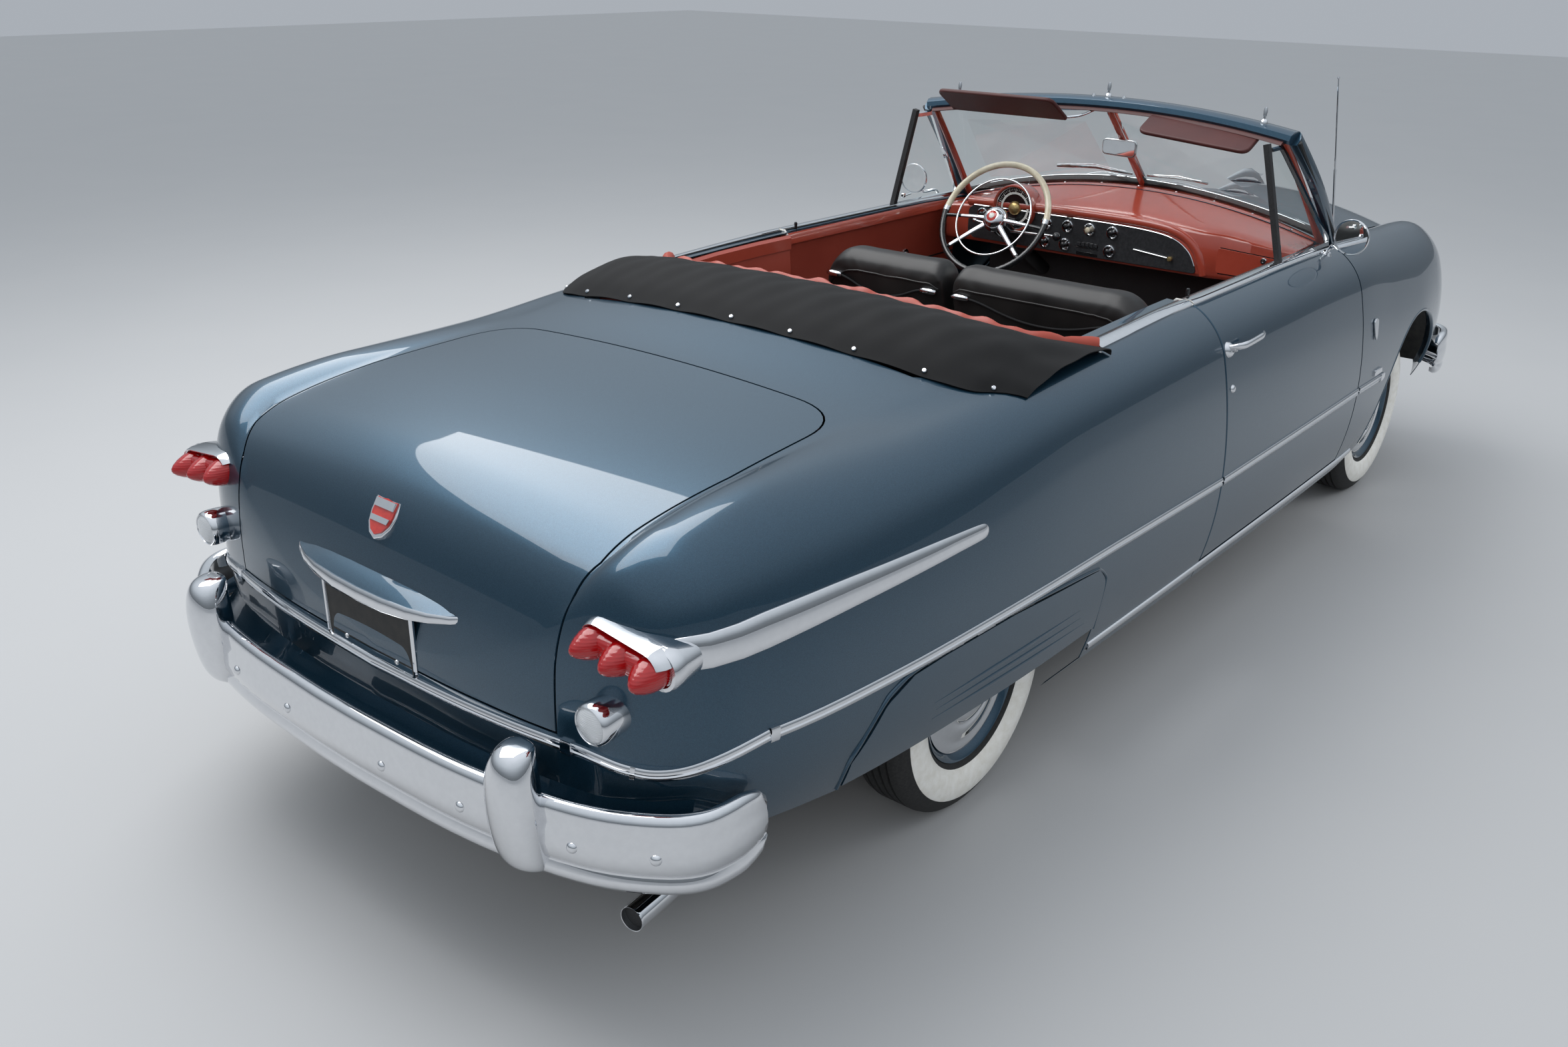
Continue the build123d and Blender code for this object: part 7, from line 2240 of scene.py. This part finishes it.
# Wipers, left side: pivot foot (x, y), arm and blade places
wiper = {"foot": (1.068, 0.300), "pivotAxis": (0.3, 0, 1),
         "pivot": [(0.0, 0.024), (0.010, 0.022), (0.014, 0.012), (0.018, 0.004), (0.019, -0.004), (0.0, -0.008)],
         "elbow": (0.006, -0.020, 0.026), "armEnd": (1.035, 0.060, 1.222), "armRise": (0.012, 0, 0.012),
         "armSection": (0.009, 0.004), "blade": ((1.022, 0.030, 1.236), (0.936, 0.300, 1.246)),
         "bladeRise": (0.010, 0, 0.006), "bladeSection": (0.007, 0.010),
         "backRises": [(0.1, (0.006, 0, 0.006)), (0.5, (0.018, 0, 0.014)), (0.9, (0.006, 0, 0.006))],
         "backSection": (0.006, 0.004)}


def makeWipers():
    parts, blades = [], []
    for side in (1, -1):
        foot = topPoint(*wiper["foot"])[0]
        foot.y *= side
        elbow, far, low, high = [Vector((x, side * y, z))
                                 for x, y, z in (wiper["elbow"], wiper["armEnd"], *wiper["blade"])]
        elbow += foot
        parts.append(turned(wiper["pivot"], foot, wiper["pivotAxis"], 24))
        parts.append(bar(smoothLine([elbow, elbow.lerp(far, 0.5) + Vector(wiper["armRise"]), far], 5),
                         ringProfile(*wiper["armSection"], 8)))
        blades.append(bar([low, low.lerp(high, 0.5) + Vector(wiper["bladeRise"]), high],
                          ringProfile(*wiper["bladeSection"], 8)))
        parts.append(bar([low.lerp(high, t) + Vector(rise) for t, rise in wiper["backRises"]],
                         ringProfile(*wiper["backSection"], 6)))
    return parts, blades


# Header pegs for the top's latches, pillar gaskets and the linings of header and pillars
topPeg = {"places": (2, 12, 22), "shift": (-0.004, 0, 0.018), "axis": (0.05, 0, 1),
          "shape": [(0.0, 0.052), (0.0045, 0.050), (0.0065, 0.040), (0.0065, 0.026), (0.0045, 0.024),
                    (0.0045, 0.016), (0.010, 0.012), (0.012, 0.004), (0.012, -0.004), (0.0, -0.006)],
          "stopPlaces": (11, 13), "stopShift": (0.0, 0, 0.019),
          "stop": [(0.0, 0.010), (0.005, 0.009), (0.007, 0.002), (0.0, 0.0)],
          "gasketShifts": {"base": (-0.012, 0.016, 0.006), "head": (-0.010, 0.016, -0.010)},
          "gasketSection": (0.020, 0.014),
          "lining": {"endShift": -0.012, "end": (0.664, 1.450), "middleShift": -0.014, "middle": 1.497},
          "liningSection": (0.050, 0.016), "liningUp": (-0.4, 0, 1),
          "pillar": [(0.985, 0.705, 1.086), (0.812, 0.684, 1.270), (0.630, 0.660, 1.450)],
          "pillarSection": (0.034, 0.018), "pillarUp": (-1, 0, -0.4)}


def makePegs():
    line = bow(shield["head"], shield["headMiddle"])
    pegs = [turned(topPeg["shape"], line[at] + Vector(topPeg["shift"]), topPeg["axis"], 20)
            for at in topPeg["places"]]
    pegs += [turned(topPeg["stop"], line[at] + Vector(topPeg["stopShift"]), (0, 0, 1), 14)
             for at in topPeg["stopPlaces"]]
    put("topLatchPegs", joined(*pegs), looks["chrome"], "body")
    gaskets = []
    for side in (1, -1):
        run = [Vector(shield[key]) + Vector(shift) for key, shift in topPeg["gasketShifts"].items()]
        run = [Vector((p.x, side * p.y, p.z)) for p in run]
        gaskets.append(bar(run, ringProfile(*topPeg["gasketSection"], 8), normals=[(1, 0, 1)] * 2))
    put("pillarGaskets", joined(*gaskets), looks["rubber"], "body")
    lining = topPeg["lining"]
    line = bow((shield["head"][0] + lining["endShift"], *lining["end"]),
               (shield["headMiddle"][0] + lining["middleShift"], lining["middle"]), 0, 20)
    put("headerLining", bar(line, ringProfile(*topPeg["liningSection"], 8), normals=[topPeg["liningUp"]] * len(line)),
        looks["visorVinyl"], "body")
    inner = []
    for side in (1, -1):
        run = smoothLine([Vector((x, side * y, z)) for x, y, z in topPeg["pillar"]], 5)
        inner.append(bar(run, ringProfile(*topPeg["pillarSection"], 8), normals=[topPeg["pillarUp"]] * 11))
    put("pillarLining", joined(*inner), looks["redPaint"], "body")


# Side fittings: skirt bead and streaks, blank nameplates, arch lips and liners, exhaust tip
fitting = {"bead": [(-1.851, 0.395), (-1.849, 0.466), (-1.826, 0.510), (-1.772, 0.583), (-1.740, 0.605),
                    (-1.680, 0.622), (-1.568, 0.626), (-1.306, 0.621), (-1.100, 0.607), (-0.930, 0.592),
                    (-0.895, 0.584), (-0.862, 0.560), (-0.850, 0.530), (-0.848, 0.395)],
           "streaks": [(-1.588, 0.505, -0.974, 0.499), (-1.574, 0.482, -0.961, 0.472),
                       (-1.582, 0.459, -0.930, 0.444)], "emblem": (1.096, 0.800),
           "plate": (1.128, 1.196, 0.624, 0.645),
           "beadSection": [(-0.0050, -0.003), (-0.0040, 0.0015), (-0.0015, 0.0035), (0.0015, 0.0035),
                           (0.0040, 0.0015), (0.0050, -0.003)],
           "streakSection": [(-0.009, -0.003), (-0.006, 0.0015), (-0.002, 0.0035), (0.002, 0.0035), (0.006, 0.0015),
                             (0.009, -0.003)],
           "emblemHalf": [(0.0, -0.040), (0.010, -0.024), (0.020, 0.026), (0.012, 0.034), (0.0, 0.037)]}


def makeSideFittings():
    spots, outs = [], []
    for x, z in fitting["bead"]:
        point, out = sidePoint(x, z, 0.001)
        spots.append(point)
        outs.append(out)
    spots = smoothLine(spots, 3)
    outs = smoothLine(outs, 3)
    bead = bar(spots, fitting["beadSection"], normals=outs)
    put("skirtBeads", bothSides(bead), looks["paint"], "body", bend=70)
    ribs = []
    for x0, z0, x1, z1 in fitting["streaks"]:
        line, outs, sizes = [], [], []
        for k in range(25):
            x, z = x0 + (x1 - x0) * k / 24, z0 + (z1 - z0) * k / 24
            point, out = sidePoint(x, z, 0.0035)
            line.append(point)
            outs.append(out)
            sizes.append(min(1.0, 0.25 + 2.2 * min(k, 24 - k) / 24))
        ribs.append(bar(line, fitting["streakSection"], normals=outs, taper=sizes))
    put("skirtStreaks", bothSides(joined(*ribs)), looks["paint"], "body", bend=70)
    x, z = fitting["emblem"]
    point, out = sidePoint(x, z, 0.001)
    half = fitting["emblemHalf"]
    outline = half + [(-a, b) for a, b in reversed(half[1:-1])]
    vee = prism([(x + a, z + b) for a, b in outline], 1, 0.0, 0.007)
    tilt = Matrix.Rotation(math.atan2(out.z, out.y), 4, "X")
    lean = Matrix.Translation(point) @ tilt @ Matrix.Translation((-x, 0, -z))
    bmesh.ops.transform(vee, matrix=lean, verts=vee.verts)
    rounded(put("fenderEmblems", bothSides(vee), looks["chrome"], "body", bend=30), 0.0018, 2, 30)
    x0, x1, z0, z1 = fitting["plate"]
    point, out = sidePoint((x0 + x1) / 2, (z0 + z1) / 2)
    plate = prism([(x0, z0), (x1 + 0.012, z0), (x1, z1), (x0, z1)], 1, point.y - 0.004, point.y + 0.007)
    rounded(put("fenderNameplates", bothSides(plate), looks["chrome"], "body", bend=30), 0.002, 2, 30)


arch = {"middle": (1.679, 0.345), "start": 0.085, "lipRadius": 0.406, "lipSweep": 0.915, "lipSteps": 40,
        "lipFoot": 0.322, "lipInset": -0.003,
        "lipSection": [(-0.006, -0.006), (-0.006, 0.003), (-0.002, 0.005), (0.003, 0.004), (0.006, 0.000),
                       (0.006, -0.006)],
        "linerSweep": 0.930, "linerSteps": 32, "linerInner": 0.420, "linerOuter": 0.4265, "linerReach": 0.415,
        "linerSpan": (1.25, 2.08), "linerLow": 0.36, "linerGap": 0.030, "inboard": 0.470,
        "apronRadius": 0.400, "apronSteps": 24, "apron": (0.452, 0.458)}


def makeArches():
    x0, z0 = arch["middle"]
    line, outs = [], []
    for k in range(arch["lipSteps"] + 1):
        a = math.pi * (arch["start"] + arch["lipSweep"] * k / arch["lipSteps"])
        point, out = sidePoint(x0 + arch["lipRadius"] * math.cos(a), z0 + arch["lipRadius"] * math.sin(a),
                               arch["lipInset"])
        line.append(point)
        outs.append(out)
    point, out = sidePoint(x0 - arch["lipRadius"], arch["lipFoot"], arch["lipInset"])
    lip = bar(line + [point], arch["lipSection"], normals=outs + [out])
    put("archLips", bothSides(joined(lip)), looks["paint"], "body", bend=70)
    rings = []
    inner, outer, inboard = arch["linerInner"], arch["linerOuter"], arch["inboard"]
    rear, front = arch["linerSpan"]
    for k in range(arch["linerSteps"] + 1):
        a = math.pi * (arch["start"] + arch["linerSweep"] * k / arch["linerSteps"])
        c, s = math.cos(a), math.sin(a)
        x, z = x0 + arch["linerReach"] * c, z0 + arch["linerReach"] * s
        edge = sidePoint(min(max(x, rear), front), max(z, arch["linerLow"]))[0].y - arch["linerGap"]
        rings.append([Vector((x0 + radius * c, y, z0 + radius * s))
                      for radius, y in ((inner, inboard), (inner, edge), (outer, edge), (outer, inboard))])
    put("frontArchLiners", bothSides(ringSolid(rings)), looks["frameBlack"], "body", bend=50)
    turns = [math.pi * k / arch["apronSteps"] for k in range(arch["apronSteps"] + 1)][4:21]
    apron = prism([(x0 + arch["apronRadius"] * math.cos(a), z0 + arch["apronRadius"] * math.sin(a)) for a in turns],
                  1, *arch["apron"])
    put("innerAprons", bothSides(apron), looks["frameBlack"], "body")


exhaustTip = {"foot": (-2.150, -0.6538, 0.2313), "aim": (-2.275, -0.6693, 0.2320),
              "profile": [(0.0250, 0.0), (0.0262, 0.002), (0.0266, 0.020), (0.0270, 0.090), (0.0274, 0.124),
                          (0.0278, 0.1290), (0.0272, 0.1310), (0.0260, 0.1305), (0.0254, 0.126), (0.0250, 0.085),
                          (0.0, 0.080)],
              # The black disc just inside the tip's mouth is painted shade, standing for the dark inside of the pipe
              "paintedShadeDisc": [(0.0, 0.1150), (0.0252, 0.1150), (0.0252, 0.1170), (0.0, 0.1170)]}


def makeExhaustTip():
    foot = Vector(exhaustTip["foot"])
    ahead = (Vector(exhaustTip["aim"]) - foot).normalized()
    # The tip in chrome, and a disc in the black rubber finish inside it as painted shade of the pipe's inside
    for name, shape, look, sides in (("PaintedShadeDisc", "paintedShadeDisc", "rubber", 32), ("Tip", "profile", "chrome", 40)):
        put(f"exhaust{name}", turned(exhaustTip[shape], foot, ahead, sides), looks[look], "body")


def dressNodes():
    # Materials of the CAD nodes that stay as they are
    dress = {"chassis": "frameBlack", "engine": "iron", "rear_axle": "frameBlack", "fuel_tank": "steel",
             "exhaust": "steel", "knuckle_left": "frameBlack", "knuckle_right": "frameBlack",
             "steering_column": "blackGloss"}
    for name, look in dress.items():
        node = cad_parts[name]
        node.data.materials.clear()
        node.data.materials.append(looks[look])


makeGrille()
makeHeadlamps()
makeOrnament()
arms, blades = makeWipers()
put("wiperArms", joined(*arms), looks["dullChrome"], "body")
put("wiperBlades", joined(*blades), looks["dullChrome"], "body")
makePegs()
makeSideFittings()
makeArches()
makeExhaustTip()
dressNodes()
print("fittings made")
